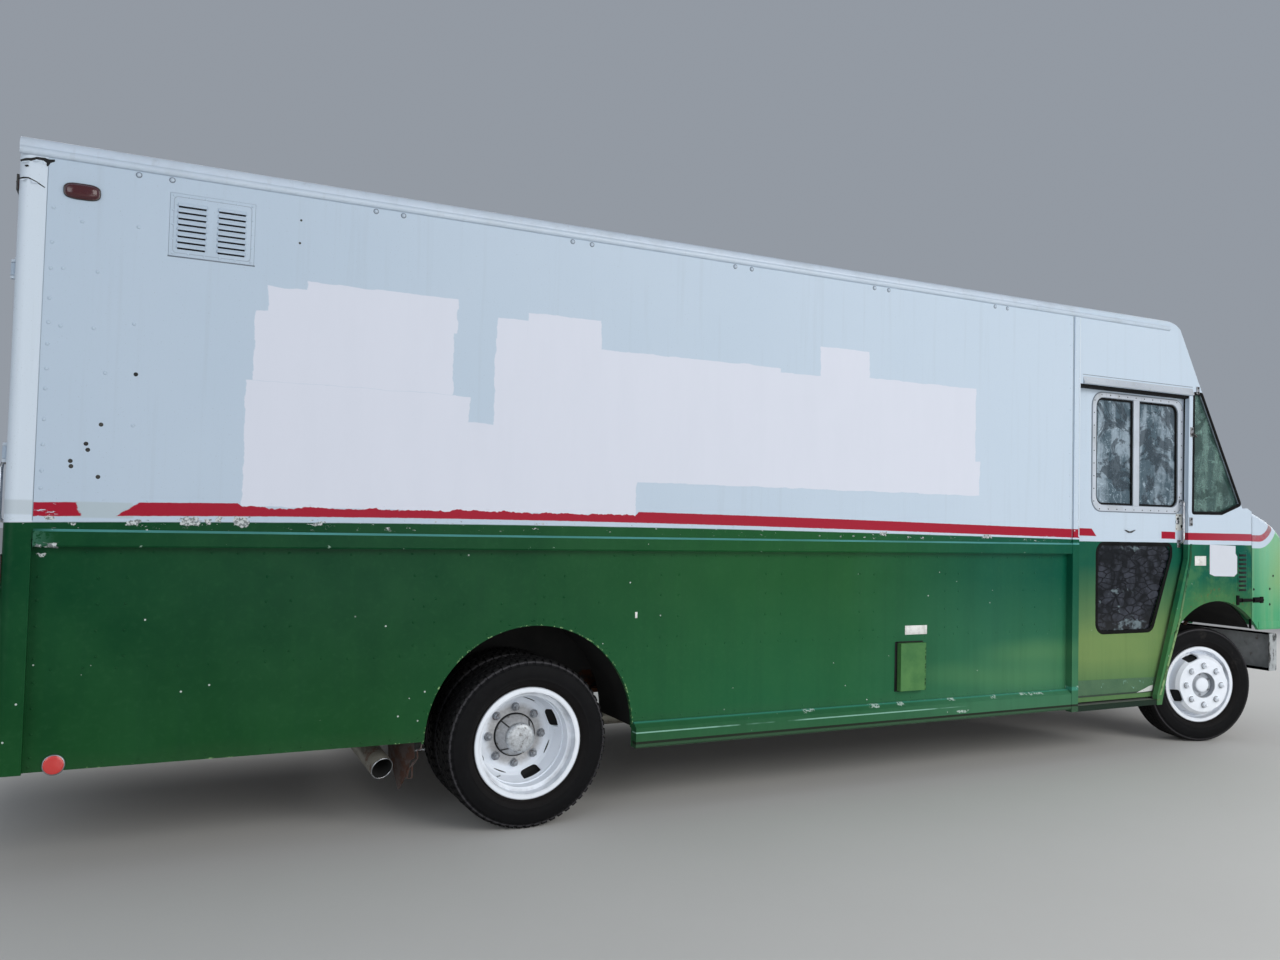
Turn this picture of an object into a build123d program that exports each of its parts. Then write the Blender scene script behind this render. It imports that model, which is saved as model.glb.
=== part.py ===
from build123d import *
import os
from math import sin, cos, radians, sqrt

os.makedirs("parts", exist_ok=True)

# ---------------------------------------------------------------------------
# Walk-in step van, millimetres. +X forwards, +Y left, +Z up.
# Origin on the ground, under the middle of the overall length and width.
# ---------------------------------------------------------------------------

# overall
X_END = 4168.0              # front of front bumper, and minus this the rear step's edge
HALF_W = 1200.0             # body skin, each side
# axles and wheels
REAR_AXLE_X = -1797.0
WHEELBASE = 5159.0
FRONT_AXLE_X = REAR_AXLE_X + WHEELBASE
TYRE_R = 405.0
TYRE_HALF_W = 112.5
RIM_R = 267.0
RIM_HALF_W = 89.0
DISC_OFFSET = 131.0         # wheel's mounting face from its centre plane
REAR_DISC_Y = 975.0         # where the twin wheels bolt together
KINGPIN_Y = 870.0
FRONT_WHEEL_OUT = 137.0     # wheel centre plane outboard of the kingpin
STEER_REST = -16.5          # parked with the front wheels turned right, degrees
ARM = 180.0                 # steering arm, kingpin to tie rod pin
RUN = 0.05                  # radial running clearance
# body side
T_UP = 35.0                 # upper wall thickness
LOW_IN = 38.0               # lower panel is set in from the skin
T_LOW = 11.0
X_BACK = -3981.0            # rear face of the body
X_POST = -3880.0            # front edge of the rear corner post
X_CAB = 1925.0              # front edge of the door post
Z_SKIRT = 442.0             # rear skirt's lower edge
Z_ROCKER = 336.0            # forward rocker's lower edge
Z_BELT0, Z_BELT1 = 1330.0, 1430.0   # upper rub rail
Z_EAVE = 2880.0             # wall top, roof moulding's lower edge
Z_SIDE = 2950.0             # roof height at its sides
Z_TOP = 2964.0              # roof height on the centre line
R_EAVE = 45.0
# wheel arches: centre x, centre z, radius
REAR_ARCH = (-1763.0, 430.0, 532.0)
FRONT_ARCH = (3327.0, 402.0, 603.0)
# cab side profile
WS_TOP = (2908.0, Z_TOP)    # where the roof line and the windshield line would meet
WS_BASE = (3622.0, 1683.0)
R_CAP = 340.0
X_SEAM = 3713.0             # cowl to hood seam, middle of the gap
SEAM = 6.0
# doors
DOOR_Y = 1145.0             # outer face of the sliding doors
DOOR_T = 32.0
DOOR_Z0, DOOR_Z1 = 362.0, 2424.0
# floors
FLOOR_Z = 760.0
STEP_Z = 350.0
# chassis
RAIL_Y = 430.0
RAIL_Z0, RAIL_Z1 = 490.0, 670.0
RAIL_T = 7.0
RAIL_FL = 70.0
SPRING_Y0, SPRING_Y1 = 440.0, 505.0
# mounting holes
PLATE_HOLES, PLATE_HOLE_R = 177.8, 3.5      # number plate holes, front bumper
# hood pivot
HOOD_PX, HOOD_PZ = 4098.0, 768.0

SIDES = (("right", -1), ("left", 1))


def at_x(x):
    return Plane.YZ.offset(x)


def at_y(y):
    return Plane.XZ.offset(-y)


def at_z(z):
    return Plane.XY.offset(z)


def block(x0, x1, y0, y1, z0, z1, mode=Mode.ADD):
    with Locations(((x0 + x1) / 2, (y0 + y1) / 2, (z0 + z1) / 2)):
        Box(x1 - x0, y1 - y0, z1 - z0, mode=mode)


def outline(points, r=0.0):
    with BuildSketch(mode=Mode.PRIVATE) as sk:
        with BuildLine():
            Polyline(*points, close=True)
        make_face()
        if r:
            fillet(sk.vertices(), r)
    add(sk.sketch)


def save(piece, label):
    piece.part.label = label
    export_step(piece.part, "parts/" + label + ".step")


def span(side, inner, outer):
    """lowest and highest Y of a slab on one side, from distances to the centre"""
    a, b = side * inner, side * outer
    return min(a, b), max(a, b)


# ---------------------------------------------------------------------------
# Chassis
# ---------------------------------------------------------------------------
RAIL_X0, RAIL_X1 = -3900.0, 3990.0
CROSS_X = (-3860.0, -3150.0, -2450.0, -1150.0, -400.0, 350.0, 1100.0, 1850.0, 3960.0)

with BuildPart() as chassis_rails:
    for name, side in SIDES:
        yo, yi, yf = side * RAIL_Y, side * (RAIL_Y - RAIL_T), side * (RAIL_Y - RAIL_FL)
        with BuildSketch(at_x(RAIL_X0)):
            outline([(yo, RAIL_Z0), (yo, RAIL_Z1), (yf, RAIL_Z1), (yf, RAIL_Z1 - RAIL_T),
                     (yi, RAIL_Z1 - RAIL_T), (yi, RAIL_Z0 + RAIL_T), (yf, RAIL_Z0 + RAIL_T), (yf, RAIL_Z0)])
        extrude(amount=RAIL_X1 - RAIL_X0)
save(chassis_rails, "chassis_rails")

with BuildPart() as cross_members:
    for x in CROSS_X:
        block(x - 28, x + 28, -(RAIL_Y - RAIL_T), RAIL_Y - RAIL_T, 615, RAIL_Z1 - RAIL_T)
save(cross_members, "cross_members")

# spring hangers, and the front brackets with the hood hinge pins, all on the rails' outer faces
HANGER_X = (FRONT_AXLE_X - 635, FRONT_AXLE_X + 635, REAR_AXLE_X - 720, REAR_AXLE_X + 720)
with BuildPart() as frame_brackets:
    for name, side in SIDES:
        y0, y1 = span(side, RAIL_Y, RAIL_Y + 12)
        with BuildSketch(at_y(y1)):
            outline([(3990, 500), (4083, 500), (4083, 722), (4076, 751), (HOOD_PX, 751), (HOOD_PX, 785),
                     (4076, 785), (3960, 668), (3960, 640)])
            with Locations((HOOD_PX, HOOD_PZ)):
                Circle(17)
        extrude(amount=y1 - y0)
        p0, p1 = span(side, RAIL_Y + 12, RAIL_Y + 42)
        with BuildSketch(at_y(p1)):
            with Locations((HOOD_PX, HOOD_PZ)):
                Circle(10)
        extrude(amount=p1 - p0)
    for x in HANGER_X:
        for name, side in SIDES:
            y0, y1 = span(side, RAIL_Y, RAIL_Y + 8)
            block(x - 40, x + 40, y0, y1, 425 if x > 0 else 492, 620)
            h0, h1 = span(side, RAIL_Y + 8, SPRING_Y1)
            zc = 455 if x > 0 else 515
            with BuildSketch(at_y(h1)):
                with Locations((x, zc)):
                    Circle(14)
            extrude(amount=h1 - h0)
save(frame_brackets, "frame_brackets")

# engine with its gearbox: one plain block at its real place and size
with BuildPart() as engine_block:
    block(2700, 3660, -270, 270, 480, 1085)
    chamfer(engine_block.edges().filter_by(Axis.X), 60)
    block(2240, 2700, -150, 150, 440, 690)
save(engine_block, "engine_block")

with BuildPart() as radiator:
    block(3850, 3905, -370, 370, RAIL_Z1 + 2, 1240)
    fillet(radiator.edges().filter_by(Axis.X), 25)
save(radiator, "radiator")

with BuildPart() as front_axle:
    with BuildSketch(at_x(FRONT_AXLE_X - 38)):
        outline([(-KINGPIN_Y, 440), (-KINGPIN_Y, 370), (-720, 345), (-600, 296), (600, 296), (720, 345),
                 (KINGPIN_Y, 370), (KINGPIN_Y, 440), (730, 420), (610, 358), (-610, 358), (-730, 420)])
    extrude(amount=76)
    with Locations((FRONT_AXLE_X, -KINGPIN_Y, TYRE_R), (FRONT_AXLE_X, KINGPIN_Y, TYRE_R)):
        Cylinder(38, 90)
        Cylinder(18, 146)
save(front_axle, "front_axle")

with BuildPart() as rear_axle:
    with BuildSketch(at_y(640)):
        with Locations((REAR_AXLE_X, TYRE_R)):
            Circle(58)
    extrude(amount=1280)
    with BuildSketch(at_y(1040)):
        with Locations((REAR_AXLE_X, TYRE_R)):
            Circle(45)
    extrude(amount=2080)
    with Locations((REAR_AXLE_X, 0, TYRE_R)):
        Sphere(168)
    with BuildSketch(at_x(REAR_AXLE_X + 100)):
        with Locations((0, 425)):
            Circle(70)
    extrude(amount=130)
save(rear_axle, "rear_axle")

# leaf springs: axle x, half length, z of the pack's middle on the axle, z at the eyes
SPRINGS = ((FRONT_AXLE_X, 635.0, 378.0, 455.0), (REAR_AXLE_X, 720.0, 483.0, 515.0))
with BuildPart() as leaf_springs:
    for ax, half, zm, ze in SPRINGS:
        for name, side in SIDES:
            y0, y1 = span(side, SPRING_Y0, SPRING_Y1)
            with BuildSketch(at_y(y1)):
                with BuildLine():
                    ThreePointArc((ax - half, ze + 9), (ax, zm + 20), (ax + half, ze + 9))
                    Line((ax + half, ze + 9), (ax + half, ze - 9))
                    Line((ax + half, ze - 9), (ax + 0.5 * half, zm - 6))
                    Line((ax + 0.5 * half, zm - 6), (ax - 0.5 * half, zm - 6))
                    Line((ax - 0.5 * half, zm - 6), (ax - half, ze - 9))
                    Line((ax - half, ze - 9), (ax - half, ze + 9))
                make_face()
                with Locations((ax - half, ze), (ax + half, ze)):
                    Circle(30)
                with Locations((ax - half, ze), (ax + half, ze)):
                    Circle(14, mode=Mode.SUBTRACT)
            extrude(amount=y1 - y0)
            block(ax - 70, ax + 70, y0, y1, zm - 20, zm + 20)
save(leaf_springs, "leaf_springs")

# propeller shaft, gearbox to axle
SHAFT_A = Vector(2240, 0, 530)
SHAFT_B = Vector(REAR_AXLE_X + 236, 0, 425)
with BuildPart() as driveshaft:
    with BuildSketch(Plane(origin=SHAFT_B, z_dir=SHAFT_A - SHAFT_B)):
        Circle(42)
    extrude(amount=(SHAFT_A - SHAFT_B).length - 6)
save(driveshaft, "driveshaft")

with BuildPart() as fuel_tank:
    block(150, 1250, -1060, -690, 345, 640)
    fillet(fuel_tank.edges().filter_by(Axis.X), 60)
    # filler neck up to the flap in the side panel
    with BuildSketch(Plane(origin=(577, -1000, 560), z_dir=(0, -100, 100))):
        Circle(38)
    extrude(amount=125)
    with BuildSketch(at_y(-1085)):
        with Locations((577, 655)):
            Circle(52)
    extrude(amount=50)
save(fuel_tank, "fuel_tank")

EXHAUST_ROUTE = [(2560, -200, 385), (2300, -600, 385), (250, -600, 385), (-1150, -590, 385),
                 (-1500, -580, 545), (-2060, -580, 545), (-2400, -600, 450), (-2541, -800, 423), (-2466, -1085, 318)]
with BuildPart() as exhaust:
    with BuildLine() as exhaust_line:
        FilletPolyline(*EXHAUST_ROUTE, radius=90)
    with BuildSketch(Plane(origin=exhaust_line.line @ 0, z_dir=exhaust_line.line % 0)):
        Circle(53)
    sweep()
    with BuildSketch(at_x(-900)):
        with Locations((-594, 385)):
            Circle(92)
    extrude(amount=800)
    # open mouth
    with BuildSketch(Plane(origin=exhaust_line.line @ 1, z_dir=-1 * (exhaust_line.line % 1))):
        Circle(49)
    extrude(amount=160, mode=Mode.SUBTRACT)
save(exhaust, "exhaust")

with BuildPart() as front_bumper:
    with BuildSketch(at_y(1100)):
        outline([(X_END, 476), (X_END, 730), (X_END - 12, 742), (4083, 742), (4083, 734), (X_END - 14, 734),
                 (X_END - 9, 729), (X_END - 9, 477), (X_END - 14, 472), (4083, 472), (4083, 464), (X_END - 12, 464)])
    extrude(amount=2200)
    for name, side in SIDES:
        y0, y1 = span(side, 1092, 1100)
        block(4083, X_END - 4, y0, y1, 468, 738)
    # number plate holes through the face
    with BuildSketch(at_x(X_END - 20)):
        with Locations((-PLATE_HOLES / 2, 603), (PLATE_HOLES / 2, 603)):
            Circle(PLATE_HOLE_R)
    extrude(amount=40, mode=Mode.SUBTRACT)
save(front_bumper, "front_bumper")

with BuildPart() as rear_bumper:
    with BuildSketch(at_y(1130)):
        outline([(-X_END, 452), (-X_END, 612), (-3988, 612), (-3988, 600), (-X_END + 12, 600), (-X_END + 12, 464),
                 (-4010, 464), (-4010, 452)])
    extrude(amount=2260)
    for name, side in SIDES:
        y0, y1 = span(side, 1118, 1130)
        block(-X_END + 2, -3988, y0, y1, 456, 606)
        y0, y1 = span(side, 360, 430)
        block(-X_END + 12, X_BACK, y0, y1, 480, 600)
save(rear_bumper, "rear_bumper")

# torn flaps hanging behind the rear wheels
with BuildPart() as mud_flaps:
    for name, side in SIDES:
        # each is set at a slant, its outer edge the more forward
        run = Vector(-95, -side * 265, 0).normalized()
        with BuildSketch(Plane(origin=(-2312, side * 1130, 0), x_dir=run, z_dir=run.cross(Vector(0, 0, 1)))):
            outline([(0, 640), (0, 372), (60, 340), (92, 262), (150, 190), (205, 296), (240, 330), (281, 640)])
        extrude(amount=8 * side)
        # arm to the wheel well's liner
        y0, y1 = span(side, 985, 1035)
        block(-2384, -2285, y0, y1, 590, 630)
    with Locations((REAR_ARCH[0], 0, REAR_ARCH[1])):
        Cylinder(REAR_ARCH[2] + 32, 2400, rotation=(90, 0, 0), mode=Mode.SUBTRACT)
save(mud_flaps, "mud_flaps")

# ---------------------------------------------------------------------------
# Wheels. Section tables: s along the axle from the wheel's centre plane
# (plus is the disc's side), r from the axle.
# ---------------------------------------------------------------------------
BARREL = [(-89, 267), (-80, 267), (-78, 250), (-45, 246), (-38, 228), (38, 228), (45, 246), (78, 250),
          (80, 267), (89, 267), (89, 242), (50, 238), (43, 220), (-43, 220), (-50, 238), (-89, 242)]
DISC = [(18, 224), (44, 224), (110, 208), (131, 188), (131, 88), (119, 88), (119, 183), (102, 198), (38, 213), (18, 214)]
TYRE_SEAT = [(80, 267), (78, 250), (45, 246), (38, 228), (-38, 228), (-45, 246), (-78, 250), (-80, 267)]


def build_wheel(rims, plane, hub, bore, turned):
    """rims is a list of (plane, flip), flip -1 turns a disc inboard; hub is a list of sections, bore one
    (s0, s1, r); turned is the first hand hole's angle from the top"""
    with BuildPart() as wheel:
        for rim, flip in rims:
            ax = Axis(rim.origin, rim.x_dir)
            with BuildSketch(rim):
                outline([(flip * s, r) for s, r in BARREL])
                outline([(flip * s, r) for s, r in DISC])
            revolve(axis=ax)
            face = Plane(origin=rim.origin + rim.x_dir * (flip * 52), z_dir=rim.x_dir * flip, x_dir=(0, 0, 1))
            with BuildSketch(face):
                with PolarLocations(204, 4, start_angle=turned):
                    SlotOverall(98, 40, rotation=90)
            extrude(amount=98, mode=Mode.SUBTRACT)
        ax = Axis(plane.origin, plane.x_dir)
        for section in hub:
            with BuildSketch(plane):
                outline(section)
            revolve(axis=ax)
        s0, s1, r = bore
        with BuildSketch(plane):
            outline([(s0, 0), (s1, 0), (s1, r), (s0, r)])
        revolve(axis=ax, mode=Mode.SUBTRACT)
    return wheel


def build_tyres(planes):
    with BuildPart() as tyres:
        for plane in planes:
            with BuildSketch(plane):
                with BuildLine():
                    Polyline(*TYRE_SEAT)
                    Line((-80, 267), (-80, 276))
                    ThreePointArc((-80, 276), (-TYRE_HALF_W, 334), (-99, 392))
                    Line((-99, 392), (-88, TYRE_R - 2))
                    ThreePointArc((-88, TYRE_R - 2), (0, TYRE_R), (88, TYRE_R - 2))
                    Line((88, TYRE_R - 2), (99, 392))
                    ThreePointArc((99, 392), (TYRE_HALF_W, 334), (80, 276))
                    Line((80, 276), (80, 267))
                make_face()
            revolve(axis=Axis(plane.origin, plane.x_dir))
    return tyres


for name, side in SIDES:
    turn = radians(STEER_REST)
    out_dir = Vector(-side * sin(turn), side * cos(turn), 0)      # axle direction, outboard
    fwd_dir = Vector(cos(turn), sin(turn), 0)
    pin = Vector(FRONT_AXLE_X, side * KINGPIN_Y, TYRE_R)
    centre = pin + out_dir * FRONT_WHEEL_OUT
    front_plane = Plane(origin=centre, x_dir=out_dir, z_dir=out_dir.cross(Vector(0, 0, 1)))
    # the front hub lies sunk in the disc's bore, a flange at its back
    front_hub = [[(-20, 0), (-20, 98), (124, 98), (124, 85), (92, 85), (92, 52), (112, 52), (117, 45), (117, 0)],
                 [(-20, 0), (10, 0), (10, 150), (-20, 150)]]
    front_wheel = build_wheel([(front_plane, 1)], front_plane, front_hub, (-60, 104, 40 + RUN), 23)
    save(front_wheel, name + "_front_wheel")
    save(build_tyres([front_plane]), name + "_front_tyre")

    # twin rear wheels on one hub
    outer_c = Vector(REAR_AXLE_X, side * (REAR_DISC_Y + DISC_OFFSET), TYRE_R)
    inner_c = Vector(REAR_AXLE_X, side * (REAR_DISC_Y - DISC_OFFSET), TYRE_R)
    out_plane = Plane(origin=outer_c, x_dir=(0, side, 0), z_dir=Vector(0, side, 0).cross(Vector(0, 0, 1)))
    in_plane = Plane(origin=inner_c, x_dir=(0, side, 0), z_dir=Vector(0, side, 0).cross(Vector(0, 0, 1)))
    # the rear hub tapers outwards from the discs
    rear_hub = [[(-190, 0), (-190, 102), (148, 102), (160, 96), (218, 70), (238, 68), (238, 0)],
                [(-190, 0), (-95, 0), (-95, 195), (-190, 195)]]
    rear_wheels = build_wheel([(out_plane, -1), (in_plane, 1)], in_plane, rear_hub, (-200, 204, 45 + RUN), 67)
    save(rear_wheels, name + "_rear_wheels")
    save(build_tyres([out_plane, in_plane]), name + "_rear_tyres")

    # steering knuckle: yoke about the kingpin, spindle, and arm to the tie rod
    with BuildPart() as knuckle:
        for z0, z1 in ((332, 355), (455, 478)):
            with BuildSketch(Plane(origin=(pin.X, pin.Y, z0), x_dir=out_dir, z_dir=(0, 0, 1))):
                outline([(-34, -34), (78, -34), (78, 34), (-34, 34)], 12)
                Circle(18 + RUN, mode=Mode.SUBTRACT)
            extrude(amount=z1 - z0)
        with BuildSketch(Plane(origin=(pin.X, pin.Y, 332), x_dir=out_dir, z_dir=(0, 0, 1))):
            outline([(50, -34), (78, -34), (78, 34), (50, 34)])
        extrude(amount=146)
        with BuildSketch(Plane(origin=pin + out_dir * 60, x_dir=fwd_dir, z_dir=out_dir)):
            Circle(40)
        extrude(amount=FRONT_WHEEL_OUT - 60 + 96)
        with BuildSketch(Plane(origin=(pin.X, pin.Y, 314), x_dir=fwd_dir, z_dir=(0, 0, 1))):
            outline([(-ARM - 24, -22), (40, -32), (40, 32), (-ARM - 24, 22)], 10)
            with Locations((-ARM, 0)):
                Circle(14 + RUN, mode=Mode.SUBTRACT)
        extrude(amount=18)
        with BuildSketch(Plane(origin=(pin.X, pin.Y, 314), x_dir=fwd_dir, z_dir=(0, 0, 1))):
            Circle(18 + RUN)
        extrude(amount=20, mode=Mode.SUBTRACT)
    save(knuckle, name + "_knuckle")

# tie rod: below the arms, a pin up into each arm
rod_x = FRONT_AXLE_X - ARM * cos(radians(STEER_REST))
rod_dy = -ARM * sin(radians(STEER_REST))
rod_y = {side: side * KINGPIN_Y + rod_dy for name, side in SIDES}
with BuildPart() as tie_rod:
    with BuildSketch(at_y(rod_y[1])):
        with Locations((rod_x, 285)):
            Circle(17)
    extrude(amount=rod_y[1] - rod_y[-1])
    with Locations((rod_x, rod_y[1], 285), (rod_x, rod_y[-1], 285)):
        Cylinder(27, 46)
    # the right end's pin runs in its arm, the left end's is held with clearance
    with Locations((rod_x, rod_y[-1], 316)):
        Cylinder(14, 40)
    with Locations((rod_x, rod_y[1], 316)):
        Cylinder(11, 40)
save(tie_rod, "tie_rod")

# ---------------------------------------------------------------------------
# Body shell
# ---------------------------------------------------------------------------
def arch_cut(arch, y0, y1):
    """clears a wheel arch from the panel between y0 and y1"""
    cx, cz, r = arch
    with Locations((cx, (y0 + y1) / 2, cz)):
        Cylinder(r, y1 - y0, rotation=(90, 0, 0), mode=Mode.SUBTRACT)
    block(cx - r, cx + r, y0, y1, cz - 400, cz, mode=Mode.SUBTRACT)


FUEL_HOLE = (486.0, 664.0, 535.0, 795.0)       # x0, x1, z0, z1
FLAP = (480.0, 668.0, 526.0, 802.0)
FLAP_PIN = (676.0, -(HALF_W - LOW_IN) - 10.0)  # x, y

for name, side in SIDES:
    with BuildPart() as wall:
        o, l = HALF_W, HALF_W - LOW_IN
        # upper panel, then the set-in lower panel, joined behind the rub rail
        for inner, outer, x0, x1, z0, z1 in (
            (o - T_UP, o, X_POST, X_CAB, Z_BELT0 + 30, Z_EAVE),
            (l - T_LOW, o, X_POST, X_CAB, Z_BELT0 + 30, Z_BELT0 + 42),
            (l - T_LOW, l, X_POST, X_CAB, Z_SKIRT, Z_BELT0 + 36),
            (l - T_LOW, l, REAR_ARCH[0] + 400, X_CAB, Z_ROCKER, Z_SKIRT + 1),
        ):
            y0, y1 = span(side, inner, outer)
            block(x0, x1, y0, y1, z0, z1)
        y0, y1 = span(side, l - 20, l + 20)
        arch_cut(REAR_ARCH, y0, y1)
        # rolled lip round the arch
        cx, cz, r = REAR_ARCH
        y0, y1 = span(side, l - 24, l - T_LOW)
        with BuildSketch(at_y(y1)):
            with Locations((cx, cz)):
                Circle(r + 9)
                Circle(r, mode=Mode.SUBTRACT)
                with Locations((0, -r)):
                    Rectangle(3 * r, 2 * r, mode=Mode.SUBTRACT)
        extrude(amount=y1 - y0)
        if side < 0:
            x0, x1, z0, z1 = FUEL_HOLE
            block(x0, x1, -1180, -1140, z0, z1, mode=Mode.SUBTRACT)
            # fixed knuckles and pins of the fuel flap
            for z in (600, 728):
                with Locations((FLAP_PIN[0], FLAP_PIN[1], z)):
                    Cylinder(3, 66)
                for dz in (-31, 31):
                    with Locations((FLAP_PIN[0], FLAP_PIN[1], z + dz)):
                        Cylinder(7, 8)
                    block(FLAP_PIN[0] - 5, FLAP_PIN[0] + 12, FLAP_PIN[1] + 2, -(HALF_W - LOW_IN), z + dz - 4, z + dz + 4)
    save(wall, name + "_wall")

# rub rails at the belt, rockers, and door posts: one run a side each, not touching
RAIL_SECTIONS = (
    # inner y, outer y, x0, x1, z0, z1
    (HALF_W - LOW_IN, HALF_W + 8, X_POST + 4, 1866.0, Z_BELT0, Z_BELT0 + 30),
    (HALF_W - LOW_IN, HALF_W + 8, REAR_ARCH[0] + REAR_ARCH[2] + 2, 1866.0, Z_ROCKER - 2, 470.0),
)
with BuildPart() as rub_rails:
    for name, side in SIDES:
        i, o = HALF_W - LOW_IN, HALF_W + 8
        with BuildSketch(at_x(X_POST + 4)):
            outline([(side * i, Z_BELT0), (side * (o - 4), Z_BELT0), (side * o, Z_BELT0 + 6), (side * o, Z_BELT0 + 62),
                     (side * (HALF_W), Z_BELT0 + 70), (side * HALF_W, Z_BELT0 + 30), (side * i, Z_BELT0 + 30)])
        extrude(amount=1866 - X_POST - 4)
        with BuildSketch(at_x(REAR_ARCH[0] + REAR_ARCH[2] + 2)):
            outline([(side * i, Z_ROCKER), (side * (o - 6), Z_ROCKER), (side * o, Z_ROCKER + 8),
                     (side * o, 436), (side * (i + 14), 462), (side * i, 462)])
        extrude(amount=1866 - (REAR_ARCH[0] + REAR_ARCH[2] + 2))
        # door post
        with BuildSketch(at_x(1867)):
            outline([(side * i, Z_ROCKER - 16), (side * (HALF_W + 10), Z_ROCKER - 16), (side * (HALF_W + 10), Z_BELT1 + 8),
                     (side * (HALF_W), Z_BELT1 + 8), (side * (HALF_W), Z_BELT0 + 30), (side * i, Z_BELT0 + 30)])
        extrude(amount=X_CAB - 1867)
        with BuildSketch(at_x(1875)):
            outline([(side * HALF_W, Z_BELT1 + 9), (side * (HALF_W + 8), Z_BELT1 + 9), (side * (HALF_W + 8), 2870),
                     (side * (HALF_W), 2870)])
        extrude(amount=X_CAB - 1875)
save(rub_rails, "rub_rails")

REAR_OPEN = (1042.0, 778.0, 2655.0)            # half width, sill z, head z
PIN_X, PIN_Y = X_BACK - 14.0, 1048.0           # rear door hinge pins
with BuildPart() as rear_frame:
    with BuildSketch(at_z(Z_SKIRT)):
        outline([(X_BACK, -HALF_W), (X_POST, -HALF_W), (X_POST, HALF_W), (X_BACK, HALF_W)])
    extrude(amount=Z_EAVE - Z_SKIRT)
    fillet(rear_frame.edges().filter_by(Axis.Z).group_by(Axis.X)[0], 42)
    hw, zs, zh = REAR_OPEN
    block(X_BACK - 5, X_POST + 5, -hw, hw, zs, zh, mode=Mode.SUBTRACT)
    block(X_BACK + 60, X_POST + 5, -(HALF_W - 40), HALF_W - 40, Z_SKIRT - 5, zs - 60, mode=Mode.SUBTRACT)
    block(X_BACK + 60, X_POST + 5, -(HALF_W - 40), HALF_W - 40, zh + 60, Z_EAVE + 5, mode=Mode.SUBTRACT)
    for name, side in SIDES:
        for z in (960, 1700, 2440):
            with Locations((PIN_X, side * PIN_Y, z)):
                Cylinder(7, 58)
            for dz in (-33, 33):
                with Locations((PIN_X, side * PIN_Y, z + dz)):
                    Cylinder(14, 12)
                s0, s1 = span(side, PIN_Y, PIN_Y + 60)
                block(X_BACK - 8, X_BACK, s0, s1, z + dz - 6, z + dz + 6)
save(rear_frame, "rear_frame")

# rear doors, hung on pins at the frame's outer face
for name, side in SIDES:
    with BuildPart() as rear_door:
        hw, zs, zh = REAR_OPEN
        y0, y1 = span(side, 4, hw - 6)
        block(X_BACK, X_BACK + 38, y0, y1, zs + 6, zh - 6)
        w0, w1 = span(side, 260, 800)
        with BuildSketch(at_x(X_BACK - 1)):
            outline([(w0, 1700), (w1, 1700), (w1, 2330), (w0, 2330)], 60)
        extrude(amount=45, mode=Mode.SUBTRACT)
        # strap hinges with knuckles round the pins
        for z in (960, 1700, 2440):
            s0, s1 = span(side, PIN_Y - 230, PIN_Y)
            block(X_BACK - 8, X_BACK, s0, s1, z - 25, z + 25)
            with Locations((PIN_X, side * PIN_Y, z)):
                Cylinder(14, 50)
                Cylinder(7 + RUN, 50, mode=Mode.SUBTRACT)
    save(rear_door, "rear_door_" + name)

with BuildPart() as rear_door_glass_right:
    with BuildSketch(at_x(X_BACK + 16)):
        outline([(-800, 1700), (-260, 1700), (-260, 2330), (-800, 2330)], 60)
    extrude(amount=6)
save(rear_door_glass_right, "rear_glass_right")
with BuildPart() as rear_door_glass_left:
    with BuildSketch(at_x(X_BACK + 16)):
        outline([(800, 1700), (260, 1700), (260, 2330), (800, 2330)], 60)
    extrude(amount=6)
save(rear_door_glass_left, "rear_glass_left")


def roof_section(w, z_side, z_mid, r, z_low):
    """crowned section, w half width, rounded eaves"""
    with BuildSketch(mode=Mode.PRIVATE) as sk:
        with BuildLine():
            Line((-w, z_low), (-w, z_side - r))
            RadiusArc((-w, z_side - r), (-w + r, z_side), r)
            ThreePointArc((-w + r, z_side), (0, z_mid), (w - r, z_side))
            RadiusArc((w - r, z_side), (w, z_side - r), r)
            Line((w, z_side - r), (w, z_low))
            Line((w, z_low), (-w, z_low))
        make_face()
    add(sk.sketch)


with BuildPart() as roof:
    with BuildSketch(at_x(X_BACK)):
        roof_section(HALF_W, Z_SIDE, Z_TOP, R_EAVE, Z_EAVE)
    extrude(amount=X_CAB - X_BACK)
    with BuildSketch(at_x(X_BACK + 30)):
        roof_section(HALF_W - T_UP, Z_SIDE - 30, Z_TOP - 30, 20, Z_EAVE)
    extrude(amount=X_CAB - X_BACK - 30, mode=Mode.SUBTRACT)
save(roof, "roof")

with BuildPart() as roof_mouldings:
    for name, side in SIDES:
        with BuildSketch(at_x(X_BACK + 2)):
            with BuildLine():
                Line((side * HALF_W, 2872), (side * (HALF_W + 5), 2872))
                ThreePointArc((side * (HALF_W + 5), 2872), (side * (HALF_W + 14), 2892), (side * HALF_W, 2904))
                Line((side * HALF_W, 2904), (side * HALF_W, 2872))
            make_face()
        extrude(amount=2800 - X_BACK - 2)
save(roof_mouldings, "roof_mouldings")


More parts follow.
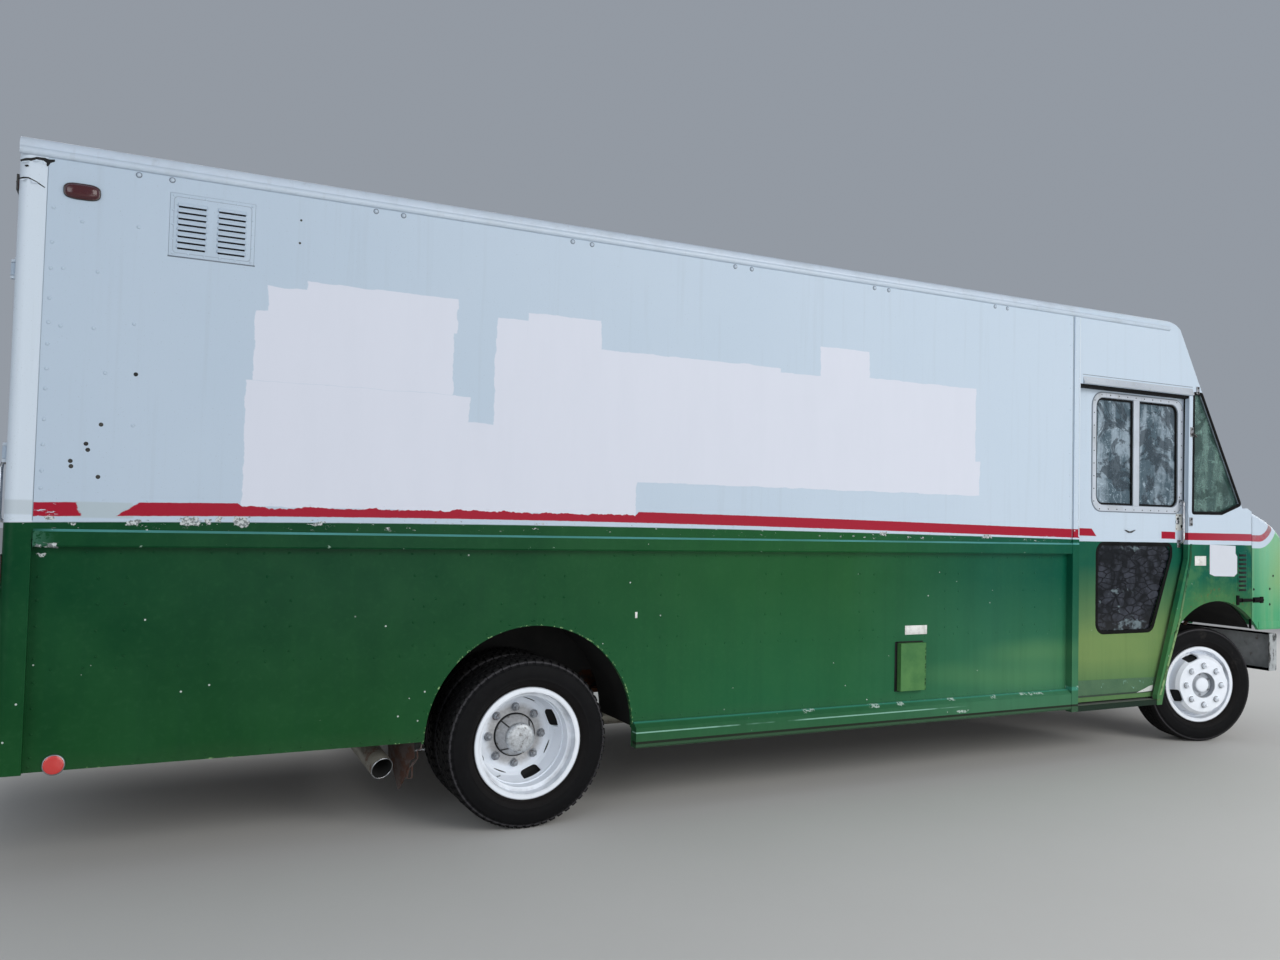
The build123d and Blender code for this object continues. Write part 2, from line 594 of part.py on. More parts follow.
# cab outline in side view, grown inwards by t on the front and top
def cab_profile(t, x0, z0, x1):
    slope = Vector(WS_BASE[0] - WS_TOP[0], WS_BASE[1] - WS_TOP[1]).normalized()
    nrm = Vector(slope.Y, -slope.X)            # points inwards and down
    if nrm.X > 0:
        nrm = nrm * -1
    top = Z_TOP - (30 if t else 0)
    # windshield line shifted inwards by t
    px, pz = WS_TOP[0] + nrm.X * t, WS_TOP[1] + nrm.Y * t
    k = (top - pz) / slope.Y
    cx = px + slope.X * k
    half = 0.5 * (90.0 - degrees_of(slope))
    r = R_CAP - t
    tl = r * tan_deg(half)
    a = (cx - tl, top)
    b = (cx + slope.X * tl, top + slope.Y * tl)
    kb = (WS_BASE[1] + 0.0 - pz) / slope.Y
    base = (px + slope.X * kb, WS_BASE[1])
    return a, b, base, r, top


def degrees_of(v):
    from math import atan2, degrees
    return degrees(atan2(abs(v.X), abs(v.Y)))


def tan_deg(a):
    from math import tan
    return tan(radians(a))


def cab_solid(t, w, z_side, z_top, r_eave, z_low, x0, x_front):
    """side profile crossed with the crowned section"""
    a, b, base, r, top = cab_profile(t, x0, z_low, x_front)
    with BuildPart() as solid:
        with BuildSketch(at_y(w)):
            with BuildLine():
                Line((x0, z_low), (x0, top))
                Line((x0, top), a)
                RadiusArc(a, b, r)
                Line(b, base)
                Line(base, (x_front, 1647.0 - (t * 0.6)))
                Line((x_front, 1647.0 - (t * 0.6)), (x_front, z_low))
                Line((x_front, z_low), (x0, z_low))
            make_face()
        extrude(amount=2 * w)
        with BuildSketch(at_x(x0)):
            roof_section(w, z_side, z_top, r_eave, z_low)
        extrude(amount=x_front - x0, mode=Mode.INTERSECT)
    return solid.part


X_COWL = X_SEAM - SEAM / 2
outer_cab = cab_solid(0, HALF_W, Z_SIDE, Z_TOP, R_EAVE, 314.0, X_CAB, X_COWL)
inner_cab = cab_solid(36, HALF_W - T_UP, Z_SIDE - 30, Z_TOP - 30, 20.0, 270.0, X_CAB - 10, X_COWL - 30)
R_PILLAR = 26.0
with BuildPart() as cab_shell:
    add(outer_cab)
    add(inner_cab, mode=Mode.SUBTRACT)

DOOR_OPEN = [(X_CAB, 300), (2698, 300), (2698, 380), (3008, 1300), (3022, 2440), (X_CAB, 2440)]
QUARTER = [(3062, 2462), (3152, 2462), (3586, 1692), (3372, 1622), (3055, 1618)]
SPLIT = [(2900, 1600), (3385, 1600), (3632, 1668), (4300, 1668), (4300, 3100), (1800, 3100), (1800, 1600)]
WIND_PLANE_T = 36.0

# windshield openings, cut square to the slanted face: plane through its base line
ws_dir = Vector(WS_TOP[0] - WS_BASE[0], 0, WS_TOP[1] - WS_BASE[1]).normalized()
ws_nrm = Vector(-ws_dir.Z * -1, 0, ws_dir.X * -1)
if ws_nrm.X < 0:
    ws_nrm = ws_nrm * -1
ws_plane = Plane(origin=(WS_BASE[0], 0, WS_BASE[1]), x_dir=(0, 1, 0), z_dir=ws_nrm)
WS_V = 1 if ws_plane.y_dir.Z > 0 else -1
WS_H0, WS_H1 = 34.0, 905.0                    # along the slope from the base
WS_Y0, WS_Y1 = 30.0, 1138.0


def windshield_outline(grow=0.0):
    for s in (-1, 1):
        outline([(s * (WS_Y0 - grow), WS_V * (WS_H0 - grow)), (s * (WS_Y1 + grow), WS_V * (WS_H0 - grow)),
                 (s * (WS_Y1 + grow), WS_V * (WS_H1 + grow)), (s * (WS_Y0 - grow), WS_V * (WS_H1 + grow))], 40)


with BuildPart() as front_cap:
    add(cab_shell.part)
    with BuildSketch(at_y(HALF_W + 20)):
        outline(SPLIT)
    extrude(amount=2 * HALF_W + 40, mode=Mode.INTERSECT)
    # rounded corner posts: a plan section carried up the windshield's slope
    with BuildSketch(Plane(origin=ws_plane.origin - ws_dir * 800, x_dir=(0, 1, 0), z_dir=ws_dir)):
        with BuildLine():
            Line((-HALF_W - 1, 4000), (-HALF_W - 1, R_PILLAR))
            RadiusArc((-HALF_W - 1, R_PILLAR), (-HALF_W - 1 + R_PILLAR, 0), R_PILLAR)
            Line((-HALF_W - 1 + R_PILLAR, 0), (HALF_W + 1 - R_PILLAR, 0))
            RadiusArc((HALF_W + 1 - R_PILLAR, 0), (HALF_W + 1, R_PILLAR), R_PILLAR)
            Line((HALF_W + 1, R_PILLAR), (HALF_W + 1, 4000))
            Line((HALF_W + 1, 4000), (-HALF_W - 1, 4000))
        make_face()
    extrude(amount=4500, mode=Mode.INTERSECT)
    for name, side in SIDES:
        y0, y1 = span(side, HALF_W - T_UP - 30, HALF_W + 20)
        with BuildSketch(at_y(y1)):
            outline(DOOR_OPEN)
        extrude(amount=y1 - y0, mode=Mode.SUBTRACT)
        with BuildSketch(at_y(y1)):
            outline(QUARTER, 16)
        extrude(amount=y1 - y0, mode=Mode.SUBTRACT)
    with BuildSketch(ws_plane.offset(-60)):
        windshield_outline()
    extrude(amount=80, mode=Mode.SUBTRACT)
save(front_cap, "front_cap")

with BuildPart() as cab_glass:
    with BuildSketch(ws_plane.offset(-22)):
        windshield_outline()
    extrude(amount=6)
    for name, side in SIDES:
        y0, y1 = span(side, HALF_W - 26, HALF_W - 20)
        with BuildSketch(at_y(y1)):
            outline(QUARTER, 16)
        extrude(amount=y1 - y0)
save(cab_glass, "cab_glass")

with BuildPart() as cowl:
    add(cab_shell.part)
    with BuildSketch(at_y(HALF_W + 20)):
        outline(SPLIT)
    extrude(amount=2 * HALF_W + 40, mode=Mode.SUBTRACT)
    for name, side in SIDES:
        y0, y1 = span(side, HALF_W - T_UP - 30, HALF_W + 20)
        with BuildSketch(at_y(y1)):
            outline(DOOR_OPEN)
        extrude(amount=y1 - y0, mode=Mode.SUBTRACT)
    # wheel arch: the arc ahead, a slanting edge behind
    cx, cz, r = FRONT_ARCH
    with BuildSketch(at_y(HALF_W + 20)):
        with Locations((cx, cz)):
            Circle(r)
        with Locations((cx, 792 - 1000)):
            Rectangle(3000, 2000, mode=Mode.SUBTRACT)
        outline([(2733, 270), (2873, 792), (3100, 793), (3900, 793), (3900, 270)])
    extrude(amount=2 * HALF_W + 40, mode=Mode.SUBTRACT)
    # open towards the engine bay, leaving a rim and the firewall above the engine cover
    block(X_COWL - 60, X_COWL + 10, -(HALF_W - T_UP), HALF_W - T_UP, 200, 1560, mode=Mode.SUBTRACT)
    block(3560, X_COWL - 20, -(HALF_W - T_UP), HALF_W - T_UP, 1100, 1120)
    block(3560, 3575, -(HALF_W - T_UP), HALF_W - T_UP, 1100, 1620)
save(cowl, "cowl")

# wheel wells: a rolled liner over each wheel with an inner wall
with BuildPart() as wheel_wells:
    for name, side in SIDES:
        # arch, inner and outer y, liner radius, x limits of the inner wall
        for (cx, cz, r), yi, yo, z_flat in ((REAR_ARCH, 700, 1126, 430), (FRONT_ARCH, 600, 1105, 792)):
            y0, y1 = span(side, yi, yo)
            with BuildSketch(at_y(y1)):
                with Locations((cx, cz)):
                    Circle(r + 32)
                    Circle(r + 20, mode=Mode.SUBTRACT)
                with Locations((cx, z_flat - 1000)):
                    Rectangle(4000, 2000, mode=Mode.SUBTRACT)
            extrude(amount=y1 - y0)
            y0, y1 = span(side, yi - 12, yi)
            with BuildSketch(at_y(y1)):
                with Locations((cx, cz)):
                    Circle(r + 32)
                with Locations((cx, max(z_flat, 660) - 1000)):
                    Rectangle(4000, 2000, mode=Mode.SUBTRACT)
            extrude(amount=y1 - y0)
save(wheel_wells, "wheel_wells")

# ---------------------------------------------------------------------------
# Tilting nose
# ---------------------------------------------------------------------------
X_HOOD = X_SEAM + SEAM / 2
X_NOSE = 4128.0


# hood sections along X: x, half width, top z, top corner radius
HOOD_SECTIONS = (
    (X_HOOD, 1200.0, 1650.0, 45.0),
    (3800.0, 1200.0, 1624.0, 52.0),
    (3900.0, 1200.0, 1588.0, 58.0),
    (3980.0, 1200.0, 1552.0, 64.0),
    (4050.0, 1196.0, 1510.0, 74.0),
    (4098.0, 1172.0, 1462.0, 90.0),
    (X_NOSE, 1112.0, 1380.0, 110.0),
)


def hood_solid(t, z_low):
    with BuildPart() as solid:
        for x, w, z, r in HOOD_SECTIONS:
            if t:
                x = max(x - t, X_HOOD - 8) if x > X_HOOD else X_HOOD - 8
            with BuildSketch(at_x(x)):
                with BuildLine():
                    Line((-(w - t), z_low), (-(w - t), z - r - t))
                    RadiusArc((-(w - t), z - r - t), (-(w - t) + r, z - t), r)
                    Line((-(w - t) + r, z - t), (w - t - r, z - t))
                    RadiusArc((w - t - r, z - t), (w - t, z - r - t), r)
                    Line((w - t, z - r - t), (w - t, z_low))
                    Line((w - t, z_low), (-(w - t), z_low))
                make_face()
        loft(ruled=True)
    return solid.part


hood_outer = hood_solid(0, 790.0)
hood_inner = hood_solid(20, 780.0)
with BuildPart() as hood:
    add(hood_outer)
    add(hood_inner, mode=Mode.SUBTRACT)
    cx, cz, r = FRONT_ARCH
    with BuildSketch(at_y(HALF_W + 20)):
        with Locations((cx, cz)):
            Circle(r)
    extrude(amount=2 * HALF_W + 40, mode=Mode.SUBTRACT)
    # grille opening
    block(X_NOSE - 60, X_NOSE + 20, -560, 560, 880, 1250, mode=Mode.SUBTRACT)
    # lamp openings
    with BuildSketch(at_x(X_NOSE - 60)):
        for name, side in SIDES:
            with Locations((side * 760, 1080)):
                Rectangle(280, 210)
    extrude(amount=80, mode=Mode.SUBTRACT)
    # hinge lugs round the pins
    for name, side in SIDES:
        y0, y1 = span(side, RAIL_Y + 20, RAIL_Y + 36)
        with BuildSketch(at_y(y1)):
            with Locations((HOOD_PX, HOOD_PZ)):
                Circle(18)
            outline([(HOOD_PX - 18, HOOD_PZ), (HOOD_PX - 18, 860), (X_NOSE - 10, 860), (X_NOSE - 10, 800), (HOOD_PX + 18, HOOD_PZ)])
            with Locations((HOOD_PX, HOOD_PZ)):
                Circle(10 + RUN, mode=Mode.SUBTRACT)
        extrude(amount=y1 - y0)
save(hood, "hood")

with BuildPart() as grille:
    block(X_NOSE - 22, X_NOSE - 4, -560, 560, 880, 905)
    block(X_NOSE - 22, X_NOSE - 4, -560, 560, 1225, 1250)
    for i in range(8):
        y = -560 + i * 156.5 + 12
        block(X_NOSE - 20, X_NOSE - 8, y - 12, y + 12, 900, 1230)
    for i in range(1, 8):
        z = 905 + i * 40
        block(X_NOSE - 17, X_NOSE - 10, -548, 548, z - 5, z + 5)
save(grille, "grille")

with BuildPart() as headlamps:
    for name, side in SIDES:
        y0, y1 = span(side, 620, 900)
        block(X_NOSE - 58, X_NOSE - 2, y0, y1, 975, 1185)
save(headlamps, "headlamps")

# ---------------------------------------------------------------------------
# Sliding cab doors
# ---------------------------------------------------------------------------
DOOR_OUT = [(1885, DOOR_Z0), (2722, DOOR_Z0), (2736, 385), (3041, 1300), (3052, DOOR_Z1), (1885, DOOR_Z1)]
UP_WIN = [(2152, 1658), (2966, 1658), (2966, 2372), (2152, 2372)]
LOW_WIN = [(2172, 1396), (2905, 1396), (2905, 1318), (2708, 812), (2172, 812)]
for name, side in SIDES:
    y0, y1 = span(side, DOOR_Y - DOOR_T, DOOR_Y)
    with BuildPart() as door:
        with BuildSketch(at_y(y1)):
            outline(DOOR_OUT)
            with BuildSketch(mode=Mode.PRIVATE) as up:
                outline(UP_WIN, 62)
                with Locations((2541, 2015)):
                    Rectangle(58, 800, mode=Mode.SUBTRACT)
            add(up.sketch, mode=Mode.SUBTRACT)
            with BuildSketch(mode=Mode.PRIVATE) as lo:
                outline(LOW_WIN, 62)
            add(lo.sketch, mode=Mode.SUBTRACT)
        extrude(amount=y1 - y0)
    save(door, name + "_door")
    g0, g1 = span(side, DOOR_Y - 19, DOOR_Y - 13)
    with BuildPart() as glass:
        with BuildSketch(at_y(g1)):
            with BuildSketch(mode=Mode.PRIVATE) as up:
                outline(UP_WIN, 62)
                with Locations((2541, 2015)):
                    Rectangle(58, 800, mode=Mode.SUBTRACT)
            add(up.sketch)
            outline(LOW_WIN, 62)
        extrude(amount=g1 - g0)
    save(glass, name + "_door_glass")

# fuel flap: a shallow pan over the hole in the right wall, hinged at its front edge
with BuildPart() as fuel_door:
    x0, x1, z0, z1 = FLAP
    y_out = -(HALF_W - LOW_IN) - 34
    block(x0, x1, y_out, -(HALF_W - LOW_IN) - 1, z0, z1)
    block(x0 + 3, x1 - 3, y_out + 3, -(HALF_W - LOW_IN) + 5, z0 + 3, z1 - 3, mode=Mode.SUBTRACT)
    for z in (600, 728):
        with Locations((FLAP_PIN[0], FLAP_PIN[1], z)):
            Cylinder(7, 50)
        block(x1 - 2, FLAP_PIN[0], FLAP_PIN[1] - 7, FLAP_PIN[1] - 4, z - 25, z + 25)
        with Locations((FLAP_PIN[0], FLAP_PIN[1], z)):
            Cylinder(3 + RUN, 50, mode=Mode.SUBTRACT)
save(fuel_door, "fuel_door")

# ---------------------------------------------------------------------------
# Floors and cab interior
# ---------------------------------------------------------------------------
SILLS = (-3700.0, -3100.0, -2500.0, -1100.0, -500.0, 100.0, 700.0, 1300.0, 1850.0)
with BuildPart() as cargo_floor:
    block(X_POST, 950, -1150, 1150, 715, FLOOR_Z)
    block(950, 1920, -1095, 1095, 715, FLOOR_Z)
    for x in SILLS:
        block(x - 30, x + 30, -1090, 1090, RAIL_Z1 + 2, 716)
    for name, side in SIDES:
        y0, y1 = span(side, 686, 1151)
        cx, cz, r = REAR_ARCH
        block(cx - r - 34, cx + r + 34, y0, y1, 600, FLOOR_Z + 1, mode=Mode.SUBTRACT)
        # pocket for the bulkhead's foot
        y0, y1 = span(side, 359, 1086)
        block(1839, 1869, y0, y1, FLOOR_Z - 10, FLOOR_Z + 1, mode=Mode.SUBTRACT)
save(cargo_floor, "cargo_floor")

with BuildPart() as bulkhead:
    block(1840, 1868, -1085, 1085, FLOOR_Z - 10, Z_EAVE)
    block(1830, 1880, -360, 360, FLOOR_Z - 11, 2680, mode=Mode.SUBTRACT)
save(bulkhead, "bulkhead")

# cab floor, round the engine cover
with BuildPart() as cab_floor:
    block(1925, 2340, -800, 800, FLOOR_Z - 30, FLOOR_Z)
    for name, side in SIDES:
        y0, y1 = span(side, 345, 800)
        block(2330, 2790, y0, y1, FLOOR_Z - 30, FLOOR_Z)
        y0, y1 = span(side, 345, 586)
        block(2780, 3560, y0, y1, FLOOR_Z - 30, FLOOR_Z)
save(cab_floor, "cab_floor")

# step well at each door, with the sill along its outer edge
with BuildPart() as step_wells:
    for name, side in SIDES:
        y0, y1 = span(side, 801, 1196)
        block(X_CAB + 2, 2696, y0, y1, 316, STEP_Z)
        y0, y1 = span(side, 801, 819)
        block(X_CAB + 2, 2696, y0, y1, STEP_Z, FLOOR_Z)
        y0, y1 = span(side, 801, 1100)
        block(X_CAB + 2, X_CAB + 20, y0, y1, STEP_Z, FLOOR_Z)
        block(2678, 2696, y0, y1, STEP_Z, FLOOR_Z)
save(step_wells, "step_wells")

with BuildPart() as engine_cover:
    with BuildSketch(at_x(2340)):
        outline([(-344, FLOOR_Z), (-300, 1130), (300, 1130), (344, FLOOR_Z)])
    extrude(amount=1205)
    fillet([e for e in engine_cover.edges().filter_by(Axis.X) if e.center().Z > 1100], 60)
    with BuildSketch(at_x(2360)):
        outline([(-326, FLOOR_Z - 2), (-283, 1110), (283, 1110), (326, FLOOR_Z - 2)])
    extrude(amount=1300, mode=Mode.SUBTRACT)
save(engine_cover, "engine_cover")

SEAT_Y = 560.0
COL_A = Vector(3225, SEAT_Y, 1330)
COL_DIR = Vector(-0.62, 0, 0.78).normalized()
COL_LEN = 270.0
with BuildPart() as steering_column:
    with BuildSketch(Plane(origin=COL_A, z_dir=COL_DIR)):
        Circle(36)
    extrude(amount=COL_LEN)
    with BuildSketch(Plane(origin=COL_A + COL_DIR * COL_LEN, z_dir=COL_DIR)):
        Circle(12)
    extrude(amount=40)
with BuildPart() as dashboard:
    with BuildSketch(at_y(1060)):
        outline([(3230, 1230), (3556, 1230), (3556, 1560), (3330, 1580), (3240, 1520), (3205, 1400)])
    extrude(amount=2120)
    fillet(dashboard.edges().filter_by(Axis.Y).group_by(Axis.X)[0], 30)
    add(steering_column.part)
save(dashboard, "dashboard")

with BuildPart() as steering_wheel:
    hub_plane = Plane(origin=COL_A + COL_DIR * (COL_LEN + 4), x_dir=(0, 1, 0), z_dir=COL_DIR)
    with BuildSketch(hub_plane):
        Circle(46)
        Circle(12 + RUN, mode=Mode.SUBTRACT)
    extrude(amount=40)
    with BuildSketch(hub_plane.offset(12)):
        for a in (90, 210, 330):
            with Locations(Location((0, 0), a)):
                with Locations((115, 0)):
                    Rectangle(160, 26)
    extrude(amount=12)
    rim_plane = Plane(origin=hub_plane.origin + hub_plane.z_dir * 18, x_dir=(0, 1, 0), z_dir=COL_DIR)
    with BuildSketch(Plane(origin=rim_plane.origin, x_dir=(0, 1, 0), z_dir=rim_plane.y_dir * -1)):
        with Locations((205, 0)):
            Circle(15)
    revolve(axis=Axis(rim_plane.origin, COL_DIR))
save(steering_wheel, "steering_wheel")

with BuildPart() as seat_base:
    block(2430, 2760, SEAT_Y - 160, SEAT_Y + 160, FLOOR_Z, FLOOR_Z + 12)
    block(2490, 2700, SEAT_Y - 100, SEAT_Y + 100, FLOOR_Z + 12, 1090)
    block(2400, 2800, SEAT_Y - 210, SEAT_Y + 210, 1090, 1110)
save(seat_base, "seat_base")

with BuildPart() as driver_seat:
    with BuildSketch(at_y(SEAT_Y + 235)):
        outline([(2330, 1110), (2860, 1110), (2870, 1225), (2480, 1215), (2340, 1760), (2225, 1745), (2330, 1190)], 28)
    extrude(amount=470)
save(driver_seat, "driver_seat")

with BuildPart() as tail_lamps:
    for name, side in SIDES:
        y0, y1 = span(side, 1085, 1165)
        for z0, z1 in ((1180, 1290), (1050, 1160), (2740, 2790)):
            block(X_BACK - 6, X_BACK, y0, y1, z0, z1)
save(tail_lamps, "tail_lamps")
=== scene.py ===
import bpy
import bmesh
import math
import random
from mathutils import Matrix, Vector


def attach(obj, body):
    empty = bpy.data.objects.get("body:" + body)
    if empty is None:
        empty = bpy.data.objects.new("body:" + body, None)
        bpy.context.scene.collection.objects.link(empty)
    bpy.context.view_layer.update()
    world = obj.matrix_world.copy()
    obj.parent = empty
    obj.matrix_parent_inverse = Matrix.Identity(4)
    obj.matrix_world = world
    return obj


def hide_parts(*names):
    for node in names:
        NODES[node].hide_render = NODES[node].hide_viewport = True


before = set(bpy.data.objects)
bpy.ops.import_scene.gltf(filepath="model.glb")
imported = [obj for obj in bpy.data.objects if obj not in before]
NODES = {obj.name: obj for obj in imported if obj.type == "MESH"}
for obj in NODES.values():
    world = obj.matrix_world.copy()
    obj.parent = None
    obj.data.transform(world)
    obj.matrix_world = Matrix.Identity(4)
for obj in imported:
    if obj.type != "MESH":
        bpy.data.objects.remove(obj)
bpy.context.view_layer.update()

# ---------------------------------------------------------------------------
# Sizes the pieces are placed by: millimetres, the row frame
# ---------------------------------------------------------------------------
HALF_W = 1200.0
LOW_Y = 1162.0                  # lower panel's face
X_BACK, X_POST, X_CAB = -3981.0, -3880.0, 1925.0
REAR_X, FRONT_X, AXLE_Z = -1797.0, 3362.0, 405.0
TYRE_R, TYRE_HALF_W = 405.0, 112.5
REAR_ARCH = (-1763.0, 430.0, 532.0)
FRONT_ARCH = (3327.0, 402.0, 603.0)
REAR_DISC_Y, DISC_OFFSET = 975.0, 131.0
KINGPIN_Y, FRONT_OUT, STEER = 870.0, 137.0, math.radians(-16.5)
DOOR_Y = 1145.0
Z_BELT = 1330.0
FLOOR_Z = 760.0
X_HOOD, X_NOSE, X_END = 3716.0, 4128.0, 4168.0
WS_TOP, WS_BASE = (2908.0, 2964.0), (3622.0, 1683.0)
SIDES = (("right", -1), ("left", 1))
MM = 0.001
rng = random.Random(4)


def srgb(r, g, b, a=1.0):
    """a colour given as it looks on a screen, 0 to 255"""
    out = []
    for v in (r, g, b):
        v /= 255.0
        out.append(v / 12.92 if v <= 0.04045 else ((v + 0.055) / 1.055) ** 2.4)
    return (out[0], out[1], out[2], a)


# ---------------------------------------------------------------------------
# Materials, written as expressions of nodes
# ---------------------------------------------------------------------------
class Mat:
    def __init__(self, name):
        self.m = bpy.data.materials.new(name)
        self.m.use_nodes = True
        self.t = self.m.node_tree
        self.t.nodes.clear()
        self.out = self.t.nodes.new("ShaderNodeOutputMaterial")
        self.co = self.t.nodes.new("ShaderNodeTexCoord").outputs["Object"]
        sep = self.t.nodes.new("ShaderNodeSeparateXYZ")
        self.t.links.new(self.co, sep.inputs[0])
        self.x, self.y, self.z = sep.outputs[0], sep.outputs[1], sep.outputs[2]

    def put(self, socket, value):
        if isinstance(value, bpy.types.NodeSocket):
            self.t.links.new(value, socket)
        else:
            socket.default_value = value

    def math(self, op, a, b=None, c=None, clamp=False):
        n = self.t.nodes.new("ShaderNodeMath")
        n.operation = op
        n.use_clamp = clamp
        for i, v in enumerate((a, b, c)):
            if v is not None:
                self.put(n.inputs[i], v)
        return n.outputs[0]

    def add(self, a, b): return self.math("ADD", a, b)
    def sub(self, a, b): return self.math("SUBTRACT", a, b)
    def mul(self, a, b): return self.math("MULTIPLY", a, b)
    def top(self, a, b): return self.math("MAXIMUM", a, b)
    def low(self, a, b): return self.math("MINIMUM", a, b)
    def inv(self, a): return self.math("SUBTRACT", 1.0, a, clamp=True)

    def step(self, v, at, soft):
        """0 below, 1 above, over a width of soft"""
        return self.math("MULTIPLY_ADD", v, 1.0 / soft, 0.5 - at / soft, clamp=True)

    def band(self, v, lo, hi, soft):
        return self.math("MULTIPLY", self.step(v, lo, soft), self.math("MULTIPLY_ADD", v, -1.0 / soft, 0.5 + hi / soft, clamp=True))

    def rect(self, x, z, x0, x1, z0, z1, soft=0.004):
        return self.mul(self.band(x, x0, x1, soft), self.band(z, z0, z1, soft))

    def vec(self, x, y, z):
        n = self.t.nodes.new("ShaderNodeCombineXYZ")
        for i, v in enumerate((x, y, z)):
            self.put(n.inputs[i], v)
        return n.outputs[0]

    def scaled(self, sx, sy, sz):
        n = self.t.nodes.new("ShaderNodeVectorMath")
        n.operation = "MULTIPLY"
        self.put(n.inputs[0], self.co)
        n.inputs[1].default_value = (sx, sy, sz)
        return n.outputs[0]

    def noise(self, scale, detail=3.0, rough=0.55, vec=None, distortion=0.0, colour=False):
        n = self.t.nodes.new("ShaderNodeTexNoise")
        self.put(n.inputs["Vector"], vec if vec is not None else self.co)
        n.inputs["Scale"].default_value = scale
        n.inputs["Detail"].default_value = detail
        n.inputs["Roughness"].default_value = rough
        n.inputs["Distortion"].default_value = distortion
        return n.outputs["Color" if colour else "Fac"]

    def cells(self, scale, vec=None, feature="F1", random_=1.0):
        n = self.t.nodes.new("ShaderNodeTexVoronoi")
        n.feature = feature
        self.put(n.inputs["Vector"], vec if vec is not None else self.co)
        n.inputs["Scale"].default_value = scale
        n.inputs["Randomness"].default_value = random_
        return n.outputs["Distance"]

    def mix(self, f, a, b):
        n = self.t.nodes.new("ShaderNodeMix")
        n.data_type = "RGBA"
        self.put(n.inputs[0], f)
        self.put(n.inputs[6], a)
        self.put(n.inputs[7], b)
        return n.outputs[2]

    def over(self, base, *layers):
        """layers of (mask, colour) laid on a base colour"""
        for mask, colour in layers:
            base = self.mix(mask, base, colour)
        return base

    def lerp(self, f, a, b):
        """a + f (b - a) for numbers"""
        return self.math("MULTIPLY_ADD", f, b - a, a)

    def radius(self, centre, axis):
        """distance from an axis, metres"""
        n = self.t.nodes.new("ShaderNodeVectorMath")
        n.operation = "SUBTRACT"
        self.put(n.inputs[0], self.co)
        n.inputs[1].default_value = centre
        d = self.t.nodes.new("ShaderNodeVectorMath")
        d.operation = "CROSS_PRODUCT"
        self.put(d.inputs[0], n.outputs[0])
        d.inputs[1].default_value = axis
        ln = self.t.nodes.new("ShaderNodeVectorMath")
        ln.operation = "LENGTH"
        self.put(ln.inputs[0], d.outputs[0])
        return ln.outputs["Value"]

    def along(self, centre, axis):
        """distance along an axis, metres"""
        n = self.t.nodes.new("ShaderNodeVectorMath")
        n.operation = "SUBTRACT"
        self.put(n.inputs[0], self.co)
        n.inputs[1].default_value = centre
        d = self.t.nodes.new("ShaderNodeVectorMath")
        d.operation = "DOT_PRODUCT"
        self.put(d.inputs[0], n.outputs[0])
        d.inputs[1].default_value = axis
        return d.outputs["Value"]

    def bump(self, height, strength=0.3, distance=0.002, under=None):
        n = self.t.nodes.new("ShaderNodeBump")
        self.put(n.inputs["Height"], height)
        n.inputs["Strength"].default_value = strength
        n.inputs["Distance"].default_value = distance
        if under is not None:
            self.put(n.inputs["Normal"], under)
        return n.outputs[0]

    def shade(self, colour, rough=0.5, metal=0.0, normal=None, **more):
        n = self.t.nodes.new("ShaderNodeBsdfPrincipled")
        self.put(n.inputs["Base Color"], colour)
        self.put(n.inputs["Roughness"], rough)
        self.put(n.inputs["Metallic"], metal)
        if normal is not None:
            self.put(n.inputs["Normal"], normal)
        names = {"coat": "Coat Weight", "coat_rough": "Coat Roughness", "alpha": "Alpha", "ior": "IOR",
                 "spec": "Specular IOR Level", "trans": "Transmission Weight", "sheen": "Sheen Weight",
                 "sheen_rough": "Sheen Roughness", "glow": "Emission Color", "glow_power": "Emission Strength",
                 "sub": "Subsurface Weight"}
        for k, v in more.items():
            self.put(n.inputs[names[k]], v)
        self.t.links.new(n.outputs[0], self.out.inputs[0])
        return self.m


# overpainted lettering on the wall: rough-edged roller strokes, x0, x1, z0, z1 in metres
OVERPAINT = (
    (-3.120, -2.205, 1.508, 2.050), (-3.093, -2.222, 2.050, 2.350), (-3.045, -2.210, 2.340, 2.462),
    (-2.885, -2.205, 2.455, 2.500), (-2.230, -2.138, 1.508, 2.048), (-2.145, -1.978, 1.508, 1.926),
    (-2.020, -1.256, 1.508, 2.336), (-2.014, -1.858, 2.320, 2.437), (-1.860, -1.470, 2.320, 2.478),
    (-1.262, -0.400, 1.680, 2.336), (-0.404, -0.126, 1.680, 2.314), (-0.130, 0.216, 1.680, 2.481),
    (0.212, 1.031, 1.680, 2.332), (1.020, 1.068, 1.680, 1.890),
)
RED = srgb(158, 30, 50)
WHITE_REAR, WHITE_FRONT = srgb(180, 195, 210), srgb(193, 207, 221)
OVER_WHITE = srgb(212, 215, 226)


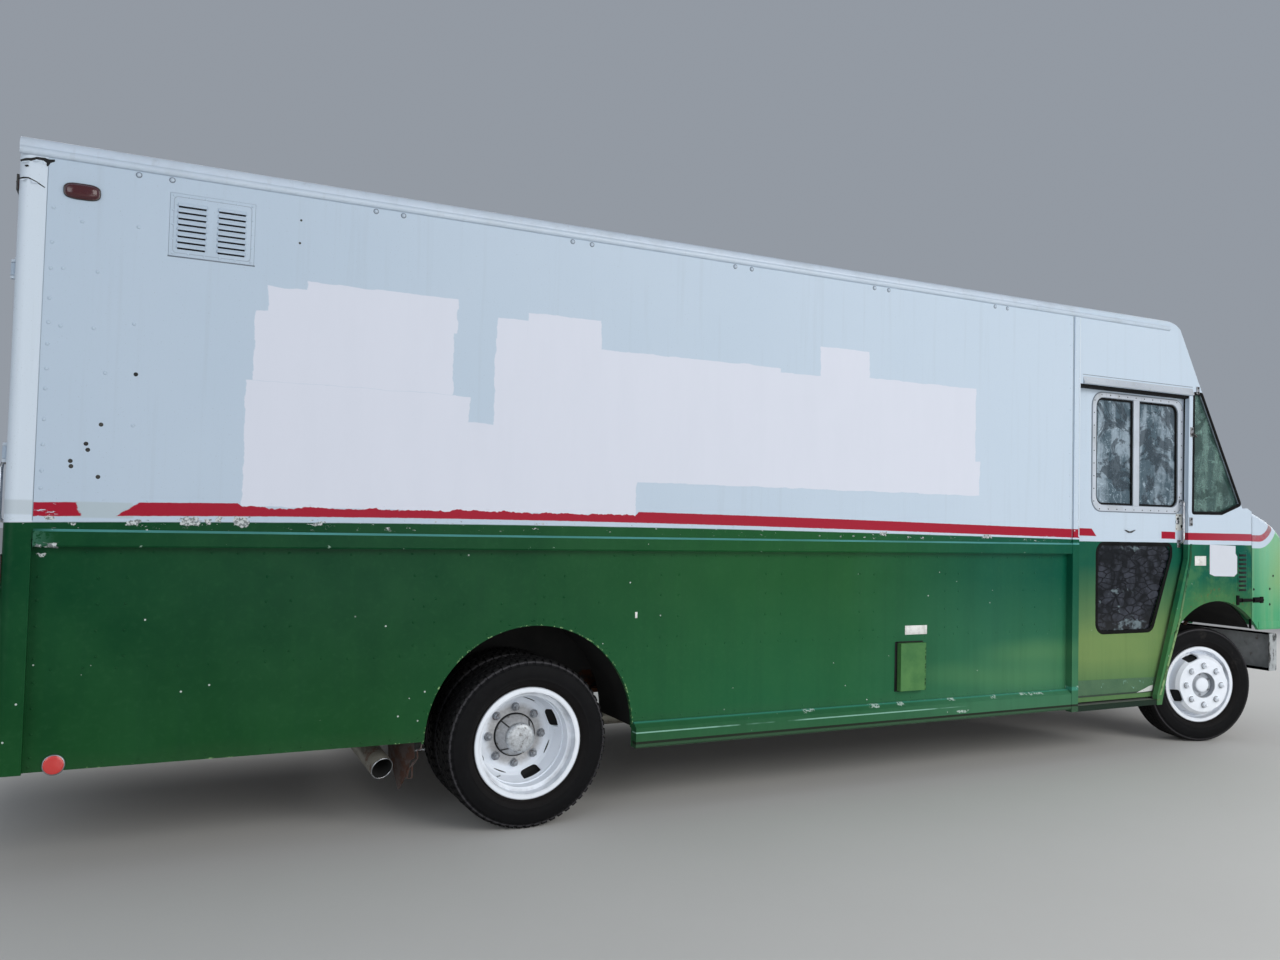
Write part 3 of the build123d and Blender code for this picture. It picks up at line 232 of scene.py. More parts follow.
def green_paint(m, kind="wall"):
    """the van's green: dark at the rear and high up, bluer ahead, paler and yellower low down (on the walls a painted
    reflection of the ground)
    """
    mid = m.noise(2.6, 4.0, 0.6)
    fine = m.noise(38.0, 4.0, 0.6)
    streak = m.noise(1.0, 4.0, 0.6, m.scaled(17.0, 17.0, 0.8))
    if kind == "door":
        high = m.step(m.math("MULTIPLY_ADD", mid, 0.12, z_of(m)), 1.08, 0.50)
        c = m.mix(high, srgb(108, 136, 86), srgb(16, 82, 66))
        olive = m.mul(m.band(m.math("MULTIPLY_ADD", mid, 0.12, m.z), 0.62, 0.90, 0.16), m.inv(m.step(m.x, 2.75, 0.35)))
        c = m.mix(m.mul(olive, 0.35), c, srgb(128, 148, 84))
        c = m.mix(m.mul(m.inv(m.step(m.z, 0.56, 0.16)), 0.5), c, srgb(66, 108, 70))
    elif kind == "cowl":
        high = m.step(m.math("MULTIPLY_ADD", mid, 0.25, z_of(m)), 1.22, 0.4)
        c = m.mix(high, srgb(14, 92, 66), srgb(12, 84, 72))
        c = m.mix(m.mul(m.inv(m.step(m.math("MULTIPLY_ADD", mid, 0.3, m.x), 3.26, 0.22)), 0.5), c, srgb(52, 122, 82))
        blot = m.noise(7.0, 5.0, 0.7)
        c = m.mix(m.mul(m.step(blot, 0.55, 0.12), 0.35), c, srgb(92, 134, 84))
        edge = m.radius((FRONT_ARCH[0] * MM, 0, FRONT_ARCH[1] * MM), (0, 1, 0))
        near = m.inv(m.step(m.math("MULTIPLY_ADD", mid, 0.16, edge), 0.77, 0.16))
        c = m.mix(m.mul(near, 0.5), c, srgb(86, 132, 76))
    elif kind == "hood":
        c = m.mix(m.step(m.math("MULTIPLY_ADD", mid, 0.3, z_of(m)), 1.30, 0.5), srgb(84, 166, 120), srgb(126, 186, 150))
        worn = m.mul(m.step(m.math("MULTIPLY_ADD", mid, 0.25, m.x), 4.06, 0.16), m.band(m.z, 1.02, 1.42, 0.22))
        c = m.mix(m.mul(worn, 0.35), c, srgb(168, 176, 104))
        c = m.mix(m.mul(m.inv(m.step(m.x, 3.80, 0.16)), 0.5), c, srgb(40, 122, 92))
        c = m.mix(m.mul(m.step(streak, 0.54, 0.2), 0.30), c, srgb(156, 198, 150))
    else:
        t1, t2 = m.step(m.x, -1.5, 2.0), m.step(m.math("MULTIPLY_ADD", mid, 0.5, m.x), 0.95, 1.1)
        # paler, yellower green low on the walls: painted reflection of the ground
        low = m.inv(m.step(m.math("MULTIPLY_ADD", mid, 0.14, z_of(m)), 0.86, 0.75))
        high_c = m.mix(t2, m.mix(t1, srgb(4, 60, 33), srgb(18, 80, 37)), srgb(11, 80, 61))
        low_c = m.mix(t2, m.mix(t1, srgb(20, 70, 33), srgb(33, 94, 60)), srgb(57, 115, 84))
        c = m.mix(low, high_c, low_c)
        # soft pale patches low on the wall ahead: painted highlights
        for px, pz, pw, ph, much in ((1.62, 0.700, 2.1, 11.0, 0.42), (1.52, 0.555, 1.9, 13.0, 0.34), (0.95, 0.60, 2.6, 14.0, 0.22)):
            u = m.math("MULTIPLY_ADD", m.x, pw, -px * pw)
            w = m.math("MULTIPLY_ADD", m.math("MULTIPLY_ADD", mid, 0.05, m.z), ph, -(pz + 0.025) * ph)
            d2 = m.add(m.mul(u, u), m.mul(w, w))
            patch = m.math("MULTIPLY_ADD", d2, -0.5, 1.0, clamp=True)
            c = m.mix(m.mul(m.mul(patch, patch), much), c, srgb(96, 142, 92))
    c = m.mix(m.mul(m.step(mid, 0.50, 0.30), 0.12), c, srgb(60, 118, 70))
    c = m.mix(m.mul(m.step(streak, 0.56, 0.20), 0.10), c, srgb(6, 50, 34))
    c = m.mix(m.mul(m.step(fine, 0.62, 0.2), 0.06), c, srgb(70, 120, 80))
    return c, mid, fine


def z_of(m):
    return m.z


def livery(name, kind, mirror=False):
    """white over green, with the stripes that run along the belt"""
    m = Mat(name)
    x, z = m.x, m.z
    wob = m.sub(m.noise(7.0, 3.0, 0.6), 0.5)
    rag = m.sub(m.noise(42.0, 4.0, 0.65), 0.5)
    zr = m.math("MULTIPLY_ADD", wob, 0.003, z)
    # whites
    along = m.math("MULTIPLY_ADD", x, 0.155, 0.58, clamp=True)
    white = m.mix(along, WHITE_REAR, WHITE_FRONT)
    cloud = m.noise(1.3, 4.0, 0.6)
    white = m.mix(m.mul(m.step(cloud, 0.55, 0.4), 0.10), white, srgb(208, 216, 226))
    if kind == "post":
        white = m.mix(m.mul(m.step(cloud, 0.5, 0.5), 0.3), srgb(203, 214, 225), srgb(211, 219, 227))
    runs = m.noise(1.0, 4.0, 0.6, m.scaled(26.0, 26.0, 0.9))
    white = m.mix(m.mul(m.step(runs, 0.66, 0.22), 0.10), white, srgb(140, 146, 150))
    specks = m.noise(160.0, 2.0, 0.5)
    white = m.mix(m.mul(m.step(specks, 0.70, 0.10), 0.30), white, srgb(120, 124, 126))
    green, mid, fine = green_paint(m, kind)
    layers = []
    line, low_edge = None, 1.430
    zb = z
    if kind in ("wall", "rail", "post"):
        # both lines are bowed along the body: heights over their base as cubics of x
        bow = m.math("MULTIPLY_ADD", m.math("MULTIPLY_ADD", m.math("MULTIPLY_ADD", x, 0.000348, -0.001868), x, -0.007749), x, 0.013604)
        zb = m.sub(z, bow)
        bow_red = m.math("MULTIPLY_ADD", m.math("MULTIPLY_ADD", m.math("MULTIPLY_ADD", x, 0.000514, -0.00193), x, -0.011978), x, -0.00099)
        zr = m.math("MULTIPLY_ADD", wob, 0.002, zb)
    if kind in ("wall", "rail"):
        xs = m.math("MULTIPLY_ADD", rag, 0.03, x)
        zs = m.math("MULTIPLY_ADD", rag, 0.004, m.sub(z, bow_red))
        # the stripe, thinned from above by the overpaint and gone at two places near the rear
        edge_top = m.math("MULTIPLY_ADD", m.band(xs, -3.127, -1.250, 0.02), m.math("MULTIPLY_ADD", m.noise(11.0, 3.0, 0.7), -0.045, 0.006), 1.5175)
        red = m.mul(m.step(zs, 1.462, 0.003), m.math("MULTIPLY_ADD", m.sub(zs, edge_top), -1.0 / 0.003, 0.5, clamp=True))
        lean = m.math("MULTIPLY_ADD", z, 0.30, xs)
        ramp = m.math("MULTIPLY_ADD", z, -1.45, xs)
        red = m.mul(red, m.top(m.mul(m.step(x, -3.885, 0.003), m.inv(m.step(lean, -3.2795, 0.006))), m.step(ramp, -5.700, 0.006)))
        scrape = m.mul(m.band(xs, -3.885, -3.80, 0.02), m.step(m.noise(30.0, 4.0, 0.75, m.scaled(0.5, 1.0, 2.5)), 0.60, 0.03))
        red = m.mul(red, m.inv(scrape))
        ghost = m.mul(m.band(z, 1.447, 1.510, 0.006), m.band(xs, -3.74, -3.53, 0.01))
        layers += [(m.mul(ghost, 0.6), srgb(168, 180, 182)), (red, RED)]
    elif kind == "post":
        layers += [(m.mul(m.band(z, 1.455, 1.512, 0.008), 0.5), srgb(170, 180, 184))]
    elif kind == "door":
        slant = m.math("MULTIPLY_ADD", z, 0.918, x)
        tilted = m.math("MULTIPLY_ADD", x, 0.0122, m.math("ADD", zr, -0.0261))
        red = m.mul(m.band(tilted, 1.447, 1.496, 0.003), m.top(m.math("MULTIPLY_ADD", slant, -400.0, 400.0 * 3.4915, clamp=True), m.band(x, 2.806, 2.95, 0.004)))
        layers += [(red, RED)]
        low_edge = 1.412
    elif kind == "cowl":
        layers += [(m.band(zr, 1.432, 1.483, 0.003), m.mix(m.step(x, 3.3, 0.8), RED, srgb(164, 66, 82)))]
        low_edge = 1.402
    elif kind == "hood":
        ahead = m.math("MAXIMUM", m.sub(x, 3.787), 0.0)
        below = m.math("MINIMUM", m.sub(z, 1.609), 0.0)
        r = m.math("SQRT", m.add(m.mul(ahead, ahead), m.mul(below, below)))
        r = m.math("MULTIPLY_ADD", wob, 0.004, r)
        fade = m.step(m.math("MULTIPLY_ADD", rag, 0.3, z), 1.50, 0.12)
        layers += [(m.band(r, 0.133, 0.180, 0.004), m.mix(fade, srgb(172, 88, 100), srgb(150, 138, 140)))]
        low_edge = None
    # overpaint, walls only
    if kind == "wall":
        ox = m.math("MULTIPLY_ADD", m.sub(m.noise(13.0, 3.0, 0.7), 0.5), 0.030, x)
        oz = m.math("MULTIPLY_ADD", m.sub(m.noise(9.0, 3.0, 0.6, m.scaled(1.0, 1.0, 3.0)), 0.5), 0.022, z)
        mask = None
        for x0, x1, z0, z1 in OVERPAINT:
            r = m.rect(ox, oz, x0, x1, z0, z1, 0.004)
            mask = r if mask is None else m.top(mask, r)
        roller = m.noise(1.0, 3.0, 0.6, m.scaled(9.0, 9.0, 1.6))
        over = m.mix(m.mul(m.step(roller, 0.55, 0.3), 0.25), OVER_WHITE, srgb(205, 209, 220))
        layers.insert(0, (m.mul(mask, 0.97), over))
        over_mask = mask
    body = m.over(white, *layers)
    if kind == "hood":
        body = m.mix(m.step(r, 0.228, 0.005), body, green)
    elif low_edge is not None and kind != "white":
        body = m.mix(m.inv(m.step(zr, low_edge, 0.004)), body, green)
    rough = m.math("MULTIPLY_ADD", fine, 0.16, 0.24)
    if kind == "rail":
        # the lower rail: paler upper edge (a painted highlight on its top ledge) with bare flecks, a seam, a darker hem
        lowrail = m.inv(m.step(z, 0.6, 0.01))
        body = m.mix(m.mul(m.band(z, 0.457, 0.480, 0.008), 0.6), body, srgb(64, 150, 132))
        second = m.mul(m.band(z, 0.410, 0.4165, 0.002), m.mul(m.inv(m.step(x, 0.85, 0.3)), m.step(m.noise(1.0, 3.0, 0.6, m.scaled(3.0, 3.0, 3.0)), 0.42, 0.15)))
        body = m.mix(m.mul(second, 0.8), body, srgb(150, 200, 182))
        for x0, x1, z0, z1 in ((0.262, 0.325, 0.446, 0.470), (0.462, 0.508, 0.447, 0.466), (1.196, 1.228, 0.449, 0.463), (0.86, 0.90, 0.452, 0.466),
                               (1.440, 1.496, 0.450, 0.464), (1.520, 1.630, 0.450, 0.460), (0.900, 0.985, 0.378, 0.392), (-0.20, -0.12, 0.45, 0.464)):
            tx = m.math("MULTIPLY_ADD", m.sub(m.noise(40.0, 4.0, 0.7), 0.5), 0.08, x)
            tz = m.math("MULTIPLY_ADD", m.sub(m.noise(31.0, 4.0, 0.7), 0.5), 0.04, z)
            body = m.mix(m.mul(m.mul(m.rect(tx, tz, x0, x1, z0, z1, 0.003), m.step(m.noise(62.0, 3.0, 0.7), 0.47, 0.05)), 0.85), body, srgb(186, 204, 196))
        body = m.mix(m.mul(m.mul(lowrail, m.inv(m.step(z, 0.357, 0.003))), 0.8), body, srgb(44, 76, 54))
        body = m.mix(m.mul(m.band(z, 0.356, 0.369, 0.003), lowrail), body, srgb(10, 26, 18))
        flecks = m.mul(m.band(z, 0.462, 0.485, 0.004), m.mul(m.step(m.noise(24.0, 5.0, 0.75), 0.60, 0.02), m.step(x, 0.15, 0.2)))
        body = m.mix(m.mul(flecks, 0.85), body, srgb(190, 208, 198))
        # the rail's top ledge: a painted highlight where it catches the sky, uneven along its length
        ledge = m.mul(m.band(z, 1.3905, 1.402, 0.002), m.step(m.x, -3.84, 0.10))
        body = m.mix(m.mul(ledge, m.math("MULTIPLY_ADD", m.noise(2.2, 3.0), 0.9, 0.25, clamp=True)), body, srgb(92, 160, 160))
    if kind in ("wall", "rail", "post"):
        # chips along the white line and on the rail's top edge, down to primer and metal
        chip = m.noise(21.0, 5.0, 0.72, m.scaled(1.0, 1.0, 2.4))
        near = m.band(zb, 1.398, 1.446, 0.016)
        spread = m.math("MULTIPLY_ADD", m.step(m.noise(0.9, 2.0, 0.5), 0.46, 0.25), 0.045, -0.015)
        chips = m.mul(near, m.step(m.add(chip, spread), 0.655, 0.02))
        tornx = m.math("MULTIPLY_ADD", m.sub(m.noise(34.0, 4.0, 0.7), 0.5), 0.09, x)
        tornz = m.math("MULTIPLY_ADD", m.sub(m.noise(27.0, 4.0, 0.7), 0.5), 0.04, z)
        for x0, x1, z0, z1 in ((-3.842, -3.808, 1.434, 1.450), (-3.553, -3.506, 1.418, 1.441), (-3.353, -3.286, 1.421, 1.456),
                               (-3.258, -3.232, 1.426, 1.452), (-3.215, -3.190, 1.436, 1.460), (-3.155, -3.088, 1.425, 1.462),
                               (-2.828, -2.786, 1.431, 1.447), (-3.829, -3.791, 1.325, 1.348), (-3.868, -3.845, 1.330, 1.343),
                               (-3.867, -3.845, 1.287, 1.301), (-3.749, -3.732, 1.414, 1.424), (-3.490, -3.473, 1.396, 1.403),
                               (0.30, 0.36, 1.430, 1.447), (1.10, 1.17, 1.422, 1.440)):
            chips = m.top(chips, m.rect(tornx, tornz, x0, x1, z0, z1, 0.003))
        if kind == "rail":
            worn = m.mul(m.inv(m.step(x, -3.83, 0.06)), m.step(m.noise(16.0, 5.0, 0.75), 0.56, 0.03))
            body = m.mix(m.mul(worn, 0.5), body, srgb(70, 116, 98))
            low_marks = m.mul(m.band(z, 1.325, 1.345, 0.004), m.step(m.noise(15.0, 4.0, 0.7), 0.66, 0.02))
            body = m.mix(m.mul(low_marks, 0.8), body, srgb(150, 178, 160))
        body = m.mix(chips, body, m.mix(m.step(m.noise(90.0, 2.0), 0.5, 0.1), srgb(196, 200, 200), srgb(120, 126, 126)))
    if kind == "wall":
        # bare flecks round the rear wheel arch and along the lower edges
        edge = m.radius((REAR_ARCH[0] * MM, 0, REAR_ARCH[1] * MM), (0, 1, 0))
        fleck = m.noise(46.0, 4.0, 0.75)
        rim = m.mul(m.band(edge, 0.528, 0.5385, 0.003), m.step(fleck, 0.58, 0.02))
        hem = m.mul(m.inv(m.step(z, 0.447, 0.004)), m.step(fleck, 0.62, 0.02))
        body = m.mix(m.mul(m.top(rim, hem), 0.8), body, srgb(140, 176, 120))
    if kind == "cowl":
        edge = m.radius((FRONT_ARCH[0] * MM, 0, FRONT_ARCH[1] * MM), (0, 1, 0))
        fleck = m.noise(30.0, 5.0, 0.75)
        rim = m.mul(m.band(edge, 0.598, 0.70, 0.03), m.step(fleck, 0.60, 0.03))
        body = m.mix(m.mul(rim, 0.7), body, m.mix(m.step(m.noise(60.0, 2.0), 0.5, 0.1), srgb(124, 148, 84), srgb(104, 84, 58)))
    # small scratches and stone marks, thicker near the bottom edges
    nick = m.cells(11.0, m.scaled(1.0, 1.0, 1.0))
    nicks = m.mul(m.math("LESS_THAN", nick, 0.045), m.step(m.noise(2.3, 2.0), 0.50, 0.05))
    body = m.mix(m.mul(nicks, m.inv(m.step(z, 1.40, 0.02))), body, srgb(186, 196, 190))
    if kind in ("wall", "cowl", "rail", "hood"):
        dust = m.mul(m.inv(m.step(m.math("MULTIPLY_ADD", mid, 0.10, z), 0.47, 0.20)), 0.18)
        body = m.mix(dust, body, srgb(92, 96, 80))
    wavy = m.noise(1.1, 2.0, 0.5, m.scaled(1.0, 1.0, 1.3))
    b1 = m.bump(wavy, 0.35, 0.02)
    height = m.mul(fine, 0.5)
    if kind == "wall":
        height = m.add(height, m.mul(over_mask, 0.9))
    b2 = m.bump(height, 0.12, 0.0008, b1)
    return m.shade(body, rough, 0.0, b2, spec=0.09)


def white_paint(name, tone=(196, 208, 220), grime=0.25, streaks=True):
    m = Mat(name)
    c = m.mix(m.mul(m.step(m.noise(1.7, 4.0, 0.6), 0.5, 0.4), 0.3), srgb(*tone), srgb(214, 220, 228))
    g = m.noise(5.0, 5.0, 0.65)
    c = m.mix(m.mul(m.step(g, 0.60, 0.25), grime), c, srgb(132, 134, 130))
    if streaks:
        s = m.noise(1.0, 4.0, 0.6, m.scaled(30.0, 30.0, 1.2))
        c = m.mix(m.mul(m.step(s, 0.68, 0.2), grime), c, srgb(120, 116, 104))
    fine = m.noise(120.0, 3.0, 0.6)
    return m.shade(c, m.math("MULTIPLY_ADD", fine, 0.2, 0.32), 0.0, m.bump(fine, 0.15, 0.0006), coat=0.15, coat_rough=0.2)


def worn_metal(name, tone, rust=0.0, rough=0.45, metal=1.0, rust_tone=(104, 58, 34), scale=18.0):
    m = Mat(name)
    g = m.noise(scale, 5.0, 0.65)
    f = m.noise(scale * 7.0, 3.0, 0.6)
    dark = tuple(int(v * 0.62) for v in tone)
    c = m.mix(m.step(g, 0.5, 0.5), srgb(*tone), srgb(*dark))
    met = metal
    if rust:
        spots = m.step(m.add(g, m.mul(f, 0.25)), 0.80 - 0.42 * rust, 0.12)
        c = m.mix(spots, c, m.mix(f, srgb(*rust_tone), srgb(64, 36, 24)))
        met = m.mul(m.inv(spots), metal)
        r = m.math("MULTIPLY_ADD", spots, 0.35, rough, clamp=True)
    else:
        r = m.math("MULTIPLY_ADD", f, 0.25, rough - 0.1, clamp=True)
    return m.shade(c, r, met, m.bump(m.add(g, m.mul(f, 0.4)), 0.25, 0.0012))


def plastic(name, tone, rough=0.55, dust=0.25, grain=240.0, **more):
    m = Mat(name)
    g = m.noise(9.0, 4.0, 0.6)
    f = m.noise(grain, 2.0, 0.5)
    c = m.mix(m.mul(m.step(g, 0.52, 0.35), dust), srgb(*tone), srgb(122, 120, 112))
    return m.shade(c, m.math("MULTIPLY_ADD", g, 0.2, rough - 0.1, clamp=True), 0.0, m.bump(f, 0.18, 0.0005), **more)


def tyre_rubber(name, axis_points):
    """black rubber, greyer and dusty on the tread and in the grooves"""
    m = Mat(name)
    centre, axis = axis_points
    r = m.radius(centre, axis)
    g = m.noise(14.0, 5.0, 0.65)
    f = m.noise(90.0, 4.0, 0.6)
    c = m.mix(m.step(g, 0.5, 0.5), srgb(8, 8, 10), srgb(15, 15, 17))
    tread = m.step(r, 0.385, 0.02)
    c = m.mix(m.mul(tread, m.math("MULTIPLY_ADD", g, 0.5, 0.15, clamp=True)), c, srgb(30, 29, 29))
    low = m.mul(m.inv(m.step(r, 0.296, 0.04)), 0.20)
    c = m.mix(low, c, srgb(52, 46, 42))
    scuff = m.mul(m.step(m.noise(6.0, 4.0, 0.7), 0.66, 0.08), 0.18)
    c = m.mix(scuff, c, srgb(70, 66, 62))
    lip = m.mul(m.band(r, 0.384, 0.391, 0.003), 0.35)
    c = m.mix(lip, c, srgb(96, 94, 98))
    return m.shade(c, m.math("MULTIPLY_ADD", f, 0.2, 0.55), 0.0, m.bump(f, 0.25, 0.0010), spec=0.12)


def wheel_paint(name, centre, axis, dish=None):
    """white steel wheel, stained where the brake dust and rain collect; dish is the stained face's radius"""
    m = Mat(name)
    r = m.radius(centre, axis)
    g = m.noise(9.0, 5.0, 0.65)
    f = m.noise(70.0, 4.0, 0.6)
    c = m.mix(m.mul(m.step(g, 0.5, 0.4), 0.25), srgb(238, 243, 250), srgb(214, 220, 230))
    c = m.mix(m.mul(m.step(f, 0.70, 0.1), 0.25), c, srgb(136, 128, 116))
    rim = m.mul(m.band(r, 0.226, 0.246, 0.012), m.step(g, 0.5, 0.3))
    c = m.mix(m.mul(rim, 0.45), c, srgb(118, 120, 124))
    if dish:
        stain = m.mul(m.inv(m.step(m.math("MULTIPLY_ADD", g, 0.05, r), dish, 0.030)), 0.75)
        c = m.mix(stain, c, m.mix(m.step(f, 0.5, 0.3), srgb(176, 174, 172), srgb(142, 138, 134)))
        ring = m.mul(m.band(r, 0.100, 0.107, 0.002), 0.85)
        c = m.mix(ring, c, srgb(30, 30, 32))
    else:
        ring = m.mul(m.band(r, 0.086, 0.091, 0.002), m.mul(m.step(g, 0.42, 0.2), 0.7))
        c = m.mix(ring, c, srgb(110, 112, 120))
        # greyer band in the sunk hub's recess: painted shade
        dirt = m.mul(m.band(r, 0.050, 0.086, 0.006), 0.55)
        c = m.mix(dirt, c, srgb(140, 146, 154))
    edge = m.step(r, 0.263, 0.004)
    c = m.mix(m.mul(edge, 0.5), c, srgb(110, 114, 122))
    return m.shade(c, m.math("MULTIPLY_ADD", f, 0.2, 0.40), 0.0, m.bump(m.add(f, g), 0.2, 0.0012), spec=0.3)


def window(name, tone, alpha, rough=0.03, sheen=None, low=None, dark=None):
    """glass with a film of dust and painted reflections; sheen is the tone of the reflected surroundings painted on it,
    low the height under which it carries a painted reflection of a dark bank
    """
    m = Mat(name)
    g = m.noise(3.0, 4.0, 0.6)
    film = m.noise(60.0, 3.0, 0.7)
    c = m.mix(m.mul(g, 0.5), srgb(*tone), srgb(*[min(255, int(v * 1.15 + 8)) for v in tone]))
    # painted reflections of tall shapes, blots and twigs, and of dark things
    if sheen:
        tall = m.noise(1.0, 4.0, 0.62, m.scaled(8.0, 8.0, 1.3), 0.8)
        blot = m.noise(9.0, 5.0, 0.72, None, 0.8)
        twig = m.noise(26.0, 5.0, 0.75, None, 1.2)
        c = m.mix(m.step(m.add(m.mul(tall, 0.65), m.mul(blot, 0.35)), 0.52, 0.11), c, srgb(*sheen))
        c = m.mix(m.mul(m.step(twig, 0.60, 0.06), 0.45), c, srgb(*[min(255, int(v * 1.25 + 18)) for v in sheen]))
        if dark:
            c = m.mix(m.mul(m.step(m.noise(4.2, 4.0, 0.7, None, 0.9), 0.53, 0.05), 0.75), c, srgb(*dark))
    # below low: an opaque painted reflection of a dark bank of stones with pale blocks
    if low:
        stones = m.cells(12.0, m.scaled(0.9, 0.9, 2.0), "DISTANCE_TO_EDGE")
        face = m.noise(8.0, 4.0, 0.65)
        bank = m.mix(m.step(stones, 0.06, 0.10), srgb(10, 11, 15), m.mix(m.step(face, 0.52, 0.20), srgb(20, 22, 26), srgb(58, 61, 70)))
        pale = m.mul(m.step(m.noise(3.4, 4.0, 0.7, m.scaled(0.8, 0.8, 1.6)), 0.60, 0.03), m.step(face, 0.50, 0.08))
        bank = m.mix(m.mul(pale, 0.7), bank, srgb(120, 136, 142))
        c = m.mix(m.inv(m.step(m.z, low, 0.004)), c, bank)
    a = m.math("MULTIPLY_ADD", m.step(m.add(film, m.mul(g, 0.3)), 0.72, 0.3), 0.18, alpha, clamp=True)
    if low:
        a = m.top(a, m.inv(m.step(m.z, low, 0.004)))
    return m.shade(c, m.math("MULTIPLY_ADD", film, 0.06, rough), 0.0, m.bump(g, 0.04, 0.004), alpha=a, spec=0.5 if low else 0.8)


# ---------------------------------------------------------------------------
# The finishes
# ---------------------------------------------------------------------------
TURN = {side: (Vector((-side * math.sin(STEER), side * math.cos(STEER), 0.0))) for _, side in SIDES}
FRONT_C = {side: Vector((FRONT_X, side * KINGPIN_Y, AXLE_Z)) + TURN[side] * FRONT_OUT for _, side in SIDES}
REAR_C = {side: Vector((REAR_X, side * (REAR_DISC_Y + DISC_OFFSET), AXLE_Z)) for _, side in SIDES}

def bumper_paint(name):
    """white outside, and black where it faces the frame as painted shade"""
    m = Mat(name)
    g = m.noise(18.0, 5.0, 0.65)
    outside = m.top(m.step(m.math("ABSOLUTE", m.x), 4.1575, 0.002), m.mul(m.step(m.math("ABSOLUTE", m.y), 1.0935, 0.001), m.step(m.x, 0.0, 1.0)))
    c = m.mix(m.step(g, 0.5, 0.5), srgb(186, 190, 192), srgb(150, 154, 156))
    c = m.mix(m.mul(m.step(g, 0.66, 0.08), 0.6), c, srgb(104, 76, 56))
    worn = m.mul(m.step(m.noise(9.0, 5.0, 0.75, m.scaled(1.6, 1.6, 0.5)), 0.52, 0.05), m.step(m.math("ABSOLUTE", m.y), 1.0935, 0.001))
    c = m.mix(m.mul(worn, 0.85), c, srgb(52, 52, 50))
    # painted shade: black on the inward faces, pale only on the outer faces and the front bumper's ends
    c = m.mix(outside, srgb(5, 5, 6), c)
    return m.shade(c, m.math("MULTIPLY_ADD", g, 0.2, 0.62), 0.0, m.bump(g, 0.2, 0.001), spec=0.0)


def flap_paint(name):
    """the fuel flap's yellower green, scratched at its edge"""
    m = Mat(name)
    g = m.noise(7.0, 4.0, 0.6)
    f = m.noise(50.0, 4.0, 0.7)
    c = m.mix(m.step(g, 0.5, 0.4), srgb(60, 108, 64), srgb(88, 134, 78))
    c = m.mix(m.mul(m.step(m.x, 0.660, 0.006), m.step(f, 0.50, 0.04)), c, srgb(30, 62, 34))
    return m.shade(c, m.math("MULTIPLY_ADD", f, 0.2, 0.32), 0.0, m.bump(g, 0.3, 0.004), spec=0.1)


def flange_paint(name):
    """door post flange: pale low down as a painted highlight, dark green above"""
    m = Mat(name)
    g = m.noise(12.0, 5.0, 0.7)
    # paler low down: painted highlight
    t = m.step(m.math("MULTIPLY_ADD", g, 0.5, m.z), 1.22, 0.5)
    c = m.mix(t, srgb(128, 158, 108), srgb(24, 84, 62))
    c = m.mix(m.mul(m.step(g, 0.56, 0.06), 0.7), c, srgb(44, 70, 40))
    return m.shade(c, m.math("MULTIPLY_ADD", g, 0.2, 0.4), 0.0, m.bump(g, 0.3, 0.001), spec=0.12)


M = {}
M["wall"] = livery("livery_wall", "wall")
M["rail"] = livery("livery_rail", "rail")
M["door"] = livery("livery_door", "door")
M["cowl"] = livery("livery_cowl", "cowl")
M["hood"] = livery("livery_hood", "hood")
M["seam"] = plastic("seam_grey", (120, 130, 142), 0.7, 0.1)
M["seam_dark"] = plastic("hole_black", (6, 6, 8), 0.8, 0.0)
M["moulding"] = white_paint("moulding_white_paint", (184, 198, 213), 0.15)
M["window_frame"] = white_paint("window_frame_paint", (184, 192, 203), 0.45)
M["torn_edge"] = white_paint("torn_pale_skin", (206, 208, 202), 0.3, False)
M["flap"] = flap_paint("fuel_flap_paint")
M["post"] = livery("livery_post", "post")
M["white"] = white_paint("body_white_paint", (186, 200, 215), 0.15)
M["roof"] = white_paint("roof_white", (190, 203, 218), 0.22)
M["inside"] = white_paint("inside_white", (176, 180, 182), 0.35, False)
M["wheel_front_right"] = wheel_paint("wheel_white_front_right", FRONT_C[-1] * MM, tuple(TURN[-1]))
M["wheel_front_left"] = wheel_paint("wheel_white_front_left", FRONT_C[1] * MM, tuple(TURN[1]))
M["wheel_rear"] = wheel_paint("wheel_white_rear", (REAR_X * MM, 0, AXLE_Z * MM), (0, 1, 0), 0.172)
M["tyre_rear"] = tyre_rubber("tyre_rubber_rear", ((REAR_X * MM, 0, AXLE_Z * MM), (0, 1, 0)))
M["tyre_front_right"] = tyre_rubber("tyre_rubber_front_right", (FRONT_C[-1] * MM, tuple(TURN[-1])))
M["tyre_front_left"] = tyre_rubber("tyre_rubber_front_left", (FRONT_C[1] * MM, tuple(TURN[1])))
M["aluminium"] = worn_metal("bare_aluminium", (176, 180, 184), 0.0, 0.38)
M["tread_plate"] = worn_metal("floor_plate", (138, 140, 142), 0.1, 0.45)
M["steel"] = worn_metal("weathered_steel", (112, 112, 112), 0.55, 0.5)
M["exhaust"] = worn_metal("exhaust_pipe", (182, 178, 166), 0.12, 0.45, 0.6, scale=11.0)
M["soot"] = plastic("exhaust_soot", (8, 8, 8), 0.9, 0.05)
M["rust"] = worn_metal("rusty_steel", (92, 78, 68), 0.85, 0.7)
M["cast"] = worn_metal("cast_iron", (78, 76, 74), 0.5, 0.6, 0.7)
M["hub"] = worn_metal("hub_cap_metal", (214, 218, 222), 0.05, 0.36, 0.35, scale=60.0)
M["ring"] = worn_metal("hub_ring_metal", (168, 166, 158), 0.10, 0.5, 0.3, scale=40.0)
M["nut"] = worn_metal("wheel_nut_metal", (172, 176, 182), 0.12, 0.45, 0.4, scale=60.0)
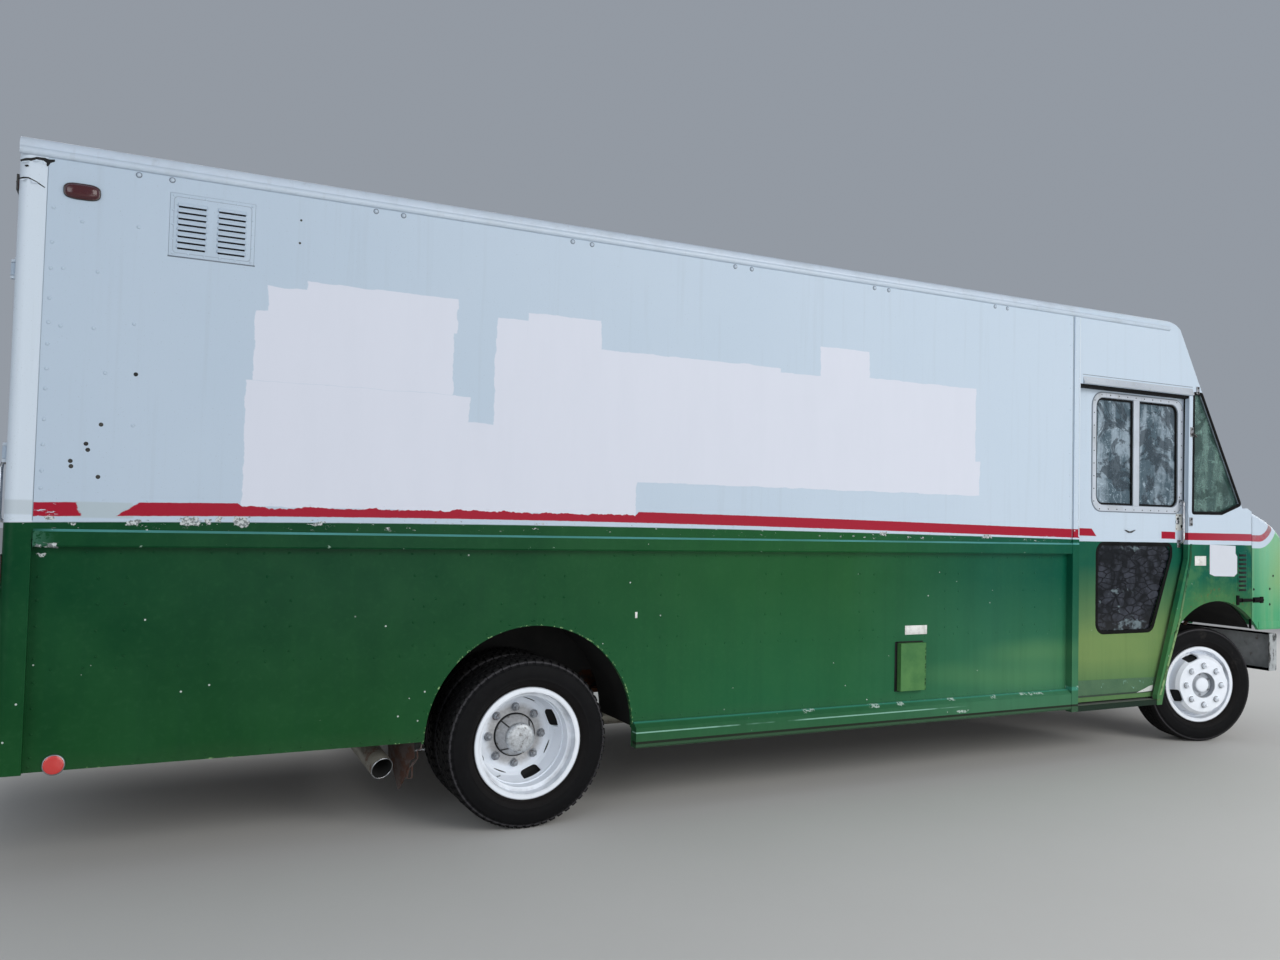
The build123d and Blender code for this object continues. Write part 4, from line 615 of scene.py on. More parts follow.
M["chrome"] = worn_metal("bright_metal", (206, 208, 212), 0.05, 0.22)
M["bumper"] = bumper_paint("bumper_paint")
M["frame"] = worn_metal("chassis_black", (26, 26, 28), 0.25, 0.7, 0.1, scale=9.0)
M["under"] = plastic("underbody_coating", (22, 22, 23), 0.85, 0.30, 60.0)
M["liner"] = plastic("wheel_well_coating", (7, 7, 8), 0.9, 0.06, 80.0)
M["rubber"] = plastic("black_rubber", (7, 7, 9), 0.7, 0.03, spec=0.12)
M["black"] = plastic("black_plastic", (30, 30, 32), 0.45, 0.2)
M["dash"] = plastic("dashboard_plastic", (62, 64, 66), 0.6, 0.3)
M["glass"] = window("window_glass", (74, 92, 102), 0.82, 0.04, (150, 166, 178), 1.42, (52, 62, 70))
M["glass_low"] = window("lower_window_glass", (22, 25, 30), 0.80, 0.05, (44, 50, 60))
M["screen"] = window("windshield_glass", (66, 92, 88), 0.66, 0.04, (108, 138, 130), None, (48, 72, 66))
M["flange"] = flange_paint("flange_light_olive")
# grey of the hub's sunk recess: painted shade
M["recess"] = plastic("hub_recess_grey", (136, 142, 150), 0.6, 0.2)
M["seam_pale"] = plastic("seam_pale", (158, 171, 186), 0.7, 0.1)
M["drip"] = white_paint("drip_rail_paint", (170, 178, 188), 0.3)
M["torn"] = worn_metal("torn_sheet", (96, 84, 80), 0.35, 0.75, 0.2, rust_tone=(84, 58, 46), scale=16.0)


def lens(name, tone, glow=0.0):
    m = Mat(name)
    g = m.noise(8.0, 3.0)
    ribs = m.math("SINE", m.mul(m.z, 1400.0))
    c = m.mix(m.mul(g, 0.35), srgb(*tone), srgb(*[int(v * 0.6) for v in tone]))
    return m.shade(c, m.math("MULTIPLY_ADD", g, 0.15, 0.16), 0.0, m.bump(ribs, 0.25, 0.0006), coat=0.6, coat_rough=0.08)


def seat_cloth(name, tone):
    m = Mat(name)
    grain = m.cells(420.0, feature="DISTANCE_TO_EDGE")
    g = m.noise(6.0, 4.0, 0.6)
    worn = m.mul(m.step(m.noise(14.0, 4.0, 0.7), 0.60, 0.15), 0.35)
    c = m.mix(m.mul(g, 0.4), srgb(*tone), srgb(54, 54, 56))
    c = m.mix(worn, c, srgb(96, 92, 86))
    h = m.math("MINIMUM", grain, 0.25)
    return m.shade(c, m.math("MULTIPLY_ADD", g, 0.2, 0.45), 0.0, m.bump(h, 0.4, 0.0006), sheen=0.1)


def planks(name):
    """plywood deck: grain along the van, sheet joints, dirt"""
    m = Mat(name)
    grain = m.noise(1.0, 6.0, 0.65, m.scaled(5.0, 70.0, 5.0), 0.4)
    g = m.noise(3.0, 4.0, 0.6)
    c = m.mix(m.step(grain, 0.5, 0.5), srgb(136, 112, 82), srgb(96, 76, 54))
    c = m.mix(m.mul(m.step(g, 0.5, 0.4), 0.5), c, srgb(84, 76, 66))
    return m.shade(c, m.math("MULTIPLY_ADD", grain, 0.2, 0.6), 0.0, m.bump(grain, 0.3, 0.001))


def diamond_plate(name, tone):
    """raised bar pattern on a step plate"""
    m = Mat(name)
    u = m.math("MULTIPLY_ADD", m.x, 1.0, m.y)
    v = m.sub(m.x, m.y)
    a = m.math("SINE", m.mul(u, 190.0))
    b = m.math("SINE", m.mul(v, 190.0))
    h = m.step(m.mul(a, b), 0.55, 0.2)
    g = m.noise(7.0, 4.0, 0.6)
    c = m.mix(m.mul(h, 0.5), srgb(*tone), srgb(188, 188, 186))
    c = m.mix(m.mul(m.step(g, 0.5, 0.3), 0.45), c, srgb(88, 78, 66))
    # the sill's outer face is painted with the body
    outer = m.step(m.math("ABSOLUTE", m.y), 1.184, 0.003)
    c = m.mix(outer, c, m.mix(m.step(m.z, 0.352, 0.003), srgb(20, 40, 28), m.mix(m.step(g, 0.5, 0.3), srgb(50, 96, 66), srgb(66, 112, 80))))
    metal = m.mul(m.inv(outer), m.math("MULTIPLY_ADD", g, -0.6, 0.9, clamp=True))
    return m.shade(c, m.math("MULTIPLY_ADD", g, 0.2, 0.4), metal, m.bump(m.mul(h, m.inv(outer)), 0.5, 0.0025), spec=0.2)


def blank_label(name, tone):
    m = Mat(name)
    g = m.noise(20.0, 5.0, 0.7)
    c = m.mix(m.mul(m.step(g, 0.55, 0.2), 0.5), srgb(*tone), srgb(150, 148, 140))
    return m.shade(c, m.math("MULTIPLY_ADD", g, 0.2, 0.4), 0.0, m.bump(g, 0.1, 0.0005))


M["marker_red"] = lens("marker_lens_red", (70, 8, 16))
M["tail_red"] = lens("tail_lens_red", (150, 22, 22))
M["reflector"] = lens("reflector_red", (214, 58, 54))
M["amber"] = lens("marker_lens_amber", (214, 120, 30))
M["lamp_clear"] = lens("headlamp_lens", (206, 212, 216))
M["lamp_back"] = lens("reverse_lens", (214, 214, 210))
M["seat"] = seat_cloth("seat_vinyl_grained", (44, 44, 48))
M["ply"] = planks("plywood_deck")
M["step"] = diamond_plate("step_plate", (150, 150, 150))
M["label"] = blank_label("blank_white_label", (226, 226, 222))
M["patch"] = white_paint("white_touch_up", (208, 212, 221), 0.06, False)
M["dial"] = plastic("dial_face", (14, 14, 16), 0.3, 0.05)

# finish and slot of every node of the frame
FINISH = {
    "bulkhead": "inside", "cab_floor": "tread_plate", "cab_glass": "screen", "cargo_floor": "ply",
    "chassis_rails": "frame", "cowl": "cowl", "cross_members": "frame", "dashboard": "dash", "driver_seat": "seat",
    "driveshaft": "steel", "engine_block": "cast", "engine_cover": "dash", "exhaust": "exhaust",
    "frame_brackets": "frame", "front_axle": "cast", "front_bumper": "bumper", "front_cap": "cowl",
    "fuel_door": "flap", "fuel_tank": "frame", "grille": "black", "headlamps": "lamp_clear", "hood": "hood",
    "leaf_springs": "rust", "left_door": "door", "right_door": "door", "left_knuckle": "cast",
    "right_knuckle": "cast", "left_wall": "wall", "right_wall": "wall", "mud_flaps": "torn", "radiator": "frame",
    "rear_axle": "cast", "rear_bumper": "bumper", "rear_door_left": "wall", "rear_door_right": "wall",
    "rear_frame": "post", "rear_glass_left": "glass", "rear_glass_right": "glass", "roof": "roof",
    "roof_mouldings": "white", "rub_rails": "rail", "seat_base": "black", "steering_wheel": "black",
    "step_wells": "step", "tail_lamps": "tail_red", "tie_rod": "cast", "wheel_wells": "liner",
    "left_front_wheel": "wheel_front_left", "right_front_wheel": "wheel_front_right",
    "left_rear_wheels": "wheel_rear", "right_rear_wheels": "wheel_rear",
    "left_front_tyre": "tyre_front_left", "right_front_tyre": "tyre_front_right",
    "left_rear_tyres": "tyre_rear", "right_rear_tyres": "tyre_rear",
    "left_door_glass": "glass", "right_door_glass": "glass",
}
for node, obj in NODES.items():
    finish = M[FINISH[node]]
    if not obj.data.materials:
        obj.data.materials.append(finish)
    for slot_ in obj.material_slots:
        slot_.material = finish


# ---------------------------------------------------------------------------
# Mesh code, millimetres
# ---------------------------------------------------------------------------
class Piece:
    """faces gathered in millimetres, each with its finish"""

    def __init__(self, name):
        self.name, self.v, self.f, self.mi, self.sm, self.mats = name, [], [], [], [], []

    def index(self, material):
        if material not in self.mats:
            self.mats.append(material)
        return self.mats.index(material)

    def put(self, verts, faces, material, smooth=False):
        base = len(self.v)
        self.v.extend(tuple(p) for p in verts)
        k = self.index(material)
        for face in faces:
            self.f.append(tuple(base + i for i in face))
            self.mi.append(k)
            self.sm.append(smooth)
        return self

    def slab(self, x0, x1, y0, y1, z0, z1, material, bev=1.5, seg=2, at=None):
        """a block with rounded edges; at is a matrix that places it"""
        bm = bmesh.new()
        bmesh.ops.create_cube(bm, size=1.0)
        bmesh.ops.scale(bm, vec=(x1 - x0, y1 - y0, z1 - z0), verts=bm.verts)
        bmesh.ops.translate(bm, vec=((x0 + x1) / 2, (y0 + y1) / 2, (z0 + z1) / 2), verts=bm.verts)
        bev = min(bev, 0.49 * min(x1 - x0, y1 - y0, z1 - z0))
        if bev > 0:
            bmesh.ops.bevel(bm, geom=list(bm.edges), offset=bev, segments=seg, profile=0.5, affect="EDGES")
        self.take(bm, material, True, at)
        return self

    def take(self, bm, material, smooth=False, at=None):
        bm.verts.index_update()
        verts = [tuple((at @ v.co) if at is not None else v.co) for v in bm.verts]
        self.put(verts, [[v.index for v in f.verts] for f in bm.faces], material, smooth)
        bm.free()

    def prism(self, points, axis, d0, d1, material, bev=0.0, seg=2, holes=None, at=None):
        """a flat outline given in the two other axes' coordinates, carried from d0 to d1 along axis"""
        bm = bmesh.new()
        def place(p, d):
            a, b = p
            return {"x": (d, a, b), "y": (a, d, b), "z": (a, b, d)}[axis]
        lo = [bm.verts.new(place(p, d0)) for p in points]
        hi = [bm.verts.new(place(p, d1)) for p in points]
        n = len(points)
        bm.faces.new(lo)
        bm.faces.new(list(reversed(hi)))
        rim = [bm.faces.new((lo[i], hi[i], hi[(i + 1) % n], lo[(i + 1) % n])) for i in range(n)]
        bmesh.ops.recalc_face_normals(bm, faces=bm.faces)
        if bev > 0:
            edges = [e for e in bm.edges if (e.verts[0] in lo and e.verts[1] in lo) or (e.verts[0] in hi and e.verts[1] in hi)]
            bmesh.ops.bevel(bm, geom=edges, offset=bev, segments=seg, profile=0.5, affect="EDGES")
        self.take(bm, material, False, at)
        return self

    def ring(self, outer, inner, axis, d0, d1, material, smooth=False):
        """a flat frame between two outlines with the same number of points"""
        def place(p, d):
            a, b = p
            return {"x": (d, a, b), "y": (a, d, b), "z": (a, b, d)}[axis]
        n = len(outer)
        verts = [place(p, d) for d in (d0, d1) for loop in (outer, inner) for p in loop]
        o0, i0, o1, i1 = 0, n, 2 * n, 3 * n
        faces = []
        for k in range(n):
            j = (k + 1) % n
            faces += [(o0 + k, o0 + j, i0 + j, i0 + k), (o1 + j, o1 + k, i1 + k, i1 + j),
                      (o0 + j, o0 + k, o1 + k, o1 + j), (i0 + k, i0 + j, i1 + j, i1 + k)]
        self.put(verts, faces, material, smooth)
        return self

    def rev(self, profile, origin, axis, material, seg=48, smooth=True, closed=False):
        """(s, r) points turned about an axis"""
        axis = Vector(axis).normalized()
        side = axis.orthogonal().normalized()
        up = axis.cross(side)
        origin = Vector(origin)
        n = len(profile)
        verts, faces = [], []
        for k in range(seg):
            a = 2 * math.pi * k / seg
            d = side * math.cos(a) + up * math.sin(a)
            for s, r in profile:
                verts.append(origin + axis * s + d * max(r, 0.001))
        for k in range(seg):
            q = (k + 1) % seg
            for i in range(n if closed else n - 1):
                j = (i + 1) % n
                faces.append((k * n + i, k * n + j, q * n + j, q * n + i))
        self.put(verts, faces, material, smooth)
        return self

    def tube(self, points, r, material, seg=12, closed=False, caps=True):
        pts = [Vector(p) for p in points]
        n = len(pts)
        tang = []
        for i in range(n):
            a = pts[(i - 1) % n] if (closed or i > 0) else pts[i]
            b = pts[(i + 1) % n] if (closed or i < n - 1) else pts[i]
            tang.append((b - a).normalized())
        side = tang[0].orthogonal().normalized()
        verts, faces = [], []
        for i in range(n):
            side = (side - tang[i] * side.dot(tang[i])).normalized()
            up = tang[i].cross(side)
            for k in range(seg):
                a = 2 * math.pi * k / seg
                verts.append(pts[i] + side * (r * math.cos(a)) + up * (r * math.sin(a)))
        for i in range(n if closed else n - 1):
            j = (i + 1) % n
            for k in range(seg):
                q = (k + 1) % seg
                faces.append((i * seg + k, i * seg + q, j * seg + q, j * seg + k))
        if caps and not closed:
            faces.append(tuple(range(seg - 1, -1, -1)))
            faces.append(tuple((n - 1) * seg + k for k in range(seg)))
        self.put(verts, faces, material, True)
        return self

    def dome(self, c, n, r, h, material, seg=8):
        """a rivet or bolt head: a low dome with a steep edge"""
        prof = [(0.0, r), (0.45 * h, 0.94 * r), (0.85 * h, 0.62 * r), (h, 0.0)]
        return self.rev(prof, c, n, material, seg, True)

    def nut(self, c, n, r, h, material, turn=0.0):
        """a hexagon nut with a chamfered top"""
        n = Vector(n).normalized()
        side = n.orthogonal().normalized()
        up = n.cross(side)
        c = Vector(c)
        verts = []
        for s, k in ((0.0, 1.0), (0.82 * h, 1.0), (h, 0.86)):
            for i in range(6):
                a = turn + i * math.pi / 3
                verts.append(c + n * s + (side * math.cos(a) + up * math.sin(a)) * (r * k))
        verts.append(c + n * h)
        faces = []
        for row in (0, 1):
            for i in range(6):
                j = (i + 1) % 6
                faces.append((row * 6 + i, row * 6 + j, row * 6 + 6 + j, row * 6 + 6 + i))
        faces += [(12 + i, 12 + (i + 1) % 6, 18) for i in range(6)]
        self.put(verts, faces, material, False)
        return self

    def done(self, body, slot, replaces=(), bevel=0.0, smooth_angle=None):
        me = bpy.data.meshes.new(self.name)
        me.from_pydata([(x * MM, y * MM, z * MM) for x, y, z in self.v], [], self.f)
        for m in self.mats:
            me.materials.append(m)
        me.polygons.foreach_set("material_index", self.mi)
        me.polygons.foreach_set("use_smooth", self.sm)
        me.update()
        bm = bmesh.new()
        bm.from_mesh(me)
        bmesh.ops.remove_doubles(bm, verts=bm.verts, dist=1e-6)
        bmesh.ops.recalc_face_normals(bm, faces=bm.faces)
        bm.to_mesh(me)
        bm.free()
        ob = bpy.data.objects.new(self.name, me)
        bpy.context.scene.collection.objects.link(ob)
        if smooth_angle is not None:
            me.set_sharp_from_angle(angle=math.radians(smooth_angle))
            me.polygons.foreach_set("use_smooth", [True] * len(me.polygons))
        if bevel:
            b = ob.modifiers.new("edge", "BEVEL")
            b.width, b.segments, b.limit_method, b.angle_limit = bevel * MM, 2, "ANGLE", math.radians(40)
        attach(ob, body)
        if replaces:
            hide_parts(*replaces)
        return ob


def rounded(points, radius, seg=6):
    """an outline with its corners rounded; radius is one number or one for each corner"""
    n = len(points)
    rs = radius if isinstance(radius, (list, tuple)) else [radius] * n
    out = []
    for i in range(n):
        p, a, b = Vector(points[i]), Vector(points[i - 1]), Vector(points[(i + 1) % n])
        u, w = (a - p).normalized(), (b - p).normalized()
        ang = u.angle(w)
        r = rs[i]
        if r <= 0 or ang > math.pi - 0.01:
            out.append(tuple(p))
            continue
        t = r / math.tan(ang / 2)
        t = min(t, 0.48 * (a - p).length, 0.48 * (b - p).length)
        r = t * math.tan(ang / 2)
        mid = (u + w).normalized()
        c = p + mid * (r / math.sin(ang / 2))
        s, e = p + u * t, p + w * t
        a0 = math.atan2(s.y - c.y, s.x - c.x)
        a1 = math.atan2(e.y - c.y, e.x - c.x)
        d = (a1 - a0 + math.pi) % (2 * math.pi) - math.pi
        for k in range(seg + 1):
            q = a0 + d * k / seg
            out.append((c.x + r * math.cos(q), c.y + r * math.sin(q)))
    return out


def grown(points, by):
    """an outline moved outwards by a distance, corner by corner"""
    n = len(points)
    area = sum(points[i][0] * points[(i + 1) % n][1] - points[(i + 1) % n][0] * points[i][1] for i in range(n))
    s = 1.0 if area > 0 else -1.0
    out = []
    for i in range(n):
        p, a, b = Vector(points[i]), Vector(points[i - 1]), Vector(points[(i + 1) % n])
        u, w = (p - a).normalized(), (b - p).normalized()
        n1, n2 = Vector((u.y, -u.x)) * s, Vector((w.y, -w.x)) * s
        k = 1.0 + n1.dot(n2)
        q = p + (n1 + n2) * (by / max(k, 0.2))
        out.append((q.x, q.y))
    return out


def shell_point(side, x, y, z):
    return (x, side * y, z)


# ---------------------------------------------------------------------------
# Tyres with their tread, and what sits on the wheels
# ---------------------------------------------------------------------------
def crown(s):
    return TYRE_R - 0.3 - 2.0 * (s / 88.0) ** 2


def tyre_mesh(piece, centre, axis, material, style):
    """rows across the section, columns round it; grooves are real steps in the mesh"""
    if style == "blocks":
        grooves, pitches = ((22.0, 4.5), (57.0, 4.5)), 58
        frac = ((0.0, 0), (0.05, 1), (0.36, 1), (0.40, 2), (0.62, 2), (0.67, 3))
    else:
        grooves, pitches = ((0.0, 4.0), (27.0, 4.0), (56.0, 4.0)), 92
        frac = ((0.0, 1), (0.74, 1), (0.80, 3))
    # (s, r, what): what is t tread top, g groove floor, h shoulder, w sidewall
    edges = []
    for c, w in grooves:
        if c - w > 0:
            edges += [(c - w, "t"), (c - w + 1.0, "g")]
        edges += [(c + w - 1.0, "g"), (c + w, "t")]
    half = [(s, crown(s) - (11.0 if k == "g" else 0.0), k) for s, k in edges]
    if style == "blocks":
        half = [(0.0, crown(0), "t")] + half[:4] + [(40.0, crown(40), "t")] + half[4:]
    else:
        half = [(0.0, crown(0) - 11.0, "g")] + half
    last = grooves[-1][0] + grooves[-1][1]
    half += [(last + 12.0, crown(last + 12.0), "h"), (84.0, crown(84), "h"), (89.5, 401.5, "h"), (95.0, 397.0, "h"), (99.2, 390.5, "h"),
             (102.5, 381.0, "h"), (105.0, 373.5, "w"), (107.0, 371.5, "w"), (108.0, 367.0, "w"), (110.2, 352.0, "w"),
             (111.7, 342.0, "w"), (112.3, 333.0, "w"), (111.6, 322.0, "w"), (109.4, 311.0, "w"), (110.2, 307.0, "w"),
             (108.6, 303.0, "w"), (104.2, 297.0, "w"), (99.0, 289.0, "w"), (92.0, 282.0, "w"), (84.0, 277.0, "w"), (80.5, 268.5, "w")]
    rows = [(-s, r, k) for s, r, k in reversed(half)] + [q for q in half if q[0] > 0.0]
    axis = Vector(axis).normalized()
    up = Vector((0, 0, 1))
    fwd = axis.cross(up).normalized()
    centre = Vector(centre)
    cols = []
    for p in range(pitches):
        for f, kind in frac:
            cols.append((2 * math.pi * (p + f) / pitches, kind, p % 2))
    n = len(rows)
    verts = []
    for a, kind, odd in cols:
        d = fwd * math.cos(a) + up * math.sin(a)
        for s, r, k in rows:
            if style == "blocks":
                if k == "h" and kind in (0, 3):
                    deep = 9.0 if abs(s) < 90 else 7.5 if abs(s) < 100 else 3.0
                    r -= deep * (0.9 if abs(s) < 95 else 0.5)
                    if abs(s) > 88:
                        s -= math.copysign(deep * 0.75, s)
                if k == "t" and 20.0 < abs(s) < 60.0 and kind == 2:
                    r -= 5.0
                if k in "tg" and abs(s) < 66.0:
                    s += (2.6 if odd else -2.6) * (1 if kind in (1, 2) else -1)
            elif k in "th" and abs(s) > 30.0 and kind == 3:
                r -= 2.6 if abs(s) < 90 else 1.6
            verts.append(centre + axis * s + d * r)
    faces = []
    m = len(cols)
    for c in range(m):
        q = (c + 1) % m
        for i in range(n):
            j = (i + 1) % n
            faces.append((c * n + i, q * n + i, q * n + j, c * n + j))
    piece.put(verts, faces, material, True)


def wheel_trim(name, body, c, axis, disc_s, twin):
    """nuts, studs, washers, hub cover and valve; s along the axle from the wheel's centre plane, outboard plus"""
    axis = Vector(axis).normalized()
    up = Vector((0, 0, 1))
    fwd = axis.cross(up).normalized()
    p = Piece(name)
    steel, cap, ring = M["chrome"], M["hub"], M["ring"]
    for i in range(8):
        a = math.radians(90 + 45 * i)
        d = fwd * math.cos(a) + up * math.sin(a)
        at = c + d * 137.5 + axis * disc_s
        paint = M["wheel_rear"] if twin else (M["wheel_front_right"] if "right" in name else M["wheel_front_left"])
        p.rev([(0.0, 27.0), (2.5, 26.0), (3.5, 23.0), (3.5, 0.0)], at, axis, paint, 20)
        bolt = M["nut"] if twin else paint
        p.rev([(3.0, 22.0), (6.0, 21.0), (6.5, 17.0)], at, axis, M["nut"], 20)
        p.nut(at + axis * 5.0, axis, 18.5, 20.0, bolt, a)
        p.rev([(24.0, 9.5), (33.0, 9.5), (35.0, 7.5), (35.0, 0.0)], at, axis, bolt, 12)
    if twin:
        # tapered hub: joint line at its foot, ribs along it, and a domed cover
        p.rev([(-119.5, 108.0), (-116.8, 107.5), (-116.8, 102.5), (-115.5, 102.4)], c, axis, M["seam_dark"], 48)
        for i in range(4):
            a = math.radians(45 + 90 * i)
            d = fwd * math.cos(a) + up * math.sin(a)
            p.tube([c + d * 102.6 + axis * -112.0, c + d * 96.8 + axis * -101.0, c + d * 71.8 + axis * -46.0], 3.4, M["black"], 8)
        for i in range(8):
            a = math.radians(22.5 + 45 * i)
            d = fwd * math.cos(a) + up * math.sin(a)
            p.dome(c + d * 98.5 + axis * -105.0, (axis * 0.4 + d * 0.9).normalized(), 6.0, 4.0, M["ring"], 8)
        p.rev([(-47.0, 71.4), (-45.0, 73.4), (-27.0, 72.6), (-19.0, 68.0), (-16.4, 52.0), (-15.4, 20.0), (-15.2, 0.0)], c, axis, cap, 48)
        # dark drum seen through the hand holes: black as painted shade inside the wheel
        p.rev([(-52.0, 231.0), (-108.0, 220.5), (-127.0, 204.0), (-127.0, 150.0)], c, axis, M["seam_dark"], 48)
    else:
        paint = M["wheel_front_right"] if "right" in name else M["wheel_front_left"]
        # sunk hub: lip of the disc's bore, grey wall (painted shade of the recess), cap and its bolts, painted over
        # with the wheel
        p.rev([(130.5, 92.0), (132.6, 91.0), (132.6, 88.2), (131.0, 87.4)], c, axis, paint, 48)
        p.rev([(93.0, 84.4), (124.4, 84.4), (124.8, 87.3), (129.5, 87.3)], c, axis, M["recess"], 48)
        p.rev([(92.5, 60.0), (98.0, 58.5), (99.0, 53.5), (112.5, 53.0), (119.0, 48.0), (121.5, 36.0), (122.2, 0.0)], c, axis, paint, 48)
        for i in range(6):
            a = math.radians(90 + 60 * i)
            d = fwd * math.cos(a) + up * math.sin(a)
            p.nut(c + d * 72.0 + axis * 92.0, axis, 9.0, 7.0, M["nut"], a)
        # black drum behind the hand holes: painted shade inside the wheel
        p.rev([(26.0, 206.0), (90.0, 191.0), (109.0, 175.0), (112.0, 120.0)], c, axis, M["seam_dark"], 48)
    # valve stem through the disc, near the rim
    a = math.radians(300)
    d = fwd * math.cos(a) + up * math.sin(a)
    s = (-70.0 if twin else 62.0)
    p.tube([c + d * 218.0 + axis * s, c + d * 212.0 + axis * (s + 20), c + d * 200.0 + axis * (s + 46)], 4.2, M["hub"], 8)
    return p.done(body, "wheel_white")


for name, side in SIDES:
    out = Vector((0, side, 0))
    rubber = M["tyre_rear"]
    t = Piece(name + "_rear_tyres_treaded")
    tyre_mesh(t, REAR_C[side], out, rubber, "blocks")
    tyre_mesh(t, (REAR_X, side * (REAR_DISC_Y - DISC_OFFSET), AXLE_Z), out, rubber, "blocks")
    t.done(name + "_rear_wheels", "tyre", (name + "_rear_tyres",), smooth_angle=32)
    t = Piece(name + "_front_tyre_treaded")
    tyre_mesh(t, FRONT_C[side], TURN[side], M["tyre_front_" + name], "ribs")
    t.done(name + "_front_wheel", "tyre", (name + "_front_tyre",), smooth_angle=32)
    wheel_trim(name + "_rear_wheel_trim", name + "_rear_wheels", REAR_C[side], out, 12.0 - DISC_OFFSET, True)
    wheel_trim(name + "_front_wheel_trim", name + "_front_wheel", FRONT_C[side], TURN[side], DISC_OFFSET, False)


# ---------------------------------------------------------------------------
# Side walls: rivets, vent, lamps, labels
# ---------------------------------------------------------------------------
COLUMNS = [x for a in range(9) for x in (-3645.0 + 641.0 * a, -3543.0 + 641.0 * a)]


def in_arch(x, z, arch, margin):
    cx, cz, r = arch
    return math.hypot(x - cx, z - cz) < r + margin or (abs(x - cx) < r + margin and z < cz)


def wall_rivets(name, side):
    p = Piece(name + "_wall_rivets")
    paint = M["wall"]
    n = (0, side, 0)
    y = side * LOW_Y

    def low(x, z, r=5.8, h=2.6):
        if not in_arch(x, z, REAR_ARCH, 12.0) and not (side < 0 and 466 < x < 700 and 515 < z < 815):
            p.dome((x + rng.uniform(-2, 2), y, z + rng.uniform(-3, 3)), n, r, h, paint, 8)

    for x in COLUMNS:
        for z in (1205, 1100, 992, 885):
            low(x, z)
    for z in (1208, 1114, 1016, 884, 790, 690, 590, 500):
        low(-3857.0, z)
    x = -3800.0
    while x < 1850:
        low(x, 841.0, 5.2, 2.2)
        x += 115.0
    for x in (-2315, -2123, -1939, -1770, -1432):
        low(x, 1068.0)
    for x in (-1939, -1770):
        low(x, 985.0)
    # round the arch's edge
    cx, cz, r = REAR_ARCH
    for a in range(8, 176, 12):
        q = math.radians(a)
        p.dome((cx + (r + 24) * math.cos(q), y, cz + (r + 24) * math.sin(q)), n, 5.0, 2.2, paint, 8)
    x = -3840.0
    while x < 1855:
        if rng.random() > 0.12:
            low(x, 1305.0 + rng.uniform(-2, 2), 5.2, 2.3)
        x += rng.choice((104.0, 118.0, 128.0, 146.0))
    x = REAR_ARCH[0] + REAR_ARCH[2] + 60
    while x < 1860:
        p.dome((x, y - side * 0.2, 482.0), n, 5.0, 2.2, paint, 8)
        x += 110.0
    # skirt's lower edge behind the arch
    x = -3860.0
    while x < REAR_ARCH[0] - REAR_ARCH[2] - 20:
        p.dome((x, y, 462.0), n, 5.0, 2.2, paint, 8)
        x += 128.0
    # upper panel
    y = side * HALF_W
    for z in (2674, 2537, 2431, 2312, 2216, 2130, 2032, 1952, 1831, 1731, 1628, 1560):
        p.dome((-3857.0, y, z), n, 7.5, 3.4, paint, 10)
    for x, z in ((-3815, 2437), (-3694, 2437), (-3815, 2206), (-3699, 2208), (-3555, 2241), (-3652, 2031),
                 (-3544, 1825), (-3554, 2641), (-3756, 2633)):
        p.dome((x, y, z), n, 7.5, 3.4, paint, 10)
    x = -3800.0
    while x < 1860:
        p.dome((x, y, 1522.0 - 2), n, 3.6, 1.3, paint, 6)
        x += 160.0
    for z in (1560, 1700, 1840, 1980, 2120, 2260, 2400, 2540, 2680, 2820):
        p.dome((1846.0, y, z), n, 5.0, 2.2, paint, 8)
    # seam of the wall's skin on the rear corner post
    p.slab(-3882, -3879, *sorted((side * (HALF_W - 1), side * (HALF_W + 0.6))), 1432, 2868, M["seam_pale"], 0.0)
    p.done("van", "body_white")
    # holes left by removed fittings, dark inside
    h = Piece(name + "_wall_old_holes")
    for x, z in ((-3541, 2035), (-3658, 1822), (-3708, 1742), (-3701, 1718), (-3760, 1671), (-3757, 1650), (-3661, 1611),
                 (-2921, 2766), (-2923, 2665)):
        q = 7.5 if z < 2100 else 4.5
        h.rev([(0.4, 0.0), (0.4, q * 0.8), (0.9, q), (0.1, q * 1.15)], (x, side * HALF_W, z), n, M["under"], 14)
    h.done("van", "frame_black")


